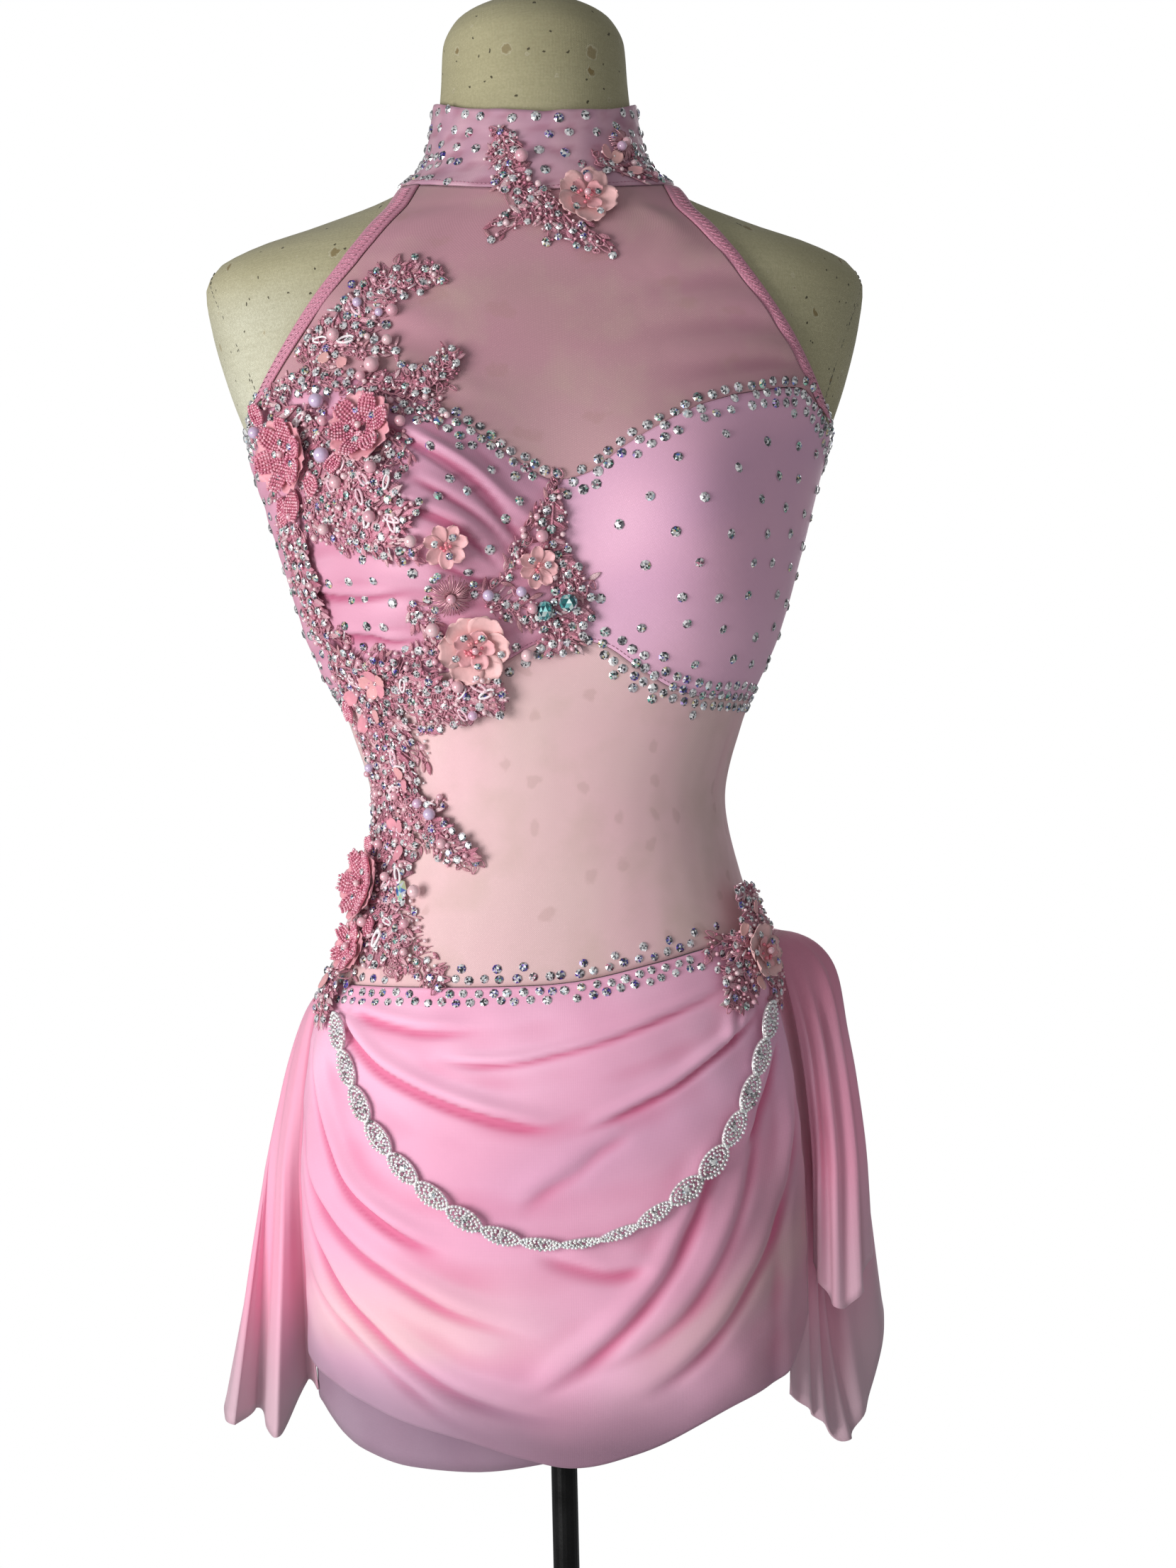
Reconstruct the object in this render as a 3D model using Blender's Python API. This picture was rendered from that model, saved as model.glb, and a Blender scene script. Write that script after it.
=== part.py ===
"""Latin dance dress on a limbless dress form with a pole stand.

Metres, +Z up, the floor at 0. The front looks along -Y, and +X is the wearer's left.
Angles are degrees round the body: 0 at centre front, 90 at the wearer's left side.
Every cloth piece is a thin wall laid over one body surface, on the points (angle, height, lift),
where lift is the distance off that surface.
"""
import bpy
import numpy as np

# Stand
BASE_RADIUS = 0.180
BASE_THICK = 0.014
HUB_RADIUS = 0.024
HUB_TOP = 0.040
POLE_RADIUS = 0.0075
FLANGE_RADIUS = 0.032
FLANGE_THICK = 0.006
EDGE_ROUND = 0.003
PLATE_SIDES = 36
POLE_SIDES = 20

# Cloth
GAP = 0.0003
CLEAR = 0.0017
SKIRT_CLEAR = 0.0025
EDGE_CLEAR = 0.0024
MESH_THICK = 0.0012
CUP_THICK = 0.0015
COLLAR_THICK = 0.0018
EDGE_THICK = 0.0020
DRAPE_THICK = 0.0013
FLARE_THICK = 0.0012
FLARE_ROOT = 0.0052
CASCADE_ROOT = 0.0069
FLARE_DROP = 0.004
ARMHOLE_BAND = 0.011
LACE_THICK = 0.0014
LACE_WIDE = 0.018
PETAL_THICK = 0.0013
HEART_RISE = 0.002
CHAIN_THICK = 0.0026

# The dress form, one row for each section up the body
BODY = [
    # height, half_width, front, back, middle, power
    (0.645, 0.1340, 0.086, 0.106, 0.006, 2.2),
    (0.690, 0.1380, 0.091, 0.115, 0.006, 2.2),
    (0.735, 0.1390, 0.095, 0.121, 0.006, 2.2),
    (0.780, 0.1365, 0.097, 0.121, 0.006, 2.2),
    (0.820, 0.1310, 0.096, 0.115, 0.005, 2.2),
    (0.860, 0.1210, 0.091, 0.101, 0.003, 2.2),
    (0.902, 0.1055, 0.086, 0.088, 0.001, 2.2),
    (0.945, 0.0975, 0.084, 0.083, 0.000, 2.2),
    (0.988, 0.1080, 0.087, 0.090, 0.000, 2.2),
    (1.037, 0.1300, 0.092, 0.101, 0.001, 2.3),
    (1.086, 0.1450, 0.097, 0.108, 0.002, 2.3),
    (1.135, 0.1592, 0.098, 0.107, 0.003, 2.4),
    (1.183, 0.1765, 0.094, 0.099, 0.004, 2.5),
    (1.215, 0.1850, 0.090, 0.092, 0.005, 2.5),
    (1.236, 0.1880, 0.086, 0.085, 0.005, 2.5),
    (1.247, 0.1838, 0.084, 0.081, 0.004, 2.3),
    (1.257, 0.1680, 0.082, 0.077, 0.003, 2.1),
    (1.269, 0.1335, 0.079, 0.072, 0.001, 1.9),
    (1.281, 0.0985, 0.076, 0.066, -0.001, 1.9),
    (1.293, 0.0740, 0.073, 0.060, -0.004, 1.9),
    (1.307, 0.0610, 0.070, 0.053, -0.008, 2.0),
    (1.325, 0.0560, 0.068, 0.046, -0.011, 2.0),
    (1.350, 0.0530, 0.066, 0.040, -0.013, 2.0),
    (1.372, 0.0515, 0.065, 0.037, -0.014, 2.0),
    (1.384, 0.0460, 0.059, 0.031, -0.014, 2.0),
    (1.393, 0.0330, 0.046, 0.018, -0.014, 2.0),
    (1.398, 0.0130, 0.027, -0.001, -0.014, 2.0),
]
FORM_RINGS = [
    0.645, 0.690, 0.735, 0.780, 0.820, 0.855, 0.880, 0.900, 0.920, 0.940, 0.960, 0.980, 1.000, 1.020,
    1.040, 1.067, 1.095, 1.122, 1.148, 1.168, 1.188, 1.212, 1.232, 1.243, 1.251, 1.259, 1.267, 1.276, 1.286,
    1.297, 1.310, 1.326, 1.350, 1.372, 1.384, 1.391, 1.396, 1.398]
HIP_HEIGHT = 0.735
HIP_RADIUS = 0.118
SEAM_RADIUS = 0.090
HANG_TAPER = 0.20
BUST_ACROSS = 0.078
BUST_HEIGHT = 1.095
BUST_REACH = 0.034
BUST_WIDE = 0.056
BUST_TALL = 0.060

# Seams and hems: (angle, height)
COLLAR_TOP = [(0, 1.320), (35, 1.3245), (84, 1.339), (180, 1.348)]
COLLAR_FOOT = [(0, 1.275), (23, 1.278), (45, 1.283), (90, 1.293), (180, 1.300)]
BUST_TOP = [
    (-180, 1.122), (-110, 1.132), (-76, 1.152), (-57.5, 1.170), (-42.6, 1.176), (-25.3, 1.167),
    (-15.2, 1.148), (-5.8, 1.126), (0, 1.115), (5, 1.119), (9.8, 1.131), (16.3, 1.143),
    (23.4, 1.154), (33.7, 1.163), (48, 1.169), (57.5, 1.162), (76, 1.147), (110, 1.130), (180, 1.122),
]
BUST_FOOT = [
    (-180, 1.005), (-90, 1.006), (-45, 1.014), (-12.6, 1.021), (0, 1.033), (6.7, 1.031),
    (17.5, 1.018), (30.9, 1.006), (44.2, 1.002), (70, 1.002), (180, 1.005),
]
WAIST_SEAM = [
    (-180, 0.850), (-90, 0.843), (-60, 0.847), (-6, 0.848), (22.4, 0.858), (36, 0.863),
    (60, 0.868), (90, 0.870), (130, 0.861), (180, 0.850),
]
UNDERSKIRT_HEM = [
    (-180, 0.602), (-110, 0.612), (-81, 0.613), (-53, 0.596), (-38, 0.591), (-22, 0.590),
    (0, 0.597), (30, 0.620), (60, 0.632), (90, 0.630), (180, 0.602),
]
DRAPE_HEM = [
    (-92, 0.642), (-70, 0.634), (-51, 0.625), (-36, 0.616), (-23, 0.609), (-10, 0.599),
    (0, 0.593), (11, 0.598), (32, 0.615), (53, 0.627), (60, 0.640), (68, 0.662),
]
DRAPE_RIGHT_EDGE = [(0.0, -80), (1.0, -83)]
DRAPE_EDGE_CALM = 14
DRAPE_LEFT_EDGE = [(0.0, 57), (0.4, 61), (1.0, 66)]

# The yoke's edge: (height, reach to the wearer's right, reach to the wearer's left)
ARMHOLE = [
    (1.150, 0.158, 0.154), (1.161, 0.153, 0.148), (1.172, 0.147, 0.1405), (1.204, 0.126, 0.121),
    (1.222, 0.113, 0.108), (1.238, 0.100, 0.096), (1.255, 0.087, 0.083), (1.270, 0.076, 0.072),
    (1.284, 0.071, 0.069),
]

# Where the front pieces have their columns
SIDE = 88
ARMHOLE_ANGLE = 57.5
COLLAR_CORNER = 45
FRONT_STEPS = 9
SIDE_STEPS = 4
BACK_STEPS = 14
COLLAR_BACK_STEPS = 17
FORM_BACK_STEPS = 8

# Rows of each cloth piece, from its upper seam to its lower one
COLLAR_ROWS = 5
YOKE_ROWS = 9
CUP_ROWS = 11
BAND_ROWS = 5
MIDRIFF_ROWS = 8
UNDERSKIRT_ROWS = 8
DRAPE_ROWS = 21
DRAPE_COLUMNS = 31
FLARE_ROWS = 9
FLARE_STEPS = 2
SHARP_ANGLE = 40

# Pleats of the draped cup: they fan out from the centre, and crowd up at the side
PLEATS = 7
PLEAT_RISE = 0.0042
PLEAT_FADE = (0.10, 0.92)
CENTRE_CROWD = 0.75
SIDE_CROWD = 1.30

# Swags of the front drape, each through its two ends and its lowest place
SWAGS = [
    # right_angle, right_height, low_angle, low_height, left_angle, left_height, rise, width
    (-66, 0.838, -24, 0.833, 40, 0.852, 0.0028, 0.0060),
    (-66, 0.822, -20, 0.807, 45, 0.838, 0.0044, 0.0100),
    (-72, 0.816, -8, 0.788, 47, 0.826, 0.0046, 0.0100),
    (-76, 0.806, -6, 0.750, 50, 0.808, 0.0060, 0.0150),
    (-80, 0.786, -10, 0.712, 53, 0.788, 0.0062, 0.0130),
    (-84, 0.760, -8, 0.672, 56, 0.764, 0.0080, 0.0150),
    (-86, 0.716, -4, 0.628, 60, 0.730, 0.0070, 0.0160),
    (-88, 0.680, 2, 0.604, 62, 0.690, 0.0040, 0.0100),
]
SWAG_STEPS = 41
SKIRT_LENGTH = 0.25
DRAPE_CALM = 0.25
DRAPE_PUFF = 0.0012
OVER_FLOUNCE = 0.0034
OVER_FLOUNCE_FROM = 49
OVER_FLOUNCE_RUN = 7

# The flared skirt, from the wearer's right flounce round the back to the left one. Each row is a
# fold line from the hip to the hem. puff swells it near the top, and ease is how late it leaves the
# hip sideways. To the front or back it leaves later still, by FOLD_LATE.
FLARE = [
    # hip_angle, lift, puff, hem_x, hem_y, hem_height, ease
    (-83.5, 0.0080, 0.0, -0.1460, 0.002, 0.618, 1.0),
    (-86, 0.0098, 0.0, -0.1560, -0.017, 0.601, 1.0),
    (-88.6, 0.0106, 0.0, -0.1620, -0.027, 0.596, 1.0),
    (-91.2, 0.0109, 0.0, -0.1672, -0.015, 0.599, 0.9),
    (-93.6, 0.0102, 0.0, -0.1706, 0.001, 0.604, 0.85),
    (-96.0, 0.0098, 0.0, -0.1760, 0.002, 0.605, 0.75),
    (-98.2, 0.0102, 0.0, -0.1802, -0.011, 0.603, 0.8),
    (-100.2, 0.0104, 0.0, -0.1855, -0.019, 0.602, 0.9),
    (-102.4, 0.0098, 0.0, -0.1905, -0.008, 0.603, 1.0),
    (-105, 0.0084, 0.0, -0.1930, 0.018, 0.605, 1.0),
    (-109, 0.0075, 0.0, -0.1890, 0.046, 0.606, 1.0),
    (-114, 0.0060, 0.0, -0.1720, 0.078, 0.608, 1.0),
    (-121, 0.0090, 0.0, -0.1740, 0.118, 0.604, 1.0),
    (-130, 0.0060, 0.0, -0.1300, 0.128, 0.608, 1.0),
    (-141, 0.0090, 0.0, -0.1220, 0.174, 0.603, 1.0),
    (-154, 0.0060, 0.0, -0.0720, 0.160, 0.607, 1.0),
    (-167, 0.0090, 0.0, -0.0520, 0.196, 0.602, 1.0),
    (-180, 0.0060, 0.0, 0.0020, 0.164, 0.607, 1.0),
    (-193, 0.0090, 0.0, 0.0560, 0.194, 0.602, 1.0),
    (-206, 0.0060, 0.0, 0.0760, 0.158, 0.608, 1.0),
    (-219, 0.0090, 0.0, 0.1240, 0.168, 0.605, 1.0),
    (-230, 0.0060, 0.0, 0.1360, 0.124, 0.612, 1.0),
    (-241, 0.0120, 0.002, 0.1740, 0.104, 0.620, 0.9),
    (-252, 0.0150, 0.004, 0.1830, 0.066, 0.634, 0.9),
    (-259, 0.0220, 0.008, 0.1915, 0.032, 0.646, 0.9),
    (-265, 0.0220, 0.008, 0.1890, 0.006, 0.636, 0.9),
    (-269, 0.0160, 0.004, 0.1795, -0.012, 0.612, 1.2),
    (-274, 0.0085, 0.0, 0.1650, -0.027, 0.590, 2.6),
    (-280, 0.0058, 0.0, 0.1550, -0.037, 0.581, 4.5),
    (-287, 0.0054, 0.0, 0.1400, -0.040, 0.594, 5.0),
    (-294, 0.0052, 0.0, 0.1300, -0.046, 0.606, 5.0),
    (-300, 0.0052, 0.0, 0.1225, -0.053, 0.614, 5.0),
]
FLARE_PIECES = [
    # name, first row, last row
    ("flounce_right", 0, 10),
    ("back_skirt", 10, 22),
    ("flounce_left", 22, 31),
]
CASCADE = [
    (83, 0.0230, 0.005, 0.1680, -0.010, 0.698, 0.6),
    (80, 0.0250, 0.006, 0.1715, -0.026, 0.686, 0.6),
    (76.5, 0.0220, 0.004, 0.1655, -0.042, 0.674, 0.6),
    (73, 0.0180, 0.002, 0.1550, -0.051, 0.660, 0.6),
    (69.5, 0.0140, 0.0, 0.1465, -0.046, 0.668, 0.7),
    (66.5, 0.0110, 0.0, 0.1400, -0.040, 0.684, 0.8),
]

FOLD_LATE = 0.5
ROW_CROWD = 1.4
ROOT_RUN = 0.03
PUFF_AT = 0.13
PUFF_RUN = 0.11

# The jewelled chain that hangs over the drape
CHAIN = [
    # angle, height
    (-61.5, 0.831), (-54.8, 0.808), (-45, 0.777), (-34.8, 0.753), (-22.4, 0.730), (-12.9, 0.718),
    (-1.4, 0.713), (9.4, 0.719), (19.2, 0.733), (29.5, 0.753), (37.6, 0.776), (44.3, 0.799),
    (51.5, 0.822), (54, 0.831),
]
CHAIN_REST = 0.0006
CHAIN_SPAN = 9
CHAIN_LINKS = 18
CHAIN_WIDE = 0.0053
CHAIN_NARROW = 0.0021
LINK_STEPS = 4

# Lace branches: their half width and leaf pairs, then the stem's points as (angle, height)
LEAF_STEPS = 3
LEAF_DIP = 0.38
LACE_TAPER = (0.12, 0.88)
LACES = [
    # name, surface, lift, half_width, leaves, stem
    ("lace_armhole", "body", 0.0036, 0.0125, 4,
     [(-41, 1.187), (-32, 1.199), (-25, 1.216), (-19.5, 1.226), (-13, 1.227)]),
    ("lace_bust_branch", "body", 0.0058, 0.0090, 3,
     [(-30, 1.170), (-24, 1.167), (-17, 1.170), (-12, 1.182)]),
    ("lace_collar", "body", 0.0042, 0.0100, 4,
     [(-22, 1.311), (-14, 1.291), (-6, 1.273), (1, 1.257), (5.5, 1.242)]),
    ("lace_bust_body", "body", 0.0080, 0.0230, 5,
     [(-55, 1.160), (-48, 1.136), (-40, 1.116), (-33, 1.098), (-30, 1.088)]),
    ("lace_bust_side", "body", 0.0078, 0.0150, 3,
     [(-62, 1.100), (-63, 1.080), (-62.5, 1.060), (-62, 1.040)]),
    ("lace_bust_centre", "body", 0.0054, 0.0120, 4,
     [(-0.4, 1.107), (-1, 1.084), (1.8, 1.060), (2.4, 1.042), (-3, 1.028)]),
    ("lace_underbust", "body", 0.0080, 0.0150, 5,
     [(-61, 1.024), (-46, 1.017), (-32, 1.007), (-21.5, 1.002), (-12, 1.007)]),
    ("lace_waist_side", "body", 0.0046, 0.0230, 6,
     [(-50, 1.003), (-54, 0.976), (-59, 0.954), (-59, 0.927), (-59, 0.900), (-55, 0.878), (-45, 0.864)]),
    ("lace_waist_branch", "body", 0.0066, 0.0085, 3,
     [(-48, 0.952), (-36, 0.931), (-25, 0.917)]),
    ("lace_hip_right", "hips", 0.0114, 0.0110, 2,
     [(-66.5, 0.850), (-67.5, 0.839), (-68.5, 0.826)]),
    ("lace_hip_left", "hips", 0.0126, 0.0150, 4,
     [(57, 0.895), (58, 0.877), (54, 0.862), (46, 0.848), (39, 0.830)]),
]

# Flowers: where they sit, their size, petals and how far the petals stand up
PETAL_DIP = 0.26
PETAL_RINGS = (0.35, 0.70, 1.0)
FLOWERS = [
    # name, surface, angle, height, lift, radius, petals, stand, slot
    ("flower_beaded_a", "body", -53.4, 1.136, 0.0098, 0.0185, 6, 0.006, "beaded_petal"),
    ("flower_beaded_b", "body", -32.4, 1.141, 0.0078, 0.0180, 6, 0.006, "beaded_petal"),
    ("flower_small_a", "body", -21.4, 1.082, 0.0068, 0.0125, 6, 0.003, "peach_petal"),
    ("flower_small_b", "body", -3.4, 1.071, 0.0070, 0.0115, 6, 0.003, "peach_petal"),
    ("flower_centre", "body", -17.1, 1.031, 0.0064, 0.0190, 6, 0.005, "peach_petal"),
    ("flower_collar", "body", 10.2, 1.270, 0.0034, 0.0170, 5, 0.006, "peach_petal"),
    ("flower_waist_a", "body", -67.4, 0.900, 0.0066, 0.0182, 6, 0.006, "beaded_petal"),
    ("flower_waist_b", "body", -63.4, 0.866, 0.0056, 0.0130, 5, 0.004, "beaded_petal"),
    ("flower_hip", "hips", 53.7, 0.857, 0.0144, 0.0150, 5, 0.006, "peach_petal"),
]

# Two large crystal beads at the bust centre
BEAD_SIDES = 8
BEAD_TILTS = (45, 0, -45)
BEADS = [
    # name, angle, height, lift, radius, stretch
    ("crystal_round", 1.4, 1.0535, 0.0122, 0.0050, 1.0),
    ("crystal_drop", -2.2, 1.0490, 0.0086, 0.0042, 1.35),
]

MATERIALS = {
    # slot: colour, roughness, metallic
    "linen": ((0.56, 0.55, 0.44), 0.90, 0.0),
    "black_paint": ((0.012, 0.012, 0.013), 0.35, 0.0),
    "lycra": ((0.62, 0.33, 0.47), 0.45, 0.0),
    "cup_lycra": ((0.60, 0.32, 0.50), 0.42, 0.0),
    "stretch_mesh": ((0.68, 0.45, 0.46), 0.75, 0.0),
    "drape_cloth": ((0.84, 0.42, 0.58), 0.60, 0.0),
    "underskirt_cloth": ((0.50, 0.33, 0.43), 0.60, 0.0),
    "lace": ((0.66, 0.28, 0.34), 0.60, 0.0),
    "beaded_petal": ((0.62, 0.14, 0.24), 0.35, 0.0),
    "peach_petal": ((0.82, 0.42, 0.38), 0.55, 0.0),
    "silver_chain": ((0.78, 0.78, 0.78), 0.20, 1.0),
    "crystal": ((0.45, 0.80, 0.80), 0.05, 0.0),
}


def smooth(knots, values, at):
    """A monotone cubic curve through the knots."""
    knots, values, at = (np.asarray(item, float) for item in (knots, values, at))
    step = np.diff(knots)
    slope = np.diff(values) / step
    before, after = slope[:-1], slope[1:]
    same = before * after > 0
    inner = np.where(same, 2 * before * after / np.where(same, before + after, 1.0), 0.0)
    tangent = np.concatenate([slope[:1], inner, slope[-1:]])
    i = np.clip(np.searchsorted(knots, at) - 1, 0, len(step) - 1)
    t = np.clip((at - knots[i]) / step[i], 0, 1)
    start = (2 * t**3 - 3 * t**2 + 1) * values[i] + (t**3 - 2 * t**2 + t) * step[i] * tangent[i]
    end = (3 * t**2 - 2 * t**3) * values[i + 1] + (t**3 - t**2) * step[i] * tangent[i + 1]
    return start + end


def seam(table, angle):
    """The height of a seam or hem at an angle. A table from 0 to 180 serves both sides."""
    knots, heights = zip(*table)
    turned = (np.asarray(angle, float) + 180) % 360 - 180
    if knots[0] == 0:
        turned = np.abs(turned)
    return smooth(knots, heights, turned)


def section(height):
    """Half width, front, back, middle and power of the body at a height."""
    columns = np.array(BODY).T
    return [smooth(columns[0], columns[k], height) for k in range(1, len(columns))]


def body(angle, height):
    """Points of the dress form, front bust mounds included."""
    turn = np.radians(angle)
    half_width, front, back, middle, power = section(height)
    across, along = np.sin(turn), np.cos(turn)
    x = half_width * np.sign(across) * np.abs(across) ** (2 / power)
    reach = np.where(along > 0, front + middle, back - middle)
    y = middle - np.sign(along) * reach * np.abs(along) ** (2 / power)
    mounds = sum(np.exp(-((x - side * BUST_ACROSS) / BUST_WIDE) ** 2) for side in (-1, 1))
    mounds = mounds * np.exp(-((np.asarray(height) - BUST_HEIGHT) / BUST_TALL) ** 2)
    y = y - BUST_REACH * mounds * np.sqrt(np.clip(along, 0, 1))
    return np.stack(np.broadcast_arrays(x, y, height), -1).astype(float)


def hips(angle, height):
    """The body down to the hip, and below it the straight fall of a tight skirt."""
    height = np.asarray(height, float)
    points = body(angle, np.maximum(height, HIP_HEIGHT))
    points[..., :2] *= (1 - HANG_TAPER * np.clip(HIP_HEIGHT - height, 0, 1))[..., None]
    points[..., 2] = height
    return points


SURFACES = {"body": body, "hips": hips}


def lifted(surface, angle, height, lift):
    """Points at a distance off a surface, along its normal."""
    angle, height, lift = np.broadcast_arrays(np.asarray(angle, float), height, lift)
    turn, rise = 0.01, 0.0001
    along = surface(angle + turn, height) - surface(angle - turn, height)
    up = surface(angle, height + rise) - surface(angle, height - rise)
    normal = np.cross(along, up)
    normal /= np.linalg.norm(normal, axis=-1, keepdims=True)
    return surface(angle, height) + normal * lift[..., None]


def metres_per_degree(surface, angle, height):
    """How far one degree runs round the surface."""
    return np.linalg.norm(surface(angle + 0.5, height) - surface(angle - 0.5, height), axis=-1)


def angle_at(across, height):
    """The angle of the front surface at a distance across from the centre."""
    half_width, _, _, _, power = section(height)
    share = np.clip(np.abs(across) / half_width, 0, 1)
    return np.sign(across) * np.degrees(np.arcsin(share ** (power / 2)))


def ramp(share):
    """A soft step from 0 to 1."""
    share = np.clip(share, 0, 1)
    return share * share * (3 - 2 * share)


def to_segment(across, height, start, end):
    """Distance of points to the stretch between two places, and how far along it they lie."""
    start, end = np.array(start), np.array(end)
    run = end - start
    offset = np.stack([across - start[0], height - start[1]], -1)
    share = np.clip(offset @ run / (run @ run), 0, 1)
    return np.linalg.norm(offset - share[..., None] * run, axis=-1), share


def pleat_rise(down, across):
    """How far the pleats of the draped cup stand out: down from 0 to 1, across from side to centre."""
    fade = np.sin(np.pi * np.interp(across, (0, 1), PLEAT_FADE))
    return PLEAT_RISE * fade * np.sin(np.pi * PLEATS * down) ** 2


def swag_line(row):
    """The crest of one swag as points (metres round the hip, height)."""
    right_angle, right_height, low_angle, low_height, left_angle, left_height = row[:6]
    share = np.linspace(-1, 1, SWAG_STEPS)
    angle = np.where(share < 0, low_angle + (low_angle - right_angle) * share,
                     low_angle + (left_angle - low_angle) * share)
    top = np.where(share < 0, right_height, left_height)
    height = low_height + (top - low_height) * np.abs(share) ** 2
    return hip_metres(angle), height


def hip_metres(angle):
    """Angles as metres round the hip, at its mean radius."""
    return np.radians(angle) * HIP_RADIUS


def drape_rise(angle, height):
    """How far the swags of the front drape stand out. They die away at its two sides."""
    across = hip_metres(angle)
    calm = ramp((angle - DRAPE_RIGHT_EDGE[0][1]) / DRAPE_EDGE_CALM)
    calm = calm * ramp((DRAPE_LEFT_EDGE[-1][1] - angle) / DRAPE_EDGE_CALM)
    calm = DRAPE_CALM + (1 - DRAPE_CALM) * calm
    down = np.clip((seam(WAIST_SEAM, angle) - height) / SKIRT_LENGTH, 0, 1)
    rise = DRAPE_PUFF * down
    for row in SWAGS:
        crest, width = row[6:]
        line_across, line_height = swag_line(row)
        away = np.full(np.shape(across), np.inf)
        for i in range(len(line_across) - 1):
            start = (line_across[i], line_height[i])
            end = (line_across[i + 1], line_height[i + 1])
            away = np.minimum(away, to_segment(across, height, start, end)[0])
        rise = rise + calm * crest * np.exp(-(away / width) ** 2)
    return rise + OVER_FLOUNCE * ramp((angle - OVER_FLOUNCE_FROM) / OVER_FLOUNCE_RUN)


def drape_top(angle, height):
    """The lift of the front drape's outer face."""
    inside = SKIRT_CLEAR + MESH_THICK + 2 * GAP + drape_rise(angle, height)
    return inside + DRAPE_THICK


def material(slot):
    """The slot's material, made once."""
    if slot in bpy.data.materials:
        return bpy.data.materials[slot]
    colour, roughness, metallic = MATERIALS[slot]
    made = bpy.data.materials.new(slot)
    made.use_nodes = True
    shader = made.node_tree.nodes["Principled BSDF"]
    shader.inputs["Base Color"].default_value = (*colour, 1.0)
    shader.inputs["Roughness"].default_value = roughness
    shader.inputs["Metallic"].default_value = metallic
    return made


def signed_volume(points, faces):
    """Positive where the faces look outward."""
    total = 0.0
    for face in faces:
        first = points[face[0]]
        for i in range(1, len(face) - 1):
            total += first @ np.cross(points[face[i]], points[face[i + 1]])
    return total


def add_object(name, slot, points, faces):
    """One closed body with its faces outward."""
    points = np.asarray(points, float)
    if signed_volume(points, faces) < 0:
        faces = [face[::-1] for face in faces]
    mesh = bpy.data.meshes.new(name)
    mesh.from_pydata([tuple(point) for point in points], [], [tuple(face) for face in faces])
    mesh.shade_smooth()
    mesh.set_sharp_from_angle(angle=np.radians(SHARP_ANGLE))
    mesh.materials.append(material(slot))
    made = bpy.data.objects.new(name, mesh)
    bpy.context.scene.collection.objects.link(made)
    return made


def wall(name, slot, inside, outside, closed=False):
    """A thin wall between two grids of points, joined round its rim."""
    rows, columns = inside.shape[:2]
    points = np.concatenate([inside.reshape(-1, 3), outside.reshape(-1, 3)])
    shift = rows * columns
    faces = []

    def at(row, column):
        return row * columns + column % columns

    spans = columns if closed else columns - 1
    for row in range(rows - 1):
        for column in range(spans):
            a, b = at(row, column), at(row, column + 1)
            c, d = at(row + 1, column + 1), at(row + 1, column)
            faces += [(a, b, c), (a, c, d)]
            faces += [(c + shift, b + shift, a + shift), (d + shift, c + shift, a + shift)]
    for column in range(spans):
        a, b = at(0, column), at(0, column + 1)
        faces.append((b, a, a + shift, b + shift))
        a, b = at(rows - 1, column), at(rows - 1, column + 1)
        faces.append((a, b, b + shift, a + shift))
    if not closed:
        for row in range(rows - 1):
            a, b = at(row, 0), at(row + 1, 0)
            faces.append((a, b, b + shift, a + shift))
            a, b = at(row, columns - 1), at(row + 1, columns - 1)
            faces.append((b, a, a + shift, b + shift))
    return add_object(name, slot, points, faces)


def rows_between(angles, top, foot, rows):
    """A grid of angles and heights from an upper seam to a lower one."""
    share = np.linspace(0, 1, rows)[:, None]
    angle = np.broadcast_to(angles, (rows, len(angles)))
    return angle, top + (foot - top) * share


def panel(name, slot, surface, angle, height, inside, outside, closed=False):
    """A cloth wall over a surface. inside and outside are its lifts."""
    inner = lifted(surface, angle, height, inside)
    outer = lifted(surface, angle, height, outside)
    return wall(name, slot, inner, outer, closed)


def pinched(angles):
    """The same angles, with both ends pulled in by half a seam gap."""
    moved = np.array(angles, float)
    half_gap = np.degrees(GAP / 2 / SEAM_RADIUS)
    moved[0] += half_gap
    moved[-1] -= half_gap
    return moved


def front_angles():
    """Columns of the front pieces, shared so that their seams match."""
    side = np.linspace(ARMHOLE_ANGLE, SIDE, SIDE_STEPS)
    front = np.linspace(0, ARMHOLE_ANGLE, FRONT_STEPS)
    half = np.concatenate([front[:-1], side])
    return np.concatenate([-half[:0:-1], half])


def back_angles():
    """Columns of the back pieces."""
    return np.linspace(SIDE, 360 - SIDE, BACK_STEPS)


def revolved(name, slot, profile, steps):
    """A turned solid from (radius, height) points, top to bottom, closed on the axis."""
    turn = np.linspace(0, 2 * np.pi, steps, endpoint=False)
    ring = np.stack([np.cos(turn), np.sin(turn)], -1)
    points = [(0, 0, profile[0][1])]
    for radius, height in profile:
        points += [(radius * c, radius * s, height) for c, s in ring]
    points.append((0, 0, profile[-1][1]))
    faces = []
    for i in range(steps):
        after = (i + 1) % steps
        faces.append((0, 1 + i, 1 + after))
        for k in range(len(profile) - 1):
            upper, lower = 1 + k * steps, 1 + (k + 1) * steps
            faces.append((upper + i, lower + i, lower + after, upper + after))
        foot = 1 + (len(profile) - 1) * steps
        faces.append((len(points) - 1, foot + after, foot + i))
    return add_object(name, slot, points, faces)


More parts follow.
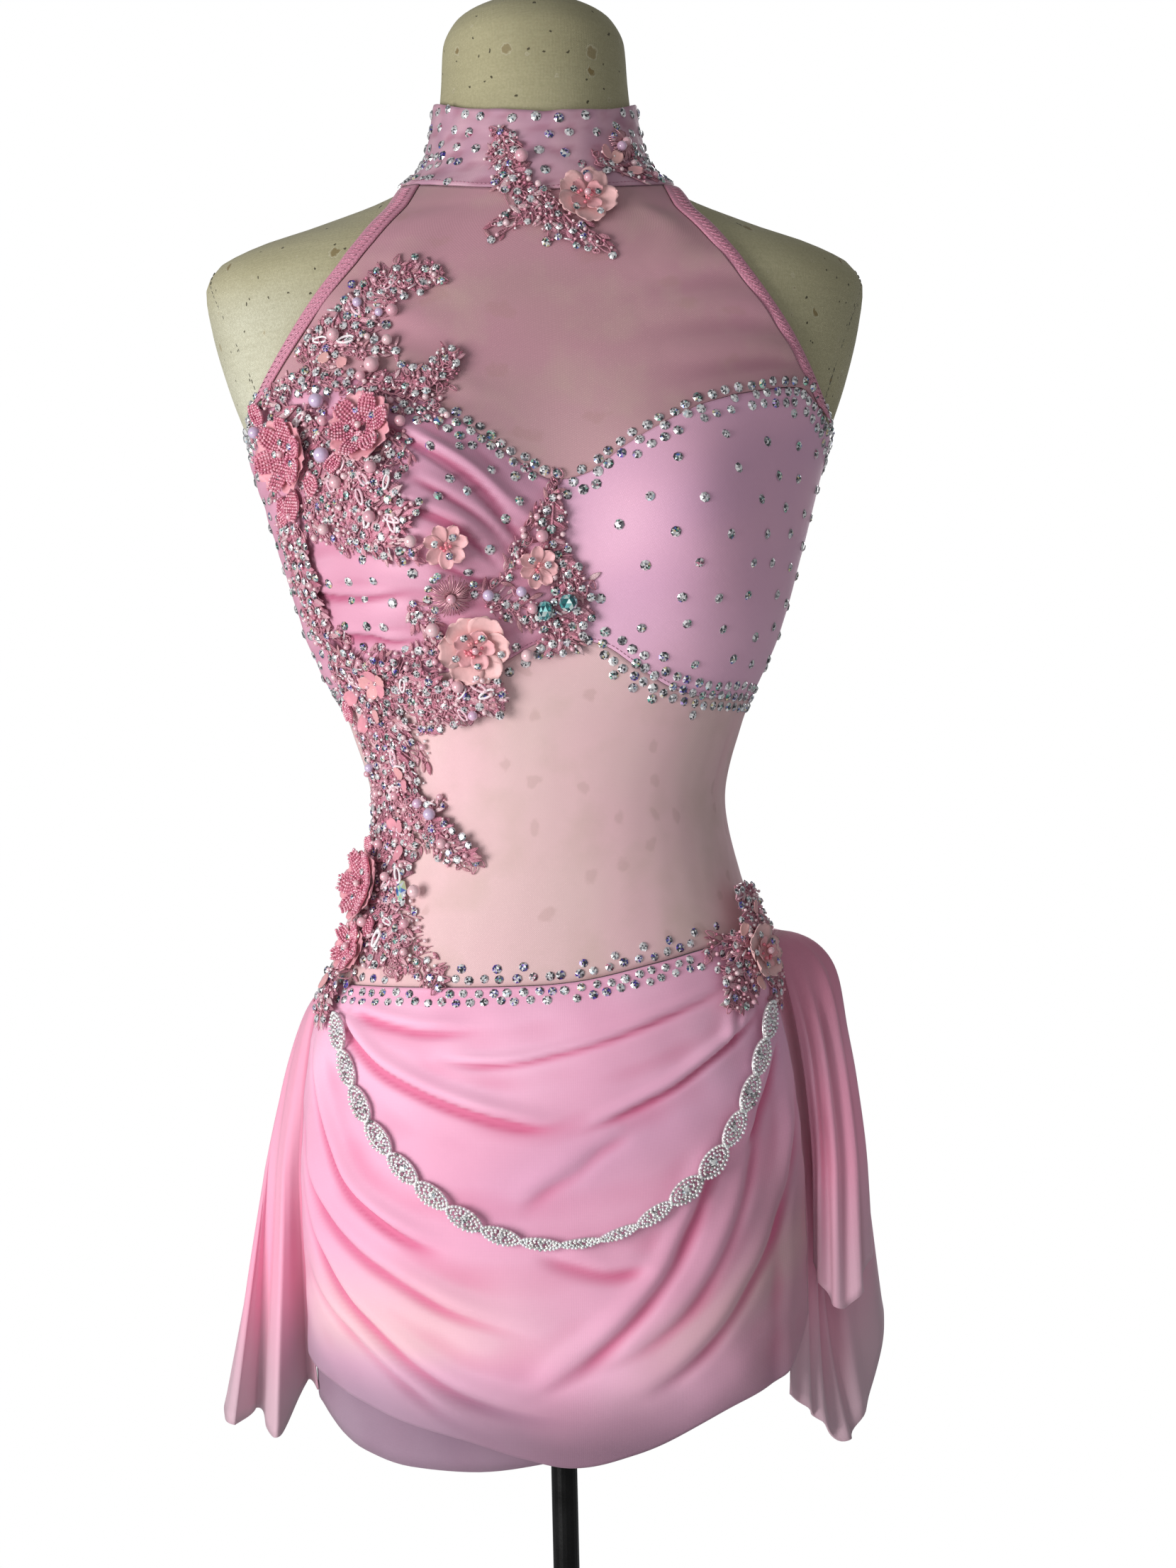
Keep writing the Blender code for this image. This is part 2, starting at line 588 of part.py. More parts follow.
def make_form():
    """The dress form: hips, waist, bust, shoulders and neck cap."""
    angles = np.concatenate([front_angles()[1:-1], np.linspace(SIDE, 360 - SIDE, FORM_BACK_STEPS)])
    heights = np.array(FORM_RINGS)
    points = body(*np.meshgrid(angles, heights)).reshape(-1, 3)
    steps = len(angles)
    faces = []
    for row in range(len(heights) - 1):
        lower, upper = row * steps, (row + 1) * steps
        for i in range(steps):
            after = (i + 1) % steps
            faces.append((lower + i, lower + after, upper + after, upper + i))
    centre = np.array([0, BODY[-1][4], 0])
    foot, top = len(points), len(points) + 1
    points = np.concatenate([points, [centre + [0, 0, heights[0]]], [centre + [0, 0, heights[-1]]]])
    last = (len(heights) - 1) * steps
    for i in range(steps):
        after = (i + 1) % steps
        faces.append((foot, after, i))
        faces.append((top, last + i, last + after))
    add_object("form_torso", "linen", points, faces)


def make_stand():
    """A round weighted foot with a hub, and a pole with a flange under the form."""
    edge = EDGE_ROUND
    revolved("stand_base", "black_paint", [
        (HUB_RADIUS - edge, HUB_TOP), (HUB_RADIUS, HUB_TOP - edge), (HUB_RADIUS, BASE_THICK + edge),
        (HUB_RADIUS + edge, BASE_THICK), (BASE_RADIUS - edge, BASE_THICK - edge),
        (BASE_RADIUS, BASE_THICK - 2 * edge), (BASE_RADIUS, edge), (BASE_RADIUS - edge, 0)], PLATE_SIDES)
    seat = BODY[0][0] - GAP
    revolved("stand_pole", "black_paint", [
        (FLANGE_RADIUS, seat), (FLANGE_RADIUS, seat - FLANGE_THICK),
        (POLE_RADIUS, seat - FLANGE_THICK), (POLE_RADIUS, HUB_TOP + GAP)], POLE_SIDES)


def collar_angles():
    """Columns of the collar: the yoke's between its corners, and even ones behind."""
    steps = 2 * FRONT_STEPS - 1
    front = np.linspace(-COLLAR_CORNER, COLLAR_CORNER, steps)
    behind = np.linspace(COLLAR_CORNER, 360 - COLLAR_CORNER, COLLAR_BACK_STEPS)[1:-1]
    return np.concatenate([front, behind])


def make_collar():
    """The stand collar, a double band round the neck."""
    angles = collar_angles()
    top, foot = seam(COLLAR_TOP, angles), seam(COLLAR_FOOT, angles)
    angle, height = rows_between(angles, top, foot, COLLAR_ROWS)
    panel("collar", "lycra", body, angle, height, CLEAR, CLEAR + COLLAR_THICK, closed=True)


def armhole_reach(height, side):
    """How far the yoke's edge lies from the centre: side -1 is the wearer's right."""
    heights, right, left = np.array(ARMHOLE).T
    return smooth(heights, left if side > 0 else right, height)


def make_yoke():
    """The mesh between the collar and the bust band, and its two stitched edges."""
    steps = 2 * FRONT_STEPS - 1
    front = front_angles()
    middle = len(front) // 2
    low_angle = front[middle - FRONT_STEPS + 1:middle + FRONT_STEPS]
    top_angle = np.linspace(-COLLAR_CORNER, COLLAR_CORNER, steps)
    top = seam(COLLAR_FOOT, top_angle) - GAP
    low = seam(BUST_TOP, low_angle) + GAP
    top_x = body(top_angle, top)[:, 0]
    low_x = body(low_angle, low)[:, 0]
    share = np.linspace(0, 1, YOKE_ROWS)[:, None]
    height = top + (low - top) * share
    across = np.zeros((YOKE_ROWS, steps))
    for side, edge in ((-1, 0), (1, -1)):
        reach = armhole_reach(height[:, edge], side)
        reach += (abs(low_x[edge]) - reach[-1]) * share[:, 0] ** 4
        reach += (abs(top_x[edge]) - reach[0]) * (1 - share[:, 0]) ** 4
        portion = top_x / top_x[edge] + (low_x / low_x[edge] - top_x / top_x[edge]) * share
        across = np.where(side * portion * top_x[edge] > 0, side * portion * reach[:, None], across)
        make_armhole_edge(side, height[:, edge], reach)
    angle = angle_at(across, height)
    angle[0] = top_angle
    angle[-1] = low_angle
    panel("yoke_front", "stretch_mesh", body, angle, height, CLEAR, CLEAR + MESH_THICK)


def make_armhole_edge(side, heights, reach):
    """A turned elastic edge, beside the yoke."""
    offsets = np.array([GAP * 2, ARMHOLE_BAND / 2, ARMHOLE_BAND])
    across = reach[:, None] + offsets
    end_angle = angle_at(across[-1], heights[-1])
    end = seam(BUST_TOP, side * end_angle) + 2 * GAP
    share = np.linspace(0, 1, len(heights))[:, None]
    height = heights[:, None] + (end - heights[-1]) * share ** 2
    height[0] -= GAP
    angle = side * angle_at(across, height)
    name = "armhole_edge_left" if side > 0 else "armhole_edge_right"
    panel(name, "lycra", body, angle, height, EDGE_CLEAR, EDGE_CLEAR + EDGE_THICK)


def make_bust_band():
    """Two cups that meet at the centre, and the band round the back."""
    front = front_angles()
    middle = len(front) // 2
    outside = CLEAR + CUP_THICK
    halves = (("draped_cup", pinched(front[:middle + 1])), ("plain_cup", pinched(front[middle:])))
    for name, angles in halves:
        draped = name == "draped_cup"
        if draped:
            between = (angles[1:] + angles[:-1]) / 2
            angles = np.sort(np.concatenate([angles, between[2:]]))
        top = np.interp(angles, front, seam(BUST_TOP, front))
        foot = np.interp(angles, front, seam(BUST_FOOT, front))
        angle, height = rows_between(angles, top, foot, CUP_ROWS)
        rise = 0.0
        if draped:
            down = np.linspace(0, 1, 2 * PLEATS + 1)[:, None]
            across = (angles - angles[0]) / (angles[-1] - angles[0])
            angle = np.broadcast_to(angles, (len(down), len(angles)))
            crowd = SIDE_CROWD + (CENTRE_CROWD - SIDE_CROWD) * across
            height = top + (foot - top) * down ** crowd
            rise = pleat_rise(down, across)
        panel(name, "cup_lycra", body, angle, height, CLEAR, outside + rise)
    angles = pinched(back_angles())
    top, foot = seam(BUST_TOP, angles), seam(BUST_FOOT, angles)
    angle, height = rows_between(angles, top, foot, BAND_ROWS)
    panel("back_band", "cup_lycra", body, angle, height, CLEAR, outside)


def make_midriff():
    """The mesh between the bust band and the skirt, front and back."""
    for name, angles in (("midriff_front", front_angles()), ("midriff_back", back_angles())):
        angles = pinched(angles)
        top = seam(BUST_FOOT, angles) - GAP
        foot = seam(WAIST_SEAM, angles) + GAP
        angle, height = rows_between(angles, top, foot, MIDRIFF_ROWS)
        panel(name, "stretch_mesh", body, angle, height, CLEAR, CLEAR + MESH_THICK)


def make_underskirt():
    """The tight skirt, a tube from the waist seam to the hem."""
    angles = np.concatenate([front_angles(), back_angles()[1:-1]])
    top, foot = seam(WAIST_SEAM, angles), seam(UNDERSKIRT_HEM, angles)
    angle, height = rows_between(angles, top, foot, UNDERSKIRT_ROWS)
    outside = SKIRT_CLEAR + MESH_THICK
    panel("underskirt", "underskirt_cloth", hips, angle, height, SKIRT_CLEAR, outside, closed=True)


def make_drape():
    """The swagged panel over the front of the skirt."""
    down = np.linspace(0, 1, DRAPE_ROWS)[:, None]
    share = np.linspace(0, 1, DRAPE_COLUMNS)
    right = smooth(*zip(*DRAPE_RIGHT_EDGE), down)
    left = smooth(*zip(*DRAPE_LEFT_EDGE), down)
    angle = right + (left - right) * share
    top = seam(WAIST_SEAM, angle) - GAP
    height = top + (seam(DRAPE_HEM, angle) - top) * down
    outside = drape_top(angle, height)
    panel("front_drape", "drape_cloth", hips, angle, height, outside - DRAPE_THICK, outside)


def spline(table, steps):
    """A smooth run through a table's rows, steps points for each."""
    table = np.array(table, float)
    at = np.linspace(0, len(table) - 1, (len(table) - 1) * steps + 1)
    i = np.minimum(at.astype(int), len(table) - 2)
    t = (at - i)[:, None]
    padded = np.concatenate([[2 * table[0] - table[1]], table, [2 * table[-1] - table[-2]]])
    before, start, end, after = (padded[i + k] for k in range(4))
    bend = 2 * before - 5 * start + 4 * end - after
    twist = 3 * start - before - 3 * end + after
    return 0.5 * (2 * start + (end - before) * t + bend * t**2 + twist * t**3)


def flare_grid(table, rows, steps, root):
    """The mid surface of a flared sheet and its normals. root is its lift at the waist seam."""
    hip_angle, lift, puff, hem_x, hem_y, hem_height, ease = spline(table, steps).T
    start = seam(WAIST_SEAM, hip_angle) - FLARE_DROP
    down = np.linspace(0, 1, rows)[:, None] ** ROW_CROWD
    height = start + (hem_height - start) * down
    swell = root + (lift - root) * (1 - np.exp(-down / ROOT_RUN))
    swell = swell + puff * np.exp(-((down - PUFF_AT) / PUFF_RUN) ** 2)
    points = lifted(hips, hip_angle, height, swell)
    foot = lifted(hips, hip_angle, hem_height, lift)
    points[..., 0] += (hem_x - foot[:, 0]) * down ** ease
    points[..., 1] += (hem_y - foot[:, 1]) * down ** (ease + FOLD_LATE)
    normal = np.cross(np.gradient(points, axis=1), np.gradient(points, axis=0))
    normal /= np.linalg.norm(normal, axis=-1, keepdims=True)
    return points, normal


def drawn_in(grid, column, toward):
    """Moves a column of a grid half a seam gap towards its neighbour."""
    run = grid[:, toward] - grid[:, column]
    grid[:, column] += run / np.linalg.norm(run, axis=-1, keepdims=True) * GAP


def make_flares():
    """The flared skirt in three pieces, and the cascade in front of the left one."""
    steps = FLARE_STEPS
    points, normal = flare_grid(FLARE, FLARE_ROWS, steps, FLARE_ROOT)
    half = normal * FLARE_THICK / 2
    for name, first, last in FLARE_PIECES:
        part = slice(first * steps, last * steps + 1)
        inside, outside = points[:, part] - half[:, part], points[:, part] + half[:, part]
        for grid in (inside, outside):
            drawn_in(grid, 0, 1)
            drawn_in(grid, -1, -2)
        wall(name, "drape_cloth", inside, outside)
    points, normal = flare_grid(CASCADE, FLARE_ROWS, steps, CASCADE_ROOT)
    half = normal * FLARE_THICK / 2
    wall("cascade", "drape_cloth", points - half, points + half)


def make_chain():
    """The jewelled chain: eye-shaped links in one strip, hung over the drape."""
    angles, heights = zip(*CHAIN)
    coarse = spline(np.stack([angles, heights], -1), 8)
    place = hips(coarse[:, 0], coarse[:, 1])
    length = np.concatenate([[0], np.cumsum(np.linalg.norm(np.diff(place, axis=0), axis=1))])
    steps = CHAIN_LINKS * LINK_STEPS
    at = np.linspace(0, length[-1], steps + 1)
    angle = np.interp(at, length, coarse[:, 0])
    height = np.interp(at, length, coarse[:, 1])
    reach = metres_per_degree(hips, angle, height)
    run = np.stack([np.gradient(angle) * reach, np.gradient(height)], -1)
    run /= np.linalg.norm(run, axis=-1, keepdims=True)
    phase = np.arange(steps + 1) / LINK_STEPS * np.pi
    half = CHAIN_NARROW + (CHAIN_WIDE - CHAIN_NARROW) * np.abs(np.sin(phase))
    side = np.array([1, -1]) * half[:, None]
    grid_angle = angle[:, None] - run[:, 1:] * side / reach[:, None]
    grid_height = height[:, None] + run[:, :1] * side
    crest = drape_top(grid_angle, grid_height).max(1)
    crest = np.pad(crest, CHAIN_SPAN, mode="edge")
    window = 2 * CHAIN_SPAN + 1
    highest = [crest[i:i + window].max() for i in range(steps + 1)]
    highest = np.pad(highest, CHAIN_SPAN, mode="edge")
    lift = [highest[i:i + window].mean() for i in range(steps + 1)]
    lift = np.array(lift)[:, None] + CHAIN_REST
    panel("crystal_swag", "silver_chain", hips, grid_angle, grid_height, lift, lift + CHAIN_THICK)


def make_lace(name, surface, lift, half_width, leaves, stem):
    """A raised lace branch, its edge waved by pairs of leaves."""
    surface = SURFACES[surface]
    line = spline(stem, 24)
    steps = LEAF_STEPS * leaves + 1
    pick = np.linspace(0, len(line) - 1, steps)
    angle = np.interp(pick, np.arange(len(line)), line[:, 0])
    height = np.interp(pick, np.arange(len(line)), line[:, 1])
    reach = metres_per_degree(surface, angle, height)
    run = np.stack([np.gradient(angle) * reach, np.gradient(height)], -1)
    run /= np.linalg.norm(run, axis=-1, keepdims=True)
    share = np.linspace(0, 1, steps)
    taper = np.sin(np.pi * np.interp(share, (0, 1), LACE_TAPER)) ** 0.5
    leaf = 1 - LEAF_DIP * (1 - np.abs(np.sin(np.pi * leaves * share)))
    columns = np.linspace(1, -1, 5 if half_width > LACE_WIDE else 3)
    side = columns * (half_width * taper * leaf)[:, None]
    grid_angle = angle[:, None] - run[:, 1:] * side / reach[:, None]
    grid_height = height[:, None] + run[:, :1] * side
    panel(name, "lace", surface, grid_angle, grid_height, lift, lift + LACE_THICK)


def make_flower(name, surface, angle, height, lift, radius, petals, stand, slot):
    """A flower of cupped petals, one closed body that follows the cloth under it."""
    surface = SURFACES[surface]
    spokes = petals * 2
    turn = np.linspace(0, 2 * np.pi, spokes, endpoint=False)
    edge = radius * (1 - PETAL_DIP * (1 - np.abs(np.cos(petals * turn / 2))))
    reach = metres_per_degree(surface, angle, height)

    def place(share, top):
        out = edge * share
        at_angle = angle + out * np.cos(turn) / reach
        at_height = height + out * np.sin(turn)
        rise = stand * share**2 + PETAL_THICK * top
        return lifted(surface, at_angle, at_height, lift + rise)

    rings = [place(share, 1) for share in PETAL_RINGS]
    rings += [place(share, 0) for share in PETAL_RINGS[::-1]]
    heart = lifted(surface, angle, height, lift + PETAL_THICK + HEART_RISE)
    under = lifted(surface, angle, height, lift)
    points = np.concatenate([[heart], *rings, [under]])
    faces = []
    for i in range(spokes):
        after = (i + 1) % spokes
        faces.append((0, 1 + i, 1 + after))
        for k in range(len(rings) - 1):
            near, far = 1 + k * spokes, 1 + (k + 1) * spokes
            faces.append((near + i, far + i, far + after, near + after))
        last = 1 + (len(rings) - 1) * spokes
        faces.append((len(points) - 1, last + after, last + i))
    add_object(name, slot, points, faces)


def make_bead(name, angle, height, lift, radius, stretch):
    """A faceted bead."""
    centre = lifted(body, angle, height, lift)
    steps = BEAD_SIDES
    turn = np.linspace(0, 2 * np.pi, steps, endpoint=False)
    points = [centre + [0, 0, radius * stretch]]
    tilts = np.radians(BEAD_TILTS)
    for tilt in tilts:
        ring = np.stack([np.cos(turn) * np.cos(tilt), np.sin(turn) * np.cos(tilt), 0 * turn], -1)
        points += list(centre + ring * radius + [0, 0, radius * stretch * np.sin(tilt)])
    points.append(centre - [0, 0, radius * stretch])
    faces = []
    for i in range(steps):
        after = (i + 1) % steps
        faces.append((0, 1 + i, 1 + after))
        for k in range(len(tilts) - 1):
            upper, lower = 1 + k * steps, 1 + (k + 1) * steps
            faces.append((upper + i, lower + i, lower + after, upper + after))
        last = 1 + (len(tilts) - 1) * steps
        faces.append((len(points) - 1, last + after, last + i))
    add_object(name, "crystal", points, faces)


def main():
    for item in list(bpy.data.objects):
        bpy.data.objects.remove(item, do_unlink=True)
    make_form()
    make_stand()
    make_collar()
    make_yoke()
    make_bust_band()
    make_midriff()
    make_underskirt()
    make_drape()
    make_flares()
    make_chain()
    for row in LACES:
        make_lace(*row)
    for row in FLOWERS:
        make_flower(*row)
    for row in BEADS:
        make_bead(*row)


main()
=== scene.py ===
"""A pink latin dance dress on a limbless dress form: the looks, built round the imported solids.

Metres, +Z up, the floor at 0. The front looks along -Y, and +X is the wearer's left.
Angles are degrees round the body: 0 at centre front, 90 at the wearer's left side.
"""
import math

import bpy
import numpy as np
from mathutils import Matrix, Vector


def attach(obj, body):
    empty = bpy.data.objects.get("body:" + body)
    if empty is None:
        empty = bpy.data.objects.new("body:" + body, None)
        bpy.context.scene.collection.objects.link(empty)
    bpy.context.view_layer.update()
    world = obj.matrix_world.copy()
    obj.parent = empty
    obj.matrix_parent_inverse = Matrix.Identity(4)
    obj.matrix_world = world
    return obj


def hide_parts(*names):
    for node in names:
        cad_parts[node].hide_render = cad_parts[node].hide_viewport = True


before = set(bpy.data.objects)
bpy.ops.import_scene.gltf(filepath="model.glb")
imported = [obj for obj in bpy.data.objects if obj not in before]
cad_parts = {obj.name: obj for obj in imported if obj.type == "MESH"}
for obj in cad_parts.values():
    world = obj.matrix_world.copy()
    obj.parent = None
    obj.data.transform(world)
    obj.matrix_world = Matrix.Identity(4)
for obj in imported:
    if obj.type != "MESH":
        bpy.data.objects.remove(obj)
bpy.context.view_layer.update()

# Cloth
GAP = 0.0003
CLEAR = 0.0017
SKIRT_CLEAR = 0.0025
EDGE_CLEAR = 0.0024
MESH_THICK = 0.0012
CUP_THICK = 0.0015
COLLAR_THICK = 0.0018
EDGE_THICK = 0.0020
DRAPE_THICK = 0.0013
FLARE_ROOT = 0.0052
CASCADE_ROOT = 0.0069
FLARE_DROP = 0.004
ARMHOLE_BAND = 0.011

# The dress form, one row for each section up the body
BODY = [
    # height, half_width, front, back, middle, power
    (0.645, 0.1340, 0.086, 0.106, 0.006, 2.2),
    (0.690, 0.1380, 0.091, 0.115, 0.006, 2.2),
    (0.735, 0.1390, 0.095, 0.121, 0.006, 2.2),
    (0.780, 0.1365, 0.097, 0.121, 0.006, 2.2),
    (0.820, 0.1310, 0.096, 0.115, 0.005, 2.2),
    (0.860, 0.1210, 0.091, 0.101, 0.003, 2.2),
    (0.902, 0.1055, 0.086, 0.088, 0.001, 2.2),
    (0.945, 0.0975, 0.084, 0.083, 0.000, 2.2),
    (0.988, 0.1080, 0.087, 0.090, 0.000, 2.2),
    (1.037, 0.1300, 0.092, 0.101, 0.001, 2.3),
    (1.086, 0.1450, 0.097, 0.108, 0.002, 2.3),
    (1.135, 0.1592, 0.098, 0.107, 0.003, 2.4),
    (1.183, 0.1765, 0.094, 0.099, 0.004, 2.5),
    (1.215, 0.1850, 0.090, 0.092, 0.005, 2.5),
    (1.236, 0.1880, 0.086, 0.085, 0.005, 2.5),
    (1.247, 0.1838, 0.084, 0.081, 0.004, 2.3),
    (1.257, 0.1680, 0.082, 0.077, 0.003, 2.1),
    (1.269, 0.1335, 0.079, 0.072, 0.001, 1.9),
    (1.281, 0.0985, 0.076, 0.066, -0.001, 1.9),
    (1.293, 0.0740, 0.073, 0.060, -0.004, 1.9),
    (1.307, 0.0610, 0.070, 0.053, -0.008, 2.0),
    (1.325, 0.0560, 0.068, 0.046, -0.011, 2.0),
    (1.350, 0.0530, 0.066, 0.040, -0.013, 2.0),
    (1.372, 0.0515, 0.065, 0.037, -0.014, 2.0),
    (1.384, 0.0460, 0.059, 0.031, -0.014, 2.0),
    (1.393, 0.0330, 0.046, 0.018, -0.014, 2.0),
    (1.398, 0.0130, 0.027, -0.001, -0.014, 2.0),
]
HIP_HEIGHT = 0.735
HIP_RADIUS = 0.118
SEAM_RADIUS = 0.090
HANG_TAPER = 0.20
BUST_ACROSS = 0.078
BUST_HEIGHT = 1.095
BUST_REACH = 0.034
BUST_WIDE = 0.056
BUST_TALL = 0.060

# Seams and hems: (angle, height)
COLLAR_TOP = [(0, 1.320), (35, 1.3245), (84, 1.339), (180, 1.348)]
COLLAR_FOOT = [(0, 1.275), (23, 1.278), (45, 1.283), (90, 1.293), (180, 1.300)]
BUST_TOP = [
    (-180, 1.122), (-110, 1.132), (-76, 1.152), (-57.5, 1.170), (-42.6, 1.176), (-25.3, 1.167),
    (-15.2, 1.148), (-5.8, 1.126), (0, 1.115), (5, 1.119), (9.8, 1.131), (16.3, 1.143),
    (23.4, 1.154), (33.7, 1.163), (48, 1.169), (57.5, 1.162), (76, 1.147), (110, 1.130), (180, 1.122),
]
BUST_FOOT = [
    (-180, 1.005), (-90, 1.006), (-45, 1.014), (-12.6, 1.021), (0, 1.033), (6.7, 1.031),
    (17.5, 1.018), (30.9, 1.006), (44.2, 1.002), (70, 1.002), (180, 1.005),
]
WAIST_SEAM = [
    (-180, 0.850), (-90, 0.843), (-60, 0.847), (-6, 0.848), (22.4, 0.858), (36, 0.863),
    (60, 0.868), (90, 0.870), (130, 0.861), (180, 0.850),
]
UNDERSKIRT_HEM = [
    (-180, 0.602), (-110, 0.612), (-81, 0.613), (-53, 0.596), (-38, 0.591), (-22, 0.590),
    (0, 0.597), (30, 0.620), (60, 0.632), (90, 0.630), (180, 0.602),
]
DRAPE_HEM = [
    (-92, 0.642), (-70, 0.634), (-51, 0.625), (-36, 0.616), (-23, 0.609), (-10, 0.599),
    (0, 0.593), (11, 0.598), (32, 0.615), (53, 0.627), (60, 0.640), (68, 0.662),
]
DRAPE_RIGHT_EDGE = [(0.0, -80), (1.0, -83)]
DRAPE_EDGE_CALM = 14
DRAPE_LEFT_EDGE = [(0.0, 57), (0.4, 61), (1.0, 66)]

# The yoke's edge: (height, reach to the wearer's right, reach to the wearer's left)
ARMHOLE = [
    (1.150, 0.158, 0.154), (1.161, 0.153, 0.148), (1.172, 0.147, 0.1405), (1.204, 0.126, 0.121),
    (1.222, 0.113, 0.108), (1.238, 0.100, 0.096), (1.255, 0.087, 0.083), (1.270, 0.076, 0.072),
    (1.284, 0.071, 0.069),
]

SIDE = 88
ARMHOLE_ANGLE = 57.5
COLLAR_CORNER = 45

# Pleats of the draped cup: they fan out from the centre, and crowd up at the side
PLEATS = 7
PLEAT_RISE = 0.0042
PLEAT_FADE = (0.10, 0.92)
CENTRE_CROWD = 0.75
SIDE_CROWD = 1.30

# Swags of the front drape, each through its two ends and its lowest place
SWAGS = [
    # right_angle, right_height, low_angle, low_height, left_angle, left_height, rise, width
    (-66, 0.838, -24, 0.833, 40, 0.852, 0.0028, 0.0060),
    (-66, 0.822, -20, 0.807, 45, 0.838, 0.0044, 0.0100),
    (-72, 0.816, -8, 0.788, 47, 0.826, 0.0046, 0.0100),
    (-76, 0.806, -6, 0.750, 50, 0.808, 0.0060, 0.0150),
    (-80, 0.786, -10, 0.712, 53, 0.788, 0.0062, 0.0130),
    (-84, 0.760, -8, 0.672, 56, 0.764, 0.0080, 0.0150),
    (-86, 0.716, -4, 0.628, 60, 0.730, 0.0070, 0.0160),
    (-88, 0.680, 2, 0.604, 62, 0.690, 0.0040, 0.0100),
]
SWAG_STEPS = 41
SKIRT_LENGTH = 0.25
DRAPE_CALM = 0.25
DRAPE_PUFF = 0.0012
OVER_FLOUNCE = 0.0034
OVER_FLOUNCE_FROM = 49
OVER_FLOUNCE_RUN = 7

# The flared skirt, from the wearer's right flounce round the back to the left one. Each row is a
# fold line from the hip to the hem. puff swells it near the top, and ease is how late it leaves the
# hip sideways. To the front or back it leaves later still, by FOLD_LATE.
FLARE = [
    # hip_angle, lift, puff, hem_x, hem_y, hem_height, ease
    (-83.5, 0.0080, 0.0, -0.1460, 0.002, 0.618, 1.0),
    (-86, 0.0098, 0.0, -0.1560, -0.017, 0.601, 1.0),
    (-88.6, 0.0106, 0.0, -0.1620, -0.027, 0.596, 1.0),
    (-91.2, 0.0109, 0.0, -0.1672, -0.015, 0.599, 0.9),
    (-93.6, 0.0102, 0.0, -0.1706, 0.001, 0.604, 0.85),
    (-96.0, 0.0098, 0.0, -0.1760, 0.002, 0.605, 0.75),
    (-98.2, 0.0102, 0.0, -0.1802, -0.011, 0.603, 0.8),
    (-100.2, 0.0104, 0.0, -0.1855, -0.019, 0.602, 0.9),
    (-102.4, 0.0098, 0.0, -0.1905, -0.008, 0.603, 1.0),
    (-105, 0.0084, 0.0, -0.1930, 0.018, 0.605, 1.0),
    (-109, 0.0075, 0.0, -0.1890, 0.046, 0.606, 1.0),
    (-114, 0.0060, 0.0, -0.1720, 0.078, 0.608, 1.0),
    (-121, 0.0090, 0.0, -0.1740, 0.118, 0.604, 1.0),
    (-130, 0.0060, 0.0, -0.1300, 0.128, 0.608, 1.0),
    (-141, 0.0090, 0.0, -0.1220, 0.174, 0.603, 1.0),
    (-154, 0.0060, 0.0, -0.0720, 0.160, 0.607, 1.0),
    (-167, 0.0090, 0.0, -0.0520, 0.196, 0.602, 1.0),
    (-180, 0.0060, 0.0, 0.0020, 0.164, 0.607, 1.0),
    (-193, 0.0090, 0.0, 0.0560, 0.194, 0.602, 1.0),
    (-206, 0.0060, 0.0, 0.0760, 0.158, 0.608, 1.0),
    (-219, 0.0090, 0.0, 0.1240, 0.168, 0.605, 1.0),
    (-230, 0.0060, 0.0, 0.1360, 0.124, 0.612, 1.0),
    (-241, 0.0120, 0.002, 0.1740, 0.104, 0.620, 0.9),
    (-252, 0.0150, 0.004, 0.1830, 0.066, 0.634, 0.9),
    (-259, 0.0220, 0.008, 0.1915, 0.032, 0.646, 0.9),
    (-265, 0.0220, 0.008, 0.1890, 0.006, 0.636, 0.9),
    (-269, 0.0160, 0.004, 0.1795, -0.012, 0.612, 1.2),
    (-274, 0.0085, 0.0, 0.1650, -0.027, 0.590, 2.6),
    (-280, 0.0058, 0.0, 0.1550, -0.037, 0.581, 4.5),
    (-287, 0.0054, 0.0, 0.1400, -0.040, 0.594, 5.0),
    (-294, 0.0052, 0.0, 0.1300, -0.046, 0.606, 5.0),
    (-300, 0.0052, 0.0, 0.1225, -0.053, 0.614, 5.0),
]
FLARE_PIECES = [
    # name, first row, last row
    ("flounce_right", 0, 10),
    ("back_skirt", 10, 22),
    ("flounce_left", 22, 31),
]
CASCADE = [
    (83, 0.0230, 0.005, 0.1680, -0.010, 0.698, 0.6),
    (80, 0.0250, 0.006, 0.1715, -0.026, 0.686, 0.6),
    (76.5, 0.0220, 0.004, 0.1655, -0.042, 0.674, 0.6),
    (73, 0.0180, 0.002, 0.1550, -0.051, 0.660, 0.6),
    (69.5, 0.0140, 0.0, 0.1465, -0.046, 0.668, 0.7),
    (66.5, 0.0110, 0.0, 0.1400, -0.040, 0.684, 0.8),
]

FOLD_LATE = 0.5
ROW_CROWD = 1.4
ROOT_RUN = 0.03
PUFF_AT = 0.13
PUFF_RUN = 0.11

# The jewelled chain that hangs over the drape
CHAIN = [
    # angle, height
    (-61.5, 0.831), (-54.8, 0.808), (-45, 0.777), (-34.8, 0.753), (-22.4, 0.730), (-12.9, 0.718),
    (-1.4, 0.713), (9.4, 0.719), (19.2, 0.733), (29.5, 0.753), (37.6, 0.776), (44.3, 0.799),
    (51.5, 0.822), (54, 0.831),
]
CHAIN_REST = 0.0006
CHAIN_SPAN = 9
CHAIN_LINKS = 18
CHAIN_WIDE = 0.0053

